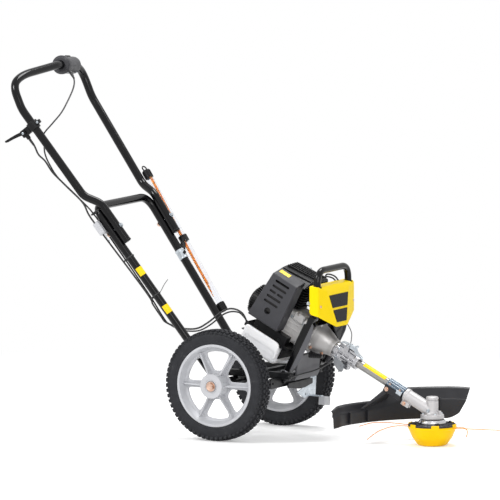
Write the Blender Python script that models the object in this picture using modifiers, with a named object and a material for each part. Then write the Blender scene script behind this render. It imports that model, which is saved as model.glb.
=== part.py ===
"""Two wheeled petrol string trimmer, built as separate pieces at their real size.

Metres, +Z up. +X points forward to the trimmer head, +Y to the machine's left.
While the pieces are made, the ground point under the wheel axle is the origin; the last
step moves the whole machine so that its bounding box stands centred on the origin.
"""

import math

import bmesh
import bpy
from mathutils import Matrix, Vector

PARTS = "wheeled_string_trimmer"
TOOLS = "cutting_tools"

# Clearances between pieces that touch or slide
GAP = 0.0003
SLIDE = 0.0006
BEAD_GAP = 0.00045

# Wheels
WHEEL_RADIUS = 0.170
TRACK_HALF = 0.210
TYRE_HALF_WIDTH = 0.030
TREAD_DEPTH = 0.0035
TREAD_LUGS = 20
RIM_RADIUS = 0.126
RIM_LIP = 0.0053
BEAD_RADIUS = 0.1182
SPOKES = 6
SPOKE_HALF = 0.011
HUB_RADIUS = 0.0375
WEB_FACE = 0.0155
WEB_THICKNESS = 0.007
HUB_OUTER = 0.047
HUB_INNER = 0.042
AXLE_RADIUS = 0.006
AXLE_TUBE_RADIUS = 0.016
AXLE_BOLT_HEAD = 0.0125
AXLE_BOLT_SHANK = 0.020

# Handle and lower frame, both in one sloping plane
TUBE_RADIUS = 0.0125
TUBE_WALL = 0.0015
HANDLE_PITCH = math.radians(52.75)
HANDLE_FOOT_X = -0.0575
LEG_FOOT_HALF = 0.113
LEG_SPLAY = 0.142
LOWER_TOP_X = -0.449
LOWER_BEND = 0.050
LAP_FROM_X = -0.447
LAP_TO_X = -0.362
HANDLE_BOLT_X = -0.392
BOLT_RADIUS = 0.0032
UPPER_JOG_X = -0.475
UPPER_JOG_HALF = 0.189
UPPER_BEND_X = -0.672
UPPER_HALF = 0.2215
GRIP_X = -0.703
GRIP_CORNER_Z = 1.050
GRIP_SHOULDER_HALF = 0.172
GRIP_SHOULDER_Z = 1.077
GRIP_MIDDLE_X = -0.667
GRIP_MIDDLE_Z = 1.095
GRIP_BEND = 0.045
GRIP_TIGHT_BEND = 0.018
LAP_BEND = 0.016

# Control housing on the left half of the grip bar
HOUSING_RADIUS = 0.0265
HOUSING_COLLAR = 0.029
HOUSING_START = 0.020
HOUSING_END = 0.152
HOUSING_BORE = TUBE_RADIUS + SLIDE
SWITCH_LENGTH = 0.022
SWITCH_WIDTH = 0.013
SWITCH_TRAVEL = 0.006

# Throttle control on the right handle tube
CLAMP_X = -0.6345
CLAMP_RADIUS = 0.018
CLAMP_LENGTH = 0.026
LEVER_PIVOT_BACK = 0.0375
LEVER_LENGTH = 0.068
LEVER_THICKNESS = 0.004
LEVER_NOSE = 0.024

# Cables
THROTTLE_CABLE_RADIUS = 0.0028
STOP_CABLE_RADIUS = 0.0024
ANCHOR_X = -0.3900
ANCHOR_TOP = -0.1030
CABLE_CLIP_X = -0.424
CABLE_CLIP_LENGTH = 0.044

# Tube of spare line on the left leg
SPARE_TOP = (-0.475, 0.211, 0.754)
SPARE_BOTTOM = (-0.1785, 0.157, 0.352)
SPARE_TUBE_RADIUS = 0.0110
SPARE_TUBE_WALL = 0.0015
SPARE_CAP_RADIUS = 0.0135
SPARE_CAP_LENGTH = 0.026
SPARE_CLIP_AT = 0.487
LINE_RADIUS = 0.00125

# Powertrain axis, which slopes down to the trimmer head
SHAFT_PITCH = math.radians(27.5)
COUPLING_X = 0.3776
COUPLING_Z = 0.2298
HEAD_X = 0.621

# Engine bed and the parts between the wheels
BED_HALF = 0.100
RAIL_SIZE = 0.020
RAIL_FRONT_X = 0.192
RAIL_REAR_X = -0.020
CROSS_BAR_X = 0.140
CROSS_BAR_HALF = 0.140
SHEET = 0.002

# Hoop over the engine, with its struts
HOOP_X = 0.2815
HOOP_RADIUS = 0.0105
HOOP_TOP_Z = 0.520
HOOP_BEND = 0.042
STRUT_WIDTH = 0.030
STRUT_DEPTH = 0.020

# Scraper near the left tyre, below the axle
SCRAPER_DROP = 0.064
SCRAPER_PLATE = 0.075
SCRAPER_BLOCK = 0.0262

# Rings of the yellow shield from its face to its rear edge:
# X at the top and at the bottom, half width at the top and at the bottom, height of both edges
SHIELD_RINGS = (
    (0.3110, 0.3130, 0.090, 0.043, HOOP_TOP_Z - 0.060, 0.3460),
    (0.2940, 0.2940, 0.118, 0.118, HOOP_TOP_Z - 0.048, 0.3830),
    (0.2660, 0.2660, 0.122, 0.122, HOOP_TOP_Z - 0.044, 0.3900),
)

# Engine block, in the powertrain's own axes
PLATE_BACK = -0.1800
PLATE_THICKNESS = 0.0055
BELL_LARGE = 0.052
BELL_SMALL = 0.0275
BELL_LENGTH = 0.079
CASE_LENGTH = 0.160
CYLINDER_X = -0.285
CASE_HALF = 0.050
FIN_COUNT = 6
FIN_HALF = 0.040
FIN_PITCH = 0.0158
COVER_FRONT = -0.250
COVER_LENGTH = 0.098
COVER_TOP = 0.1375
COVER_BOTTOM = -0.018
COVER_SIDE = -0.115
COVER_DEPTH = 0.048
COVER_WALL = 0.002
SLOT_LENGTH = 0.052
SLOT_WIDTH = 0.0075
SLOT_PITCH = 0.0150
FAN_RADIUS = 0.0495
RECOIL_RADIUS = 0.046
RECOIL_LENGTH = 0.068
TANK_TOP = -0.0625
TANK_BOTTOM = -0.1215
TANK_FRONT = -0.216
TANK_REAR = -0.358
TANK_RIGHT = -0.105
TANK_LEFT = 0.060
FUEL_NECK = (-0.300, -0.092)
INTAKE_FACE = 0.0535
CARBURETTOR_DEPTH = 0.026
PRIMER_TRAVEL = 0.004
PRIMER_RADIUS = 0.0095

# Drive tube, guard and head
DRIVE_TUBE_RADIUS = 0.013
DRIVE_TUBE_WALL = 0.0018
DRIVE_SHAFT_RADIUS = 0.004
DRIVE_TUBE_START = -0.052
SLEEVE_START = 0.173
SLEEVE_DEPTH = 0.042
GUARD_RADIUS = 0.3805
GUARD_CENTRE = (0.7739, -0.1576)
GUARD_WALL = 0.003
GUARD_LOW_Z = 0.060
GEARBOX_RADIUS = 0.018
GEARBOX_TOP_Z = 0.148
HEAD_RADIUS = 0.0735
HEAD_FLOOR_RADIUS = 0.043
HEAD_TOP_Z = 0.059
HEAD_WALL = 0.003
COLLAR_RADIUS = 0.0425

FINISHES = {
    "gloss_black": ((0.012, 0.012, 0.014), 0.25, 0.0),
    "satin_black": ((0.018, 0.018, 0.020), 0.50, 0.0),
    "rubber": ((0.020, 0.021, 0.024), 0.80, 0.0),
    "grey_plastic": ((0.42, 0.42, 0.44), 0.45, 0.0),
    "dark_plastic": ((0.055, 0.055, 0.062), 0.50, 0.0),
    "clear_plastic": ((0.80, 0.82, 0.85), 0.20, 0.0),
    "white_plastic": ((0.78, 0.78, 0.76), 0.35, 0.0),
    "yellow": ((0.90, 0.62, 0.01), 0.35, 0.0),
    "orange": ((0.90, 0.28, 0.03), 0.40, 0.0),
    "aluminium": ((0.55, 0.55, 0.56), 0.40, 0.9),
    "steel": ((0.60, 0.61, 0.63), 0.30, 1.0),
    "zinc": ((0.52, 0.56, 0.60), 0.35, 0.9),
    "copper": ((0.72, 0.42, 0.28), 0.35, 0.9),
}


# Scene and object helpers


def clear_scene():
    """Remove what is in the open scene and make the two collections."""
    for obj in list(bpy.data.objects):
        bpy.data.objects.remove(obj, do_unlink=True)
    for name in (PARTS, TOOLS):
        home = bpy.data.collections.get(name) or bpy.data.collections.new(name)
        if home.name not in bpy.context.scene.collection.children:
            bpy.context.scene.collection.children.link(home)


def empty(name, location, rotation=(0.0, 0.0, 0.0), parent=None):
    """Add an empty that carries other objects."""
    obj = bpy.data.objects.new(name, None)
    bpy.data.collections[PARTS].objects.link(obj)
    obj.location = location
    obj.rotation_euler = rotation
    obj.parent = parent
    return obj


def add_object(name, data, frame, location=(0.0, 0.0, 0.0), turn=None):
    """Link mesh or curve data as a named object under its frame."""
    obj = bpy.data.objects.new(name, data)
    bpy.data.collections[PARTS].objects.link(obj)
    obj.location = location
    if turn is not None:
        obj.rotation_euler = turn
    obj.parent = frame
    return obj


def finish(obj, look, smooth=True):
    """Give a piece its own material and shading."""
    colour, roughness, metallic = FINISHES[look]
    material = bpy.data.materials.new(obj.name + "_" + look)
    material.use_nodes = True
    shader = material.node_tree.nodes["Principled BSDF"]
    shader.inputs["Base Color"].default_value = (*colour, 1.0)
    shader.inputs["Roughness"].default_value = roughness
    shader.inputs["Metallic"].default_value = metallic
    material.diffuse_color = (*colour, 1.0)
    obj.data.materials.append(material)
    if smooth and obj.type == "MESH":
        obj.data.shade_smooth()
        obj.data.set_sharp_from_angle(angle=math.radians(35))
    return obj


def facing(direction):
    """Rotation that turns local Z onto a direction."""
    return Vector(direction).to_track_quat("Z", "Y").to_euler()


def mesh_from(bm, name):
    """Close a bmesh into mesh data with outward normals."""
    bmesh.ops.recalc_face_normals(bm, faces=bm.faces)
    mesh = bpy.data.meshes.new(name)
    bm.to_mesh(mesh)
    bm.free()
    return mesh


def block(name, frame, low, high, bevel=0.0, turn=None, segments=2):
    """Box between two corners of its frame, with optional rounded edges."""
    size = [b - a for a, b in zip(low, high)]
    middle = [(a + b) / 2 for a, b in zip(low, high)]
    bm = bmesh.new()
    bmesh.ops.create_cube(bm, size=1.0)
    bmesh.ops.scale(bm, vec=size, verts=bm.verts)
    obj = add_object(name, mesh_from(bm, name), frame, middle, turn)
    if bevel:
        round_edges(obj, bevel, segments)
    return obj


def round_edges(obj, width, segments=2, angle=40):
    """Round the edges of a piece with a Bevel modifier."""
    modifier = obj.modifiers.new("rounded_edges", "BEVEL")
    modifier.width = width
    modifier.segments = segments
    modifier.limit_method = "ANGLE"
    modifier.angle_limit = math.radians(angle)
    modifier.use_clamp_overlap = True
    return modifier


def rod(name, frame, start, end, radius, end_radius=None, sides=16):
    """Cylinder or cone between two points."""
    start, end = Vector(start), Vector(end)
    top = radius if end_radius is None else end_radius
    bm = bmesh.new()
    bmesh.ops.create_cone(bm, cap_ends=True, segments=sides, radius1=radius, radius2=top,
                          depth=(end - start).length)
    mesh = mesh_from(bm, name)
    return add_object(name, mesh, frame, (start + end) / 2, facing(end - start))


def turned(name, frame, profile, centre=(0, 0, 0), direction=(0, 0, 1), steps=24, closed=False):
    """Revolve a profile of (radius, height) points with a Screw modifier."""
    bm = bmesh.new()
    verts = [bm.verts.new((radius, 0.0, height)) for radius, height in profile]
    for first, second in zip(verts, verts[1:]):
        bm.edges.new((first, second))
    if closed:
        bm.edges.new((verts[-1], verts[0]))
    mesh = bpy.data.meshes.new(name)
    bm.to_mesh(mesh)
    bm.free()
    obj = add_object(name, mesh, frame, centre, facing(direction))
    screw = obj.modifiers.new("turned", "SCREW")
    screw.axis = "Z"
    screw.steps = steps
    screw.render_steps = steps
    screw.use_merge_vertices = True
    screw.merge_threshold = 0.00002
    screw.use_smooth_shade = True
    return obj


def softened(points, radius, steps=3):
    """Round the inner corners of a polyline, by one radius or by one for each corner."""
    points = [Vector(p) for p in points]
    radii = radius if isinstance(radius, (list, tuple)) else [radius] * (len(points) - 2)
    path = [points[0]]
    for bend, before, corner, after in zip(radii, points, points[1:], points[2:]):
        back = min(bend, 0.48 * (before - corner).length)
        ahead = min(bend, 0.48 * (after - corner).length)
        enter = corner + (before - corner).normalized() * back
        leave = corner + (after - corner).normalized() * ahead
        for step in range(steps + 1):
            t = step / steps
            path.append(enter * (1 - t) ** 2 + corner * 2 * t * (1 - t) + leave * t ** 2)
    path.append(points[-1])
    return path


def pipe(name, frame, points, radius, resolution=3, cyclic=False):
    """Round tube, wire or cable along a path, as a bevelled curve with closed ends."""
    curve = bpy.data.curves.new(name, "CURVE")
    curve.dimensions = "3D"
    curve.bevel_depth = radius
    curve.bevel_resolution = resolution
    curve.use_fill_caps = not cyclic
    spline = curve.splines.new("POLY")
    spline.points.add(len(points) - 1)
    for spot, point in zip(spline.points, points):
        spot.co = (*point, 1.0)
    spline.use_cyclic_u = cyclic
    spline.use_smooth = True
    return add_object(name, curve, frame)


def tube_bore(name, frame, points, radius):
    """Cutting pipe that runs through both ends of a bent tube."""
    start = points[0] + (points[0] - points[1]).normalized() * 0.002
    end = points[-1] + (points[-1] - points[-2]).normalized() * 0.002
    return as_mesh(pipe(name, frame, [start] + points[1:-1] + [end], radius, 1))


def sheet(name, frame, outlines, thickness, centre=(0, 0, 0), turn=None):
    """Flat piece cut from sheet: the first outline is the rim, the others are its holes."""
    curve = bpy.data.curves.new(name, "CURVE")
    curve.dimensions = "2D"
    curve.fill_mode = "BOTH"
    curve.extrude = thickness / 2
    for outline in outlines:
        spline = curve.splines.new("POLY")
        spline.points.add(len(outline) - 1)
        for spot, (x, y) in zip(spline.points, outline):
            spot.co = (x, y, 0.0, 1.0)
        spline.use_cyclic_u = True
    return as_mesh(add_object(name, curve, frame, centre, turn))


def as_mesh(obj):
    """Turn a curve object into a clean mesh object of the same name and place."""
    depsgraph = bpy.context.evaluated_depsgraph_get()
    mesh = bpy.data.meshes.new_from_object(obj.evaluated_get(depsgraph))
    bm = bmesh.new()
    bm.from_mesh(mesh)
    bmesh.ops.remove_doubles(bm, verts=bm.verts, dist=0.00001)
    bmesh.ops.recalc_face_normals(bm, faces=bm.faces)
    bm.to_mesh(mesh)
    bm.free()
    name, frame, place, turn = obj.name, obj.parent, obj.location.copy(), obj.rotation_euler.copy()
    bpy.data.objects.remove(obj, do_unlink=True)
    mesh.name = name
    return add_object(name, mesh, frame, place, turn)


def loft(name, frame, sections, open_ends=False):
    """Skin through a row of outlines that have the same number of points."""
    bm = bmesh.new()
    rings = [[bm.verts.new(point) for point in section] for section in sections]
    count = len(rings[0])
    for first, second in zip(rings, rings[1:]):
        for i in range(count):
            j = (i + 1) % count
            bm.faces.new((first[i], first[j], second[j], second[i]))
    if not open_ends:
        bm.faces.new(rings[0])
        bm.faces.new(rings[-1])
    return add_object(name, mesh_from(bm, name), frame)


def boolean(target, tool, operation):
    """Add a Boolean modifier and put its tool out of sight."""
    modifier = target.modifiers.new(tool.name, "BOOLEAN")
    modifier.operation = operation
    modifier.solver = "EXACT"
    modifier.object = tool
    bpy.data.collections[PARTS].objects.unlink(tool)
    bpy.data.collections[TOOLS].objects.link(tool)
    tool.hide_render = True
    tool.display_type = "WIRE"


def fuse(target, *tools):
    """Join tools to a piece."""
    for tool in tools:
        boolean(target, tool, "UNION")
    return target


def cut(target, *tools):
    """Cut tools out of a piece."""
    for tool in tools:
        boolean(target, tool, "DIFFERENCE")
    return target


# Places on the handle legs


def leg_z(x):
    """Height of the handle plane at a distance along X."""
    return WHEEL_RADIUS + math.tan(HANDLE_PITCH) * (HANDLE_FOOT_X - x)


def leg_point(x, side, off=0.0):
    """Point on a lower leg's centre line, moved off the handle plane if asked."""
    half = LEG_FOOT_HALF + LEG_SPLAY * (HANDLE_FOOT_X - x)
    return Vector((x, side * half, leg_z(x))) + plane_normal() * off


def upper_point(x, side, off=0.0):
    """Point on the upper handle's straight stretch."""
    share = (UPPER_JOG_X - x) / (UPPER_JOG_X - UPPER_BEND_X)
    half = UPPER_JOG_HALF + (UPPER_HALF - UPPER_JOG_HALF) * share
    return Vector((x, side * half, leg_z(x))) + plane_normal() * off


def plane_normal():
    """Unit vector up and forward out of the handle plane."""
    return Vector((math.sin(HANDLE_PITCH), 0.0, math.cos(HANDLE_PITCH)))


def leg_direction(side):
    """Unit vector down a lower leg."""
    return (leg_point(HANDLE_FOOT_X, side) - leg_point(LOWER_TOP_X, side)).normalized()


# Lower frame and handle


def handle_bolt_line(side):
    """The two ends of the bolt that holds the handle to a leg."""
    back = leg_point(HANDLE_BOLT_X, side, -TUBE_RADIUS)
    front = leg_point(HANDLE_BOLT_X, side, lap_offset() + TUBE_RADIUS)
    return back, front


def lap_offset():
    """How far the handle's ends lie in front of the legs."""
    return 2 * TUBE_RADIUS + GAP


def bolt_holes(frame, name):
    """Cutting rods for the two handle bolts."""
    holes = []
    for side in (-1, 1):
        back, front = handle_bolt_line(side)
        reach = (front - back).normalized() * 0.01
        hole = rod(name + ("_left" if side > 0 else "_right"), frame, back - reach, front + reach,
                   BOLT_RADIUS + GAP, sides=12)
        holes.append(hole)
    return holes


def lower_frame(frame):
    """Inverted U of tube, welded to the cross tube that holds the axle."""
    foot_x = HANDLE_FOOT_X + 0.006
    points = []
    for side in (-1, 1):
        ends = [leg_point(foot_x, side), leg_point(LOWER_TOP_X, side)]
        points += ends if side < 0 else reversed(ends)
    path = softened(points, LOWER_BEND)
    tube = as_mesh(pipe("lower_frame", frame, path, TUBE_RADIUS))
    cut(tube, tube_bore("frame_tube_bore", frame, path, TUBE_RADIUS - TUBE_WALL))
    half = TRACK_HALF - HUB_INNER - 0.001
    axle_tube = rod("axle_tube", frame, (0, -half, WHEEL_RADIUS), (0, half, WHEEL_RADIUS),
                    AXLE_TUBE_RADIUS, sides=20)
    fuse(tube, axle_tube)
    for side in (-1, 1):
        foot = leg_point(foot_x, side)
        low = (foot.x - 0.012, foot.y - 0.004, WHEEL_RADIUS - 0.013)
        high = (0.004, foot.y + 0.004, WHEEL_RADIUS + 0.013)
        lug = block("foot_lug_left" if side > 0 else "foot_lug_right", frame, low, high)
        fuse(tube, lug)
    bore = rod("axle_bore", frame, (0, -0.3, WHEEL_RADIUS), (0, 0.3, WHEEL_RADIUS),
               AXLE_RADIUS + GAP, sides=16)
    cut(tube, bore, *bolt_holes(frame, "frame_hole"))
    return finish(tube, "gloss_black")


def upper_handle(frame):
    """Bent tube: lapped ends, splayed legs and a bowed grip bar."""
    right = [
        leg_point(LAP_TO_X, -1, lap_offset()),
        leg_point(LAP_FROM_X, -1, lap_offset()),
        upper_point(UPPER_JOG_X, -1),
        upper_point(UPPER_BEND_X, -1),
        Vector((GRIP_X, -UPPER_HALF, GRIP_CORNER_Z)),
        grip_shoulder(-1),
    ]
    left = [Vector((p.x, -p.y, p.z)) for p in reversed(right)]
    legs = [LAP_BEND, LAP_BEND, GRIP_TIGHT_BEND]
    bends = legs + [GRIP_BEND, GRIP_BEND, GRIP_TIGHT_BEND, GRIP_TIGHT_BEND, GRIP_BEND] + legs[::-1]
    path = softened(right + [grip_middle()] + left, bends, 2)
    handle = as_mesh(pipe("upper_handle", frame, path, TUBE_RADIUS, 3))
    cut(handle, tube_bore("handle_tube_bore", frame, path, TUBE_RADIUS - TUBE_WALL))
    cut(handle, *bolt_holes(frame, "handle_hole"))
    return finish(handle, "gloss_black")


def grip_middle():
    """Middle of the grip bar."""
    return Vector((GRIP_MIDDLE_X, 0.0, GRIP_MIDDLE_Z))


def grip_shoulder(side):
    """End of the grip bar before its corner."""
    return Vector((GRIP_X + 0.005, side * GRIP_SHOULDER_HALF, GRIP_SHOULDER_Z))


def handle_bolts(frame):
    """Bolt with a cap nut through each handle lap."""
    for side, name in ((-1, "right_handle_bolt"), (1, "left_handle_bolt")):
        back, front = handle_bolt_line(side)
        out = (front - back).normalized()
        shank = rod(name, frame, back - out * 0.004, front + out * 0.004, BOLT_RADIUS, sides=12)
        head = rod(name + "_head", frame, front + out * GAP, front + out * 0.0055, 0.0065, sides=6)
        nut = rod(name + "_nut", frame, back - out * 0.0060, back - out * GAP, 0.0050, 0.0065, sides=6)
        finish(fuse(shank, head, nut), "zinc")


# Control housing and stop switch


def housing_axis():
    """Start of the grip bar's left half and its unit direction."""
    start = grip_middle()
    return start, (grip_shoulder(1) - start).normalized()


def housing_frame(frame):
    """Empty at the middle of the grip bar, its Z along the bar's left half."""
    start, direction = housing_axis()
    return empty("housing_axis", start, facing(direction), frame)


def control_housing(frame):
    """Two half shells clamped round the grip bar, with the stop switch on top."""
    axis = housing_frame(frame)
    long = HOUSING_END - HOUSING_START
    profile = [
        (HOUSING_BORE, long),
        (HOUSING_RADIUS - 0.008, long),
        (HOUSING_RADIUS - 0.002, long - 0.004),
        (HOUSING_RADIUS, long - 0.012),
        (HOUSING_RADIUS, 0.026),
        (HOUSING_COLLAR, 0.020),
        (HOUSING_COLLAR, 0.006),
        (HOUSING_RADIUS - 0.004, 0.0),
        (HOUSING_BORE, 0.0),
    ]
    far = HOUSING_END + 0.02
    wide = 2 * HOUSING_COLLAR
    seam = GAP / 2
    bottom = turned("control_housing_bottom", axis, profile, (0, 0, HOUSING_START), steps=24, closed=True)
    cut(bottom, block("upper_half", axis, (-wide, -seam, 0), (wide, wide, far)))
    finish(bottom, "dark_plastic", smooth=False)
    top = turned("control_housing_top", axis, profile, (0, 0, HOUSING_START), steps=24, closed=True)
    cut(top, block("lower_half", axis, (-wide, -wide, 0), (wide, seam, far)))
    cut(top, switch_block("switch_pocket", axis, SLIDE, SWITCH_TRAVEL + SLIDE))
    finish(top, "dark_plastic", smooth=False)
    finish(switch_block("stop_switch", axis, 0.0, 0.0), "satin_black", smooth=False)


def switch_block(name, axis, room, travel):
    """Slider of the stop switch, or its pocket when given room; it slides outward."""
    start = (HOUSING_START + HOUSING_END - SWITCH_LENGTH) / 2
    half = SWITCH_WIDTH / 2 + room
    low = (-half, HOUSING_RADIUS - 0.005 - room, start - room)
    high = (half, HOUSING_RADIUS + 0.003 + room, start + SWITCH_LENGTH + travel)
    return block(name, axis, low, high)


# Cables


def stop_cable_path():
    """Route of the stop wire from the control housing, down the right leg, to the engine."""
    return [
        (-0.637, 0.035, 1.067), (-0.622, 0.020, 1.045), (-0.610, -0.010, 1.024), (-0.595, -0.070, 0.994),
        (-0.588, -0.125, 0.962), (-0.595, -0.170, 0.932), (-0.613, -0.192, 0.900), (-0.608, -0.1965, 0.872),
        (-0.602, -0.203, 0.845), (-0.585, -0.205, 0.812), (-0.552, -0.200, 0.766), (-0.475, -0.176, 0.690),
        (-0.455, -0.160, 0.660), (-0.425, -0.153, 0.619), (-0.286, -0.130, 0.428), (-0.242, -0.114, 0.354),
        (-0.229, -0.098, 0.331), (-0.196, -0.078, 0.312), (-0.156, -0.048, 0.309), (-0.129, -0.019, 0.326),
        (-0.100, 0.001, 0.354), (-0.078, 0.011, 0.365), (-0.054, 0.012, 0.366), (-0.037, 0.012, 0.359),
        anchor_place(0.012, 0.012),
        anchor_place(0.012, STOP_CABLE_RADIUS + GAP),
    ]


def stop_cable(frame):
    """Stop wire with its tapered boot under the control housing."""
    cable = as_mesh(pipe("stop_cable", frame, stop_cable_path(), STOP_CABLE_RADIUS, 1))
    fuse(cable, rod("boot", frame, (-0.6455, 0.035, 1.0719), (-0.630, 0.0275, 1.0567), 0.0052, 0.0028, 12))
    return finish(cable, "rubber")


def throttle_cable_path():
    """Route of the throttle cable from the lever, along the right leg, to its stop."""
    return [
        lever_stop_place(3 * GAP), lever_stop_place(0.026), (-0.618, -0.214, 0.841), (-0.594, -0.2155, 0.822),
        (-0.569, -0.213, 0.788), (-0.531, -0.207, 0.753), (-0.475, -0.198, 0.701), (-0.457, -0.190, 0.663),
        (-0.425, -0.184, 0.620), (-0.286, -0.140, 0.430), (-0.265, -0.135, 0.393), (-0.242, -0.125, 0.356),
        (-0.233, -0.110, 0.337), (-0.196, -0.090, 0.320), (-0.156, -0.060, 0.317), (-0.131, -0.030, 0.334),
        (-0.100, -0.010, 0.363), (-0.078, 0.000, 0.375), (-0.054, 0.000, 0.376), (-0.033, 0.000, 0.368),
        (-0.021, 0.000, 0.355),
        anchor_place(0.0, 0.012),
        anchor_place(0.0, THROTTLE_CABLE_RADIUS + GAP),
    ]


def throttle_cable(frame):
    """Bowden cable with the ferrule that seats in the throttle bracket's nose."""
    path = throttle_cable_path()
    cable = as_mesh(pipe("throttle_cable", frame, path, THROTTLE_CABLE_RADIUS, 1))
    start = Vector(path[0])
    along = (Vector(path[1]) - start).normalized()
    fuse(cable, rod("ferrule", frame, start, start + along * 0.022, 0.0045, 0.0036, 12))
    return finish(cable, "rubber")


def lever_stop_place(distance):
    """Place at a distance below the throttle bracket's nose, where the outer cable starts."""
    along = (upper_point(UPPER_JOG_X, -1) - upper_point(CLAMP_X, -1)).normalized()
    return upper_point(CLAMP_X, -1) - plane_normal() * LEVER_PIVOT_BACK + along * (LEVER_NOSE + distance)


def anchor_place(y, height):
    """Place above the cable stop behind the fuel tank, in the machine's axes."""
    return engine_point(ANCHOR_X, y, ANCHOR_TOP + height)


def engine_point(x, y, z):
    """A place in the powertrain's axes, given in the machine's axes."""
    turn = Matrix.Rotation(SHAFT_PITCH, 4, "Y")
    return Vector((COUPLING_X, 0.0, COUPLING_Z)) + turn.to_3x3() @ Vector((x, y, z))


def cable_clip(frame):
    """Grey clip under the right leg that both cables run through."""
    top = leg_point(CABLE_CLIP_X, -1)
    along = leg_direction(-1)
    normal = plane_normal()
    side = normal.cross(along).normalized()
    turn = Matrix((side, along.cross(side), along)).transposed().to_euler()
    axis = empty("cable_clip_axis", top, turn, frame)
    low = (-0.026, -TUBE_RADIUS - 0.0165, 0.0)
    high = (0.024, -TUBE_RADIUS + 0.004, CABLE_CLIP_LENGTH)
    clip = block("cable_clip", axis, low, high, 0.003, segments=1)
    leg_bore = rod("cable_clip_leg_bore", axis, (0, 0, -0.05), (0, 0, 0.15), TUBE_RADIUS + 4 * GAP)
    wire = as_mesh(pipe("stop_cable_bore", frame, stop_cable_path(), STOP_CABLE_RADIUS + GAP, 1))
    room = THROTTLE_CABLE_RADIUS + GAP
    bowden = as_mesh(pipe("throttle_cable_bore", frame, throttle_cable_path(), room, 1))
    cut(clip, leg_bore, wire, bowden)
    return finish(clip, "grey_plastic", smooth=False)


# Throttle control


def throttle_frame(frame):
    """Empty on the right handle tube: Z down the tube, Y out of the handle plane."""
    place = upper_point(CLAMP_X, -1)
    along = (upper_point(UPPER_JOG_X, -1) - place).normalized()
    normal = plane_normal()
    side = normal.cross(along).normalized()
    turn = Matrix((side, along.cross(side), along)).transposed().to_euler()
    return empty("throttle_axis", place, turn, frame)


def throttle_control(frame):
    """Clamp bracket on the right tube and the lever that pivots on it."""
    axis = throttle_frame(frame)
    half = CLAMP_LENGTH / 2
    back = LEVER_PIVOT_BACK
    bracket = rod("throttle_bracket", axis, (0, 0, -half), (0, 0, half), CLAMP_RADIUS)
    arm = block("bracket_arm", axis, (-0.008, -back - 0.012, -0.011), (0.008, -CLAMP_RADIUS + 0.006, 0.013))
    ear_low = (-0.006, CLAMP_RADIUS - 0.004, -0.006)
    ear = block("bracket_ear", axis, ear_low, (0.006, CLAMP_RADIUS + 0.010, 0.006))
    nose = rod("bracket_nose", axis, (0, -back, 0.010), (0, -back, LEVER_NOSE), 0.0075, 0.0055, 12)
    pin = rod("bracket_pin", axis, (0, -back, 0), (-0.0155, -back, 0), 0.0035, sides=12)
    fuse(bracket, arm, ear, nose, pin)
    cut(bracket, rod("clamp_bore", axis, (0, 0, -0.05), (0, 0, 0.05), TUBE_RADIUS + GAP, sides=20))
    finish(bracket, "satin_black")
    pivot = empty("throttle_pivot", (-0.0085, -back, 0), (0, 0, 0), axis)
    thick = LEVER_THICKNESS
    lever = rod("throttle_lever", pivot, (0, 0, 0), (-thick, 0, 0), 0.0085, sides=20)
    long = LEVER_LENGTH
    sections = []
    stations = ((0.0, 0.0075, 0.0), (0.45, 0.0055, 0.002), (0.9, 0.0045, 0.008), (1.0, 0.0025, 0.009))
    for share, width, drop in stations:
        y = -share * long * 0.80
        z = -share * long * 0.60 + drop
        sections.append([
            (0, y, z - width), (0, y, z + width), (-thick, y, z + width), (-thick, y, z - width)])
    fuse(lever, loft("lever_arm", pivot, sections))
    cut(lever, rod("pivot_bore", pivot, (0.01, 0, 0), (-0.02, 0, 0), 0.0035 + GAP, sides=16))
    return finish(lever, "satin_black")


# Spare line holder on the left leg


def spare_point(share):
    """Point along the spare line tube, from its top."""
    return Vector(SPARE_TOP).lerp(Vector(SPARE_BOTTOM), share)


def spare_line_holder(frame):
    """Clear tube with two caps, its clip and the folded line inside."""
    top, bottom = Vector(SPARE_TOP), Vector(SPARE_BOTTOM)
    down = (bottom - top).normalized()
    long = (bottom - top).length
    inner = SPARE_TUBE_RADIUS - SPARE_TUBE_WALL
    axis = empty("spare_tube_axis", top, facing(down), frame)
    wall = [(inner, 0.0), (inner, long), (SPARE_TUBE_RADIUS, long), (SPARE_TUBE_RADIUS, 0.0)]
    finish(turned("spare_line_tube", axis, wall, steps=20, closed=True), "clear_plastic", smooth=False)
    cap_in = SPARE_TUBE_RADIUS + GAP
    length = SPARE_CAP_LENGTH
    top_axis = empty("top_cap_axis", (0, 0, 0), (0, 0, 0), axis)
    cap = turned("tube_top_cap", top_axis, cap_profile(-0.004, length - 0.004, cap_in), steps=16)
    loop = ring_points((0, 0, -0.0125), 0.0085, 12)
    fuse(cap, as_mesh(pipe("cap_loop", top_axis, loop, 0.0022, 1, cyclic=True)))
    finish(cap, "satin_black", smooth=False)
    low_axis = empty("bottom_cap_axis", (0, 0, long), (math.pi, 0, 0), axis)
    low = turned("tube_bottom_cap", low_axis, cap_profile(-0.004, length - 0.004, cap_in), steps=16)
    finish(low, "satin_black", smooth=False)
    finish(spare_line(axis, long), "orange")
    spare_clip(frame, axis, long)


def cap_profile(closed_end, open_end, bore):
    """Half section of a cup that slips over the tube's end."""
    return [
        (0.0, closed_end + 0.0030),
        (bore, closed_end + 0.0030),
        (bore, open_end),
        (SPARE_CAP_RADIUS, open_end),
        (SPARE_CAP_RADIUS, closed_end),
        (SPARE_CAP_RADIUS - 0.002, closed_end - 0.002),
        (0.0, closed_end - 0.002),
    ]


def ring_points(centre, radius, count):
    """Points round an upright ring in the XZ plane of its frame."""
    points = []
    for i in range(count):
        angle = 2 * math.pi * i / count
        points.append(Vector(centre) + Vector((radius * math.cos(angle), 0, radius * math.sin(angle))))
    return points


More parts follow.
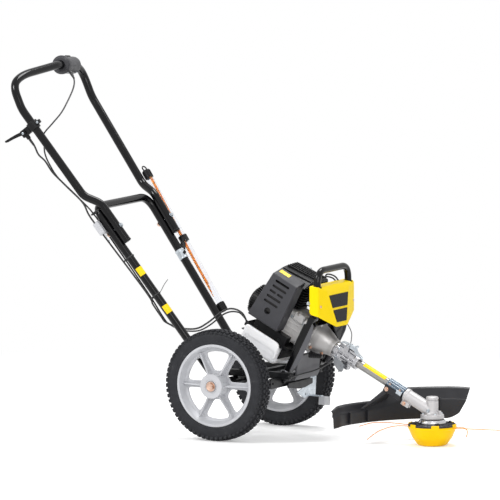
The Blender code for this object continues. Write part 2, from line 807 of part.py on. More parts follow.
def spare_line(axis, long):
    """One cord folded into four lengths that bow inside the tube."""
    reach = SPARE_TUBE_RADIUS - SPARE_TUBE_WALL - LINE_RADIUS - 0.0006
    points = []
    lengths = 4
    for lane in range(lengths):
        side = (lane - (lengths - 1) / 2) * 0.0040
        steps = 5
        for i in range(steps + 1):
            share = i / steps
            if lane % 2:
                share = 1 - share
            bow = (reach - 0.0035) * math.cos(math.pi * 1.2 * share)
            points.append(Vector((side, bow, 0.012 + share * (long * 0.86))))
    return as_mesh(pipe("spare_line", axis, points, LINE_RADIUS, 1))


def spare_clip(frame, axis, long):
    """Black clip round the tube, seated on a zinc strap round the left leg."""
    place = spare_point(SPARE_CLIP_AT)
    leg_x = place.x + 0.012
    strap_half = 0.016
    down = leg_direction(1)
    start = leg_point(leg_x, 1) - down * strap_half
    strap_radius = TUBE_RADIUS + 0.0022
    ring = [
        (TUBE_RADIUS + GAP, 0.0), (strap_radius, 0.0),
        (strap_radius, 2 * strap_half), (TUBE_RADIUS + GAP, 2 * strap_half)]
    finish(turned("tube_strap", frame, ring[::-1], start, down, 20, closed=True), "zinc", smooth=False)
    at = long * SPARE_CLIP_AT
    clip = rod("tube_clip", axis, (0, 0, at - 0.010), (0, 0, at + 0.010), SPARE_TUBE_RADIUS + 0.0034)
    middle = leg_point(leg_x, 1)
    across = middle - place
    foot = rod("clip_foot", frame, place, place + across * 0.8, 0.009, sides=8)
    fuse(clip, foot)
    cut(clip, rod("clip_bore", axis, (0, 0, at - 0.05), (0, 0, at + 0.05), SPARE_TUBE_RADIUS + GAP, sides=20))
    low, high = start - down * 0.03, start + down * 0.07
    cut(clip, rod("clip_leg_bore", frame, low, high, strap_radius + GAP, sides=20))
    return finish(clip, "satin_black")


# Wheels


def wheel(frame, side, name):
    """Tyre, spoked rim and axle bolt of one wheel, on an empty whose Z points outboard."""
    turn = (math.pi / 2, 0, 0) if side < 0 else (-math.pi / 2, 0, 0)
    axis = empty(name + "_wheel_axis", (0, side * TRACK_HALF, WHEEL_RADIUS), turn, frame)
    tyre(axis, name + "_tyre")
    rim(axis, name + "_rim")
    axle_bolt(axis, name + "_axle_bolt")


def tyre(axis, name):
    """Solid tyre with two staggered rows of tread lugs raised from its crown."""
    crown = WHEEL_RADIUS - TREAD_DEPTH
    bead = BEAD_RADIUS + BEAD_GAP
    lip = RIM_RADIUS + BEAD_GAP
    wide = TYRE_HALF_WIDTH
    half = [(crown, 0.0), (crown - 0.004, 0.78 * wide), (0.150, wide), (lip, wide - 0.0015),
            (lip, wide - 0.0015 - RIM_LIP - GAP), (bead, wide - 0.0015 - RIM_LIP - GAP)]
    profile = half[::-1] + [(r, -z) for r, z in half[1:]]
    segments = 2 * TREAD_LUGS
    bm = bmesh.new()
    rings = []
    for step in range(segments):
        angle = 2 * math.pi * step / segments
        rings.append([bm.verts.new((r * math.cos(angle), r * math.sin(angle), z)) for r, z in profile])
    lugs = []
    count = len(profile)
    for step in range(segments):
        here, there = rings[step], rings[(step + 1) % segments]
        for i in range(count):
            j = (i + 1) % count
            face = bm.faces.new((here[i], here[j], there[j], there[i]))
            row = i - (len(half) - 2)
            if row in (0, 1) and (step + row) % 2:
                lugs.append(face)
    bmesh.ops.recalc_face_normals(bm, faces=bm.faces)
    raised = bmesh.ops.extrude_discrete_faces(bm, faces=lugs)["faces"]
    for face in raised:
        centre = face.calc_center_median()
        for vert in face.verts:
            vert.co = centre + (vert.co - centre) * 0.80
            out = Vector((vert.co.x, vert.co.y, 0)).normalized()
            vert.co += out * TREAD_DEPTH
    return finish(add_object(name, mesh_from(bm, name), axis), "rubber")


def window_outline(inner, outer, middle, corner):
    """Rounded opening between two spokes, centred on an angle."""
    spread = math.pi / SPOKES
    points = []
    outer_edge = spread - math.asin(SPOKE_HALF / outer)
    inner_edge = spread - math.asin(SPOKE_HALF / inner)
    for share in (-1, 0, 1):
        angle = middle + share * outer_edge
        points.append((outer * math.cos(angle), outer * math.sin(angle), 0))
    for share in (1, -1):
        angle = middle + share * inner_edge
        points.append((inner * math.cos(angle), inner * math.sin(angle), 0))
    loop = [points[-1]] + points + [points[0]]
    rounded = softened(loop, [corner, 0.018, corner, corner, corner], 1)[1:-1]
    return [(p.x, p.y) for p in rounded]


def spoke_star(reach, half):
    """Outline of the ribs that stand on the spokes, meeting in the hub."""
    points = []
    for i in range(SPOKES):
        angle = 2 * math.pi * i / SPOKES
        spread = math.atan2(half, reach)
        for turn in (-spread, spread):
            points.append((reach * math.cos(angle + turn), reach * math.sin(angle + turn)))
        valley = angle + math.pi / SPOKES
        depth = half / math.sin(math.pi / SPOKES)
        points.append((depth * math.cos(valley), depth * math.sin(valley)))
    return points


def circle(radius, count):
    """Points of a circle in its plane."""
    return [(radius * math.cos(2 * math.pi * i / count), radius * math.sin(2 * math.pi * i / count))
            for i in range(count)]


def rim(axis, name):
    """One piece rim: web with six windows, barrel, ribbed spokes and hub."""
    face = TYRE_HALF_WIDTH - 0.0015
    seat = face - RIM_LIP
    wall = RIM_RADIUS - 0.0185
    rim_body = turned(name, axis, [
        (0.0, HUB_OUTER), (HUB_RADIUS - 0.001, HUB_OUTER), (HUB_RADIUS, WEB_FACE),
        (wall, WEB_FACE), (0.1165, face), (RIM_RADIUS, face), (RIM_RADIUS, seat), (BEAD_RADIUS, seat),
        (BEAD_RADIUS, -seat), (RIM_RADIUS, -seat), (RIM_RADIUS, -face), (0.1190, -face),
        (wall, WEB_FACE - WEB_THICKNESS), (0.026, WEB_FACE - WEB_THICKNESS), (0.022, -HUB_INNER),
        (0.0, -HUB_INNER)], steps=24)
    windows = [window_outline(0.045, 0.1035, math.pi / SPOKES * (2 * i + 1), 0.011) for i in range(SPOKES)]
    cut(rim_body, sheet(name + "_windows", axis, windows, 0.040, (0, 0, 0.012)))
    fuse(rim_body, sheet(name + "_ribs", axis, [spoke_star(0.110, 0.0026)], 0.0215, (0, 0, 0.0118)))
    bore = rod(name + "_bore", axis, (0, 0, -0.06), (0, 0, 0.06), AXLE_RADIUS + SLIDE, sides=16)
    cut(rim_body, bore)
    return finish(rim_body, "grey_plastic", smooth=False)


def axle_bolt(axis, name):
    """Hexagon bolt that closes the hub and meets the axle's end inside it."""
    face = HUB_OUTER + GAP
    shank = rod(name, axis, (0, 0, face - AXLE_BOLT_SHANK), (0, 0, face + 0.001), AXLE_RADIUS, sides=16)
    washer = rod(name + "_washer", axis, (0, 0, face), (0, 0, face + 0.002), 0.0155, sides=20)
    head = rod(name + "_head", axis, (0, 0, face), (0, 0, face + 0.0085), AXLE_BOLT_HEAD, sides=6)
    return finish(fuse(shank, washer, head), "copper", smooth=False)


def axle(frame):
    """Fixed axle rod through the cross tube and both hubs."""
    half = TRACK_HALF + HUB_OUTER - AXLE_BOLT_SHANK
    return finish(rod("axle", frame, (0, -half, WHEEL_RADIUS), (0, half, WHEEL_RADIUS), AXLE_RADIUS,
                      sides=16), "steel")


# Engine bed, undershield and tyre scraper


def bed_bottom():
    """Height of the rails' lower face, which rests on the axle tube."""
    return WHEEL_RADIUS + AXLE_TUBE_RADIUS + GAP


def engine_bed(frame):
    """Welded bed: two rails on the axle tube, a front tie and the wide cross bar."""
    low_z = bed_bottom()
    high_z = low_z + RAIL_SIZE
    bed = None
    for side, name in ((-1, "right_rail"), (1, "left_rail")):
        inner, outer = sorted((side * BED_HALF - RAIL_SIZE / 2, side * BED_HALF + RAIL_SIZE / 2))
        low = (RAIL_REAR_X, inner, low_z)
        high = (RAIL_FRONT_X, outer, high_z)
        rail = block("engine_bed" if bed is None else name, frame, low, high)
        bed = fuse(bed, rail) if bed else rail
    tie = block("front_tie", frame, (RAIL_FRONT_X - 0.016, -BED_HALF, low_z + 0.003),
                (RAIL_FRONT_X - 0.001, BED_HALF, high_z - 0.003))
    middle = block("middle_tie", frame, (0.055, -BED_HALF, low_z + 0.004), (0.075, BED_HALF, high_z - 0.004))
    bar_x = CROSS_BAR_X
    bar = block("cross_bar", frame, (bar_x - 0.004, -CROSS_BAR_HALF, low_z - 0.030),
                (bar_x + 0.004, CROSS_BAR_HALF, low_z + 0.002))
    fuse(bed, tie, middle, bar)
    return finish(bed, "satin_black", smooth=False)


def undershield(frame):
    """Bent sheet that covers the front of the bed below the clutch bell."""
    half = BED_HALF - RAIL_SIZE / 2 - 0.0165
    front = RAIL_FRONT_X + GAP
    bed = bed_bottom()
    top = COUPLING_Z + 0.0262
    outer = [(0.2045, top), (0.1990, bed + 0.0337), (0.1965, bed + 0.0037), (0.1900, bed - 0.0073),
             (0.1500, bed - 0.0123)]
    inner = [(0.1500, bed - 0.0101), (0.1880, bed - 0.0051), (front, bed + 0.0037), (front, bed + 0.0337),
             (0.2025, top - 0.0012)]
    outline = outer + inner
    sections = [[(x, y, z) for x, z in outline] for y in (-half, half)]
    return finish(loft("undershield", frame, sections), "dark_plastic", smooth=False)


def tyre_scraper(frame):
    """Zinc bracket on the cross bar's left end that holds a grey block near the tyre."""
    x = CROSS_BAR_X + 0.004 + GAP
    y = TRACK_HALF - TYRE_HALF_WIDTH - 0.048
    shelf_z = WHEEL_RADIUS - SCRAPER_DROP
    plate = [(-0.020, SCRAPER_PLATE), (0.020, SCRAPER_PLATE), (0.012, 0.0), (-0.002, 0.0)]
    arm = sheet("scraper_bracket", frame, [plate], 0.003, (x + 0.0015, y, shelf_z + 0.001),
                (math.pi / 2, 0, math.pi / 2))
    shelf = block("scraper_shelf", frame, (x, y, shelf_z), (x + 0.030, y + 0.012, shelf_z + 0.004))
    fuse(arm, shelf)
    finish(arm, "zinc", smooth=False)
    top = shelf_z - GAP
    low, high = (x + 0.006, y + 0.004, top - SCRAPER_BLOCK), (x + 0.028, y + 0.050, top)
    pad = block("scraper_block", frame, low, high, 0.002, segments=1)
    return finish(pad, "grey_plastic", smooth=False)


# Hoop, struts and yellow shield


def engine_hoop(frame, shaft):
    """Carrying hoop with its two struts, cross plate and V gusset, welded as one."""
    top = HOOP_TOP_Z
    low = Vector((HOOP_X, 0, 0.405))
    knee = engine_point(-0.164, 0, 0.080)
    half = BED_HALF
    points = [
        (knee.x, -half, knee.z), (low.x, -half, low.z), (low.x, -half, top),
        (low.x, half, top), (low.x, half, low.z), (knee.x, half, knee.z)]
    hoop = as_mesh(pipe("engine_hoop", frame, softened(points, HOOP_BEND), HOOP_RADIUS))
    for side, name in ((-1, "right_strut"), (1, "left_strut")):
        inner, outer = sorted((side * (half - STRUT_WIDTH / 2), side * (half + STRUT_WIDTH / 2)))
        front = PLATE_BACK + PLATE_THICKNESS + GAP
        strut = block(name, shaft, (front, inner, -0.1055), (front + STRUT_DEPTH, outer, 0.086))
        fuse(hoop, strut)
    plate = block("cross_plate", frame, (HOOP_X - 0.012, -half, 0.352), (HOOP_X - 0.006, half, 0.440))
    gusset = sheet("v_gusset", frame, [[(-0.034, 0.048), (0.034, 0.048), (0.010, 0.0), (-0.010, 0.0)]], 0.003,
                   (HOOP_X + 0.020, 0, 0.310), (math.pi / 2, 0, math.pi / 2))
    flange = block("gusset_flange", frame, (HOOP_X - 0.010, -0.030, 0.3545), (HOOP_X + 0.020, 0.030, 0.3575))
    fuse(hoop, plate, flange, gusset)
    return finish(hoop, "gloss_black")


def front_shield(frame):
    """Yellow sheet cover: tapering front face with sides and top folded back."""
    outlines = []
    for x_top, x_low, top_half, low_half, top, low in SHIELD_RINGS:
        outlines.append([
            (x_top, -top_half, top), (x_top, top_half, top), (x_low, low_half, low), (x_low, -low_half, low)])
    bm = bmesh.new()
    rings = [[bm.verts.new(point) for point in ring] for ring in outlines]
    bm.faces.new(rings[0])
    for first, second in zip(rings, rings[1:]):
        for i in (0, 1, 3):
            j = (i + 1) % 4
            bm.faces.new((first[i], first[j], second[j], second[i]))
    shield = add_object("front_shield", mesh_from(bm, "front_shield"), frame)
    fold = shield.modifiers.new("sheet", "SOLIDIFY")
    fold.thickness = SHEET
    fold.offset = -1.0
    fold.use_even_offset = True
    for side in (-1, 1):
        name = "hoop_notch_left" if side > 0 else "hoop_notch_right"
        foot = (HOOP_X, side * BED_HALF, 0.39)
        cut(shield, rod(name, frame, foot, (HOOP_X, side * BED_HALF, 0.50), HOOP_RADIUS + 0.0030, sides=16))
    return finish(shield, "yellow", smooth=False)


# Engine, in the powertrain's own axes


def engine_plate(shaft):
    """Mounting plate between the engine and the struts, bored for the clutch bell's spigot."""
    back = PLATE_BACK
    outline = [(-0.112, 0.052), (0.112, 0.052), (0.112, -0.040), (0.060, -0.050), (-0.060, -0.050),
               (-0.112, -0.040)]
    plate = sheet("engine_plate", shaft, [outline], PLATE_THICKNESS, (back + PLATE_THICKNESS / 2, 0, 0),
                  (math.pi / 2, 0, math.pi / 2))
    return finish(plate, "satin_black", smooth=False)


def crankcase(shaft):
    """Cast crankcase with mounting ears and bearing boss."""
    front = PLATE_BACK - GAP
    half = CASE_HALF
    case = block("crankcase", shaft, (front - CASE_LENGTH, -half, -0.046), (front, half, 0.044), 0.012)
    boss = rod("case_boss", shaft, (front - 0.030, 0, 0), (front - 0.0004, 0, 0), 0.0485)
    ears = []
    for i, (y, z) in enumerate(((-0.052, 0.036), (-0.052, -0.034), (0.052, 0.036), (0.052, -0.034))):
        start, end = (front - 0.022, y, z), (front - 0.0008, y, z)
        ears.append(rod("case_ear_" + str(i), shaft, start, end, 0.011, sides=12))
    fuse(case, boss, *ears)
    return finish(case, "aluminium")


def cylinder(shaft):
    """Finned cylinder and head on the crankcase."""
    low = 0.044 + GAP
    middle = CYLINDER_X
    barrel = rod("cylinder", shaft, (middle, 0, low), (middle, 0, 0.146), 0.029, sides=8)
    for i in range(FIN_COUNT):
        z = low + 0.012 + i * FIN_PITCH
        reach = FIN_HALF if i else FIN_HALF * 0.85
        fin = block("fin_" + str(i), shaft, (middle - reach, -reach, z), (middle + reach, reach, z + 0.0035))
        fuse(barrel, fin)
    port = block("exhaust_port", shaft, (middle - 0.016, -0.0635, 0.062), (middle + 0.016, 0.0, 0.090))
    inlet = block("inlet_port", shaft, (middle - 0.014, 0.0, 0.062), (middle + 0.014, 0.0535, 0.088))
    fuse(barrel, port, inlet)
    return finish(barrel, "satin_black", smooth=False)


def spark_plug_cap(shaft):
    """Rubber cap on the plug with its lead to the coil."""
    front = CYLINDER_X + FIN_HALF + GAP
    z = 0.1245
    cap = rod("spark_plug_cap", shaft, (front, 0.0, z), (front + 0.024, 0.0, z), 0.0105, 0.0085, 14)
    lead_path = [(front + 0.014, 0, z), (front + 0.018, 0.020, z + 0.004), (front + 0.010, 0.048, z - 0.010),
                 (front + 0.002, 0.062, z - 0.040), (front, 0.058, z - 0.070)]
    lead = as_mesh(pipe("plug_lead", shaft, softened(lead_path, 0.014, 2), 0.0033, 1))
    return finish(fuse(cap, lead), "rubber")


def muffler(shaft):
    """Pressed steel silencer box behind its cover."""
    inner = COVER_SIDE + COVER_WALL + 0.002
    box = block("muffler", shaft, (COVER_FRONT - COVER_LENGTH + 0.010, inner, 0.015),
                (COVER_FRONT - 0.010, -0.0640, 0.120), 0.010, segments=1)
    return finish(box, "steel")


def muffler_cover(shaft):
    """Slotted guard over the silencer: an open box with a bevelled top edge."""
    rear = COVER_FRONT - COVER_LENGTH
    side = COVER_SIDE
    inside = side + COVER_DEPTH
    shell = [(side, COVER_BOTTOM + 0.004), (side, COVER_TOP - 0.014), (side + 0.022, COVER_TOP),
             (inside, COVER_TOP), (inside, COVER_BOTTOM), (side + 0.004, COVER_BOTTOM)]
    outer = [[(x, y, z) for y, z in shell] for x in (rear, COVER_FRONT)]
    cover = loft("muffler_cover", shaft, outer)
    wall = COVER_WALL
    hollow = [(side + wall, COVER_BOTTOM + 0.004 + wall), (side + wall, COVER_TOP - 0.015),
              (side + 0.023, COVER_TOP - wall), (inside + 0.010, COVER_TOP - wall),
              (inside + 0.010, COVER_BOTTOM + wall), (side + 0.006, COVER_BOTTOM + wall)]
    room = [[(x, y, z) for y, z in hollow] for x in (rear + wall, COVER_FRONT - wall)]
    cut(cover, loft("cover_room", shaft, room))
    for i in range(5):
        x_slope = (i - 2) * 0.0035
        z = 0.0995 - i * SLOT_PITCH
        cut(cover, slot_tool("cover_slot_" + str(i), shaft, x_slope, z))
    hole = rod("cover_hole", shaft, (-0.3190, side - 0.010, 0.0165), (-0.3190, side + 0.010, 0.0165), 0.0098,
               sides=16)
    return finish(cut(cover, hole), "dark_plastic", smooth=False)


def slot_tool(name, shaft, shift, z):
    """Cutting bar for one slot of the muffler cover."""
    middle = COVER_FRONT - COVER_LENGTH / 2 + 0.006 + shift
    low = (middle - SLOT_LENGTH / 2, COVER_SIDE - 0.010, z - SLOT_WIDTH / 2)
    high = (middle + SLOT_LENGTH / 2, COVER_SIDE + 0.010, z + SLOT_WIDTH / 2)
    return block(name, shaft, low, high)


def top_cover(shaft):
    """Ribbed cooling cover over the cylinder head."""
    rear = COVER_FRONT - COVER_LENGTH
    section = [
        (-0.088, COVER_TOP + GAP), (-0.060, 0.1560), (-0.030, 0.1660), (0.030, 0.1680), (0.058, 0.1560),
        (0.066, 0.1300), (0.066, 0.1000), (0.062, 0.1000), (0.062, 0.1290), (0.054, 0.1500),
        (-0.030, 0.1500), (-0.066, COVER_TOP + GAP)]
    cover = loft("top_cover", shaft, [[(x, y, z) for y, z in section] for x in (rear, COVER_FRONT + 0.012)])
    for i in range(5):
        y = -0.052 + i * 0.022
        z = 0.1660 - 0.0045 * abs(i - 2.4) ** 1.2
        low = (rear + 0.004, y, z - 0.008)
        rib = block("top_rib_" + str(i), shaft, low, (COVER_FRONT + 0.008, y + 0.005, z + 0.0045))
        fuse(cover, rib)
    return finish(cover, "satin_black", smooth=False)


def recoil_housing(shaft):
    """Fan housing and recoil starter on the rear of the crankcase, with cooling vents."""
    front = PLATE_BACK - GAP - CASE_LENGTH - GAP
    rear = front - RECOIL_LENGTH
    long = RECOIL_LENGTH
    housing = turned("recoil_housing", shaft, [
        (0.0, long), (RECOIL_RADIUS - 0.014, long), (RECOIL_RADIUS - 0.003, long - 0.010),
        (RECOIL_RADIUS, 0.034), (FAN_RADIUS, 0.030), (FAN_RADIUS, 0.004), (FAN_RADIUS - 0.006, 0.0),
        (0.0, 0.0)],
        (front, 0, 0), (-1, 0, 0), steps=24)
    for i in range(8):
        angle = 2 * math.pi * i / 8 + 0.2
        place = (rear + 0.020, RECOIL_RADIUS * math.cos(angle), RECOIL_RADIUS * math.sin(angle))
        vent = block("vent_" + str(i), shaft, (-0.008, -0.007, -0.0030), (0.008, 0.007, 0.0030))
        vent.location = place
        vent.rotation_euler = (angle, 0, 0)
        cut(housing, vent)
    guide = (rear + 0.020, RECOIL_RADIUS - 0.010, 0)
    base = rod("rope_guide", shaft, guide, (rear + 0.020, FAN_RADIUS + 0.004, 0), 0.008, sides=14)
    fuse(housing, base)
    return finish(housing, "satin_black")


def starter_handle(shaft):
    """Grip of the pull starter, parked in its guide on the left side."""
    rear = PLATE_BACK - GAP - CASE_LENGTH - GAP - RECOIL_LENGTH + 0.020
    start = FAN_RADIUS + 0.004 + GAP
    grip = turned("starter_handle", shaft, [
        (0.0, 0.028), (0.009, 0.028), (0.012, 0.024), (0.0085, 0.012), (0.0075, 0.0), (0.0, 0.0)],
        (rear, start, 0), (0, 1, 0), steps=16)
    grip.scale = (1.0, 1.6, 1.0)
    return finish(grip, "satin_black")


def tank_bracket(shaft):
    """Black tray between engine and tank, with the cable stop behind the tank."""
    top = -0.046 - GAP
    back = TANK_REAR - 0.0065
    foot = ANCHOR_TOP - 0.003
    tray = block("tank_bracket", shaft, (back, -0.092, TANK_TOP + GAP), (-0.196, 0.062, top - 0.004))
    seat = block("tray_seat", shaft, (-0.320, -0.040, top - 0.008), (-0.216, 0.040, top))
    cheek_low = (COVER_FRONT - 0.085, -0.095, TANK_TOP + 0.004)
    cheek = block("tray_cheek", shaft, cheek_low, (-0.215, -0.068, -0.022))
    riser = block("stop_riser", shaft, (back, -0.014, foot), (TANK_REAR - 0.0025, 0.024, -0.055))
    tab_low = (ANCHOR_X - 0.009, -0.014, foot)
    tab = block("stop_tab", shaft, tab_low, (TANK_REAR - 0.0030, 0.024, ANCHOR_TOP))
    fuse(tray, seat, cheek, riser, tab)
    return finish(tray, "satin_black", smooth=False)


def fuel_tank(shaft):
    """Translucent moulded tank with generous rounded corners."""
    low = (TANK_REAR, TANK_RIGHT, TANK_BOTTOM)
    high = (TANK_FRONT, TANK_LEFT, TANK_TOP)
    tank = block("fuel_tank", shaft, low, high, 0.020, segments=3)
    x, z = FUEL_NECK
    neck = rod("tank_neck", shaft, (x, TANK_LEFT - 0.006, z), (x, TANK_LEFT + 0.010, z), 0.017)
    fuse(tank, neck)
    return finish(tank, "white_plastic")


def fuel_cap(shaft):
    """Ribbed screw cap over the tank's neck."""
    start = TANK_LEFT + 0.010 + GAP
    axis = empty("fuel_cap_axis", (FUEL_NECK[0], start, FUEL_NECK[1]), (-math.pi / 2, 0, 0), shaft)
    cap = rod("fuel_cap", axis, (0, 0, 0), (0, 0, 0.014), 0.0215, 0.0205, 20)
    for i in range(4):
        grip = block("cap_grip_" + str(i), axis, (-0.0228, -0.002, 0.002), (0.0228, 0.002, 0.012),
                     turn=(0, 0, i * math.pi / 4))
        fuse(cap, grip)
    return finish(cap, "satin_black")


def carburettor(shaft):
    """Carburettor body on the inlet side with its throttle boss."""
    start = INTAKE_FACE + GAP
    low = (CYLINDER_X - 0.020, start, 0.056)
    high = (CYLINDER_X + 0.020, start + CARBURETTOR_DEPTH, 0.094)
    body = block("carburettor", shaft, low, high, 0.003, segments=1)
    x, y, z = primer_place()
    top = z + GAP + PRIMER_TRAVEL + SLIDE
    cut(body, rod("primer_pocket", shaft, (x, y, z - 0.01), (x, y, top), PRIMER_RADIUS + SLIDE, sides=16))
    return finish(body, "aluminium", smooth=False)


def air_filter_cover(shaft):
    """Domed air filter cover outside the carburettor."""
    start = INTAKE_FACE + CARBURETTOR_DEPTH + 2 * GAP
    low = (CYLINDER_X - 0.038, start, 0.035)
    high = (CYLINDER_X + 0.038, start + 0.032, 0.112)
    return finish(block("air_filter_cover", shaft, low, high, 0.010, segments=2), "dark_plastic")


def choke_lever(shaft):
    """Small lever that turns on the air filter cover's front side."""
    place = (CYLINDER_X + 0.038 + GAP, INTAKE_FACE + CARBURETTOR_DEPTH + 0.014, 0.074)
    axis = empty("choke_axis", place, (0, math.pi / 2, 0), shaft)
    boss = rod("choke_lever", axis, (0, 0, 0), (0, 0, 0.006), 0.007, sides=16)
    arm = block("choke_arm", axis, (-0.004, 0.0, 0.001), (0.004, 0.024, 0.005))
    return finish(fuse(boss, arm), "satin_black", smooth=False)


def primer_place():
    """Middle of the primer bulb's seat under the carburettor."""
    return CYLINDER_X, INTAKE_FACE + GAP + CARBURETTOR_DEPTH / 2, 0.056 - GAP


def primer_bulb(shaft):
    """Priming bulb below the carburettor, which is pressed up into its pocket."""
    profile = [(0.0, 0.011), (0.005, 0.0100), (0.0085, 0.0065), (PRIMER_RADIUS, 0.0), (0.0, 0.0)]
    bulb = turned("primer_bulb", shaft, profile, primer_place(), (0, 0, -1), steps=16)
    return finish(bulb, "clear_plastic")


def clutch_bell(shaft):
    """Cast cone that houses the clutch, with a bolting flange and four ribs."""
    start = PLATE_BACK + PLATE_THICKNESS + GAP
    end = start + BELL_LENGTH
    bell = turned("clutch_bell", shaft, [
        (0.0, BELL_LENGTH), (BELL_SMALL - 0.002, BELL_LENGTH), (BELL_SMALL, BELL_LENGTH - 0.002),
        (BELL_SMALL + 0.002, BELL_LENGTH - 0.016), (BELL_LARGE - 0.010, 0.030), (BELL_LARGE - 0.004, 0.008),
        (BELL_LARGE, 0.006), (BELL_LARGE, 0.0), (0.0, 0.0)], (start, 0, 0), (1, 0, 0), steps=24)
    bore_radius = DRIVE_SHAFT_RADIUS + SLIDE
    bore = rod("bell_bore", shaft, (start + 0.040, 0, 0), (end + 0.01, 0, 0), bore_radius, sides=12)
    return finish(cut(bell, bore), "aluminium")


# Coupling, drive tube and guard


def coupling_body(shaft):
    """Split casting that clamps the drive tube to the clutch bell."""
    start = PLATE_BACK + PLATE_THICKNESS + GAP + BELL_LENGTH + GAP
    end = -0.008
    body = rod("coupling_body", shaft, (start, 0, 0), (end, 0, 0), 0.0215, 0.0185)
    flange = rod("coupling_flange", shaft, (start, 0, 0), (start + 0.010, 0, 0), 0.026)
    lug = block("clamp_lug", shaft, (-0.060, -0.011, -0.036), (-0.030, 0.011, -0.010), 0.004)
    spine = block("clamp_spine", shaft, (-0.086, -0.007, 0.010), (-0.018, 0.007, 0.0250))
    end_ring = rod("coupling_ring", shaft, (end - 0.014, 0, 0), (end, 0, 0), 0.0215)
    fuse(body, flange, lug, spine, end_ring)
    seat = (DRIVE_TUBE_START - GAP, 0, 0)
    socket = rod("tube_socket", shaft, seat, (0.02, 0, 0), DRIVE_TUBE_RADIUS + GAP, sides=20)
    bore = rod("shaft_bore", shaft, (-0.2, 0, 0), (0, 0, 0), DRIVE_SHAFT_RADIUS + SLIDE, sides=12)
    slot = block("clamp_slot", shaft, (-0.064, -0.0015, -0.04), (-0.026, 0.0015, -0.012))
    bolt_hole = rod("pin_hole", shaft, (-0.045, -0.02, -0.028), (-0.045, 0.02, -0.028), 0.0035, sides=12)
    cut(body, socket, bore, slot, bolt_hole)
    return finish(body, "aluminium")


def coupling_lever(shaft):
    """Folded lever that tightens the coupling and hangs below it."""
    axis = empty("coupling_lever_axis", (-0.045, 0, -0.028), (0, -SHAFT_PITCH, 0), shaft)
    pin = rod("coupling_lever", axis, (0, -0.020, 0), (0, 0.016, 0), 0.0032, sides=12)
    blade = [
        (-0.010, 0.005), (0.010, 0.005), (0.011, -0.034), (0.016, -0.046), (0.002, -0.046), (-0.008, -0.034)]
    sections = [[(x, y, z) for x, z in blade] for y in (-0.0170, -0.0140)]
    arm = loft("lever_blade", axis, sections)
    cap = rod("pin_cap", axis, (0, 0.0120, 0), (0, 0.0165, 0), 0.0065, sides=12)
    return finish(fuse(pin, arm, cap), "zinc", smooth=False)


def coupling_latch(shaft):
    """Sprung catch that pivots on top of the coupling."""
    axis = empty("coupling_latch_axis", (-0.060, 0, 0.0325), (0, 0, 0), shaft)
    catch = rod("coupling_latch", axis, (0, -0.011, 0), (0, 0.011, 0), 0.0045, sides=14)
    side = [
        (-0.004, -0.0035), (-0.004, 0.004), (0.030, 0.005), (0.050, 0.000), (0.052, -0.003), (0.030, -0.001)]
    sections = [[(x, y, z) for x, z in side] for y in (-0.009, 0.009)]
    plate = loft("latch_plate", axis, sections)
    return finish(fuse(catch, plate), "zinc", smooth=False)


def drive_tube(shaft):
    """Aluminium tube from the coupling to the gear head."""
    end = SLEEVE_START + SLEEVE_DEPTH - GAP
    long = end - DRIVE_TUBE_START
    inner = DRIVE_TUBE_RADIUS - DRIVE_TUBE_WALL
    wall = [(inner, 0.0), (inner, long), (DRIVE_TUBE_RADIUS, long), (DRIVE_TUBE_RADIUS, 0.0)]
    tube = turned("drive_tube", shaft, wall, (DRIVE_TUBE_START, 0, 0), (1, 0, 0), steps=24, closed=True)
    return finish(tube, "aluminium")


def drive_shaft(shaft):
    """Solid shaft that runs inside the tube from the clutch to the gears."""
    start = PLATE_BACK + PLATE_THICKNESS + GAP + 0.042
    end = SLEEVE_START + SLEEVE_DEPTH + 0.018
    bar = rod("drive_shaft", shaft, (start, 0, 0), (end, 0, 0), DRIVE_SHAFT_RADIUS, sides=12)
    return finish(bar, "steel")


def guard_clamp(shaft):
    """Upper half of the guard clamp with its bolts."""
    low, high = (0.108, -0.023, GAP), (0.170, 0.023, 0.0175)
    clamp = block("guard_clamp", shaft, low, high, 0.003, segments=1)
    ring = rod("clamp_crown", shaft, (0.112, 0, 0), (0.166, 0, 0), DRIVE_TUBE_RADIUS + 0.0045, sides=20)
    lower = block("crown_cut", shaft, (0.05, -0.05, -0.05), (0.25, 0.05, GAP))
    fuse(clamp, ring)
    for i, (x, y) in enumerate(((0.120, -0.0185), (0.158, -0.0185), (0.120, 0.0185), (0.158, 0.0185))):
        fuse(clamp, rod("clamp_bolt_" + str(i), shaft, (x, y, 0.010), (x, y, 0.0215), 0.0045, sides=6))
    bore = rod("guard_clamp_bore", shaft, (0, 0, 0), (0.3, 0, 0), DRIVE_TUBE_RADIUS + GAP, sides=20)
    cut(clamp, lower, bore)
    return finish(clamp, "zinc", smooth=False)


def guard_section(angle, share):
    """Wall outline of the guard at an angle round its own centre."""
    high = 0.130 + 0.026 * share
    lean = 0.022
    rows = [(0.0, GUARD_LOW_Z), (0.002, high - 0.032), (lean, high - 0.004), (lean + 0.007, high)]
    wall = GUARD_WALL
    back = [(lean + 0.007, high - wall), (lean + wall, high - wall - 0.005), (0.002 + wall, high - 0.034),
            (wall, GUARD_LOW_Z)]
    points = []
    for out, z in rows + back:
        radius = GUARD_RADIUS + out
        x = GUARD_CENTRE[0] + radius * math.cos(angle)
        y = GUARD_CENTRE[1] + radius * math.sin(angle)
        points.append((x, y, z))
    return points


def guard_x(y, out):
    """Where the guard's wall, or a line that far outside it, stands at a distance along Y."""
    return GUARD_CENTRE[0] - math.sqrt((GUARD_RADIUS + out) ** 2 - (y - GUARD_CENTRE[1]) ** 2)


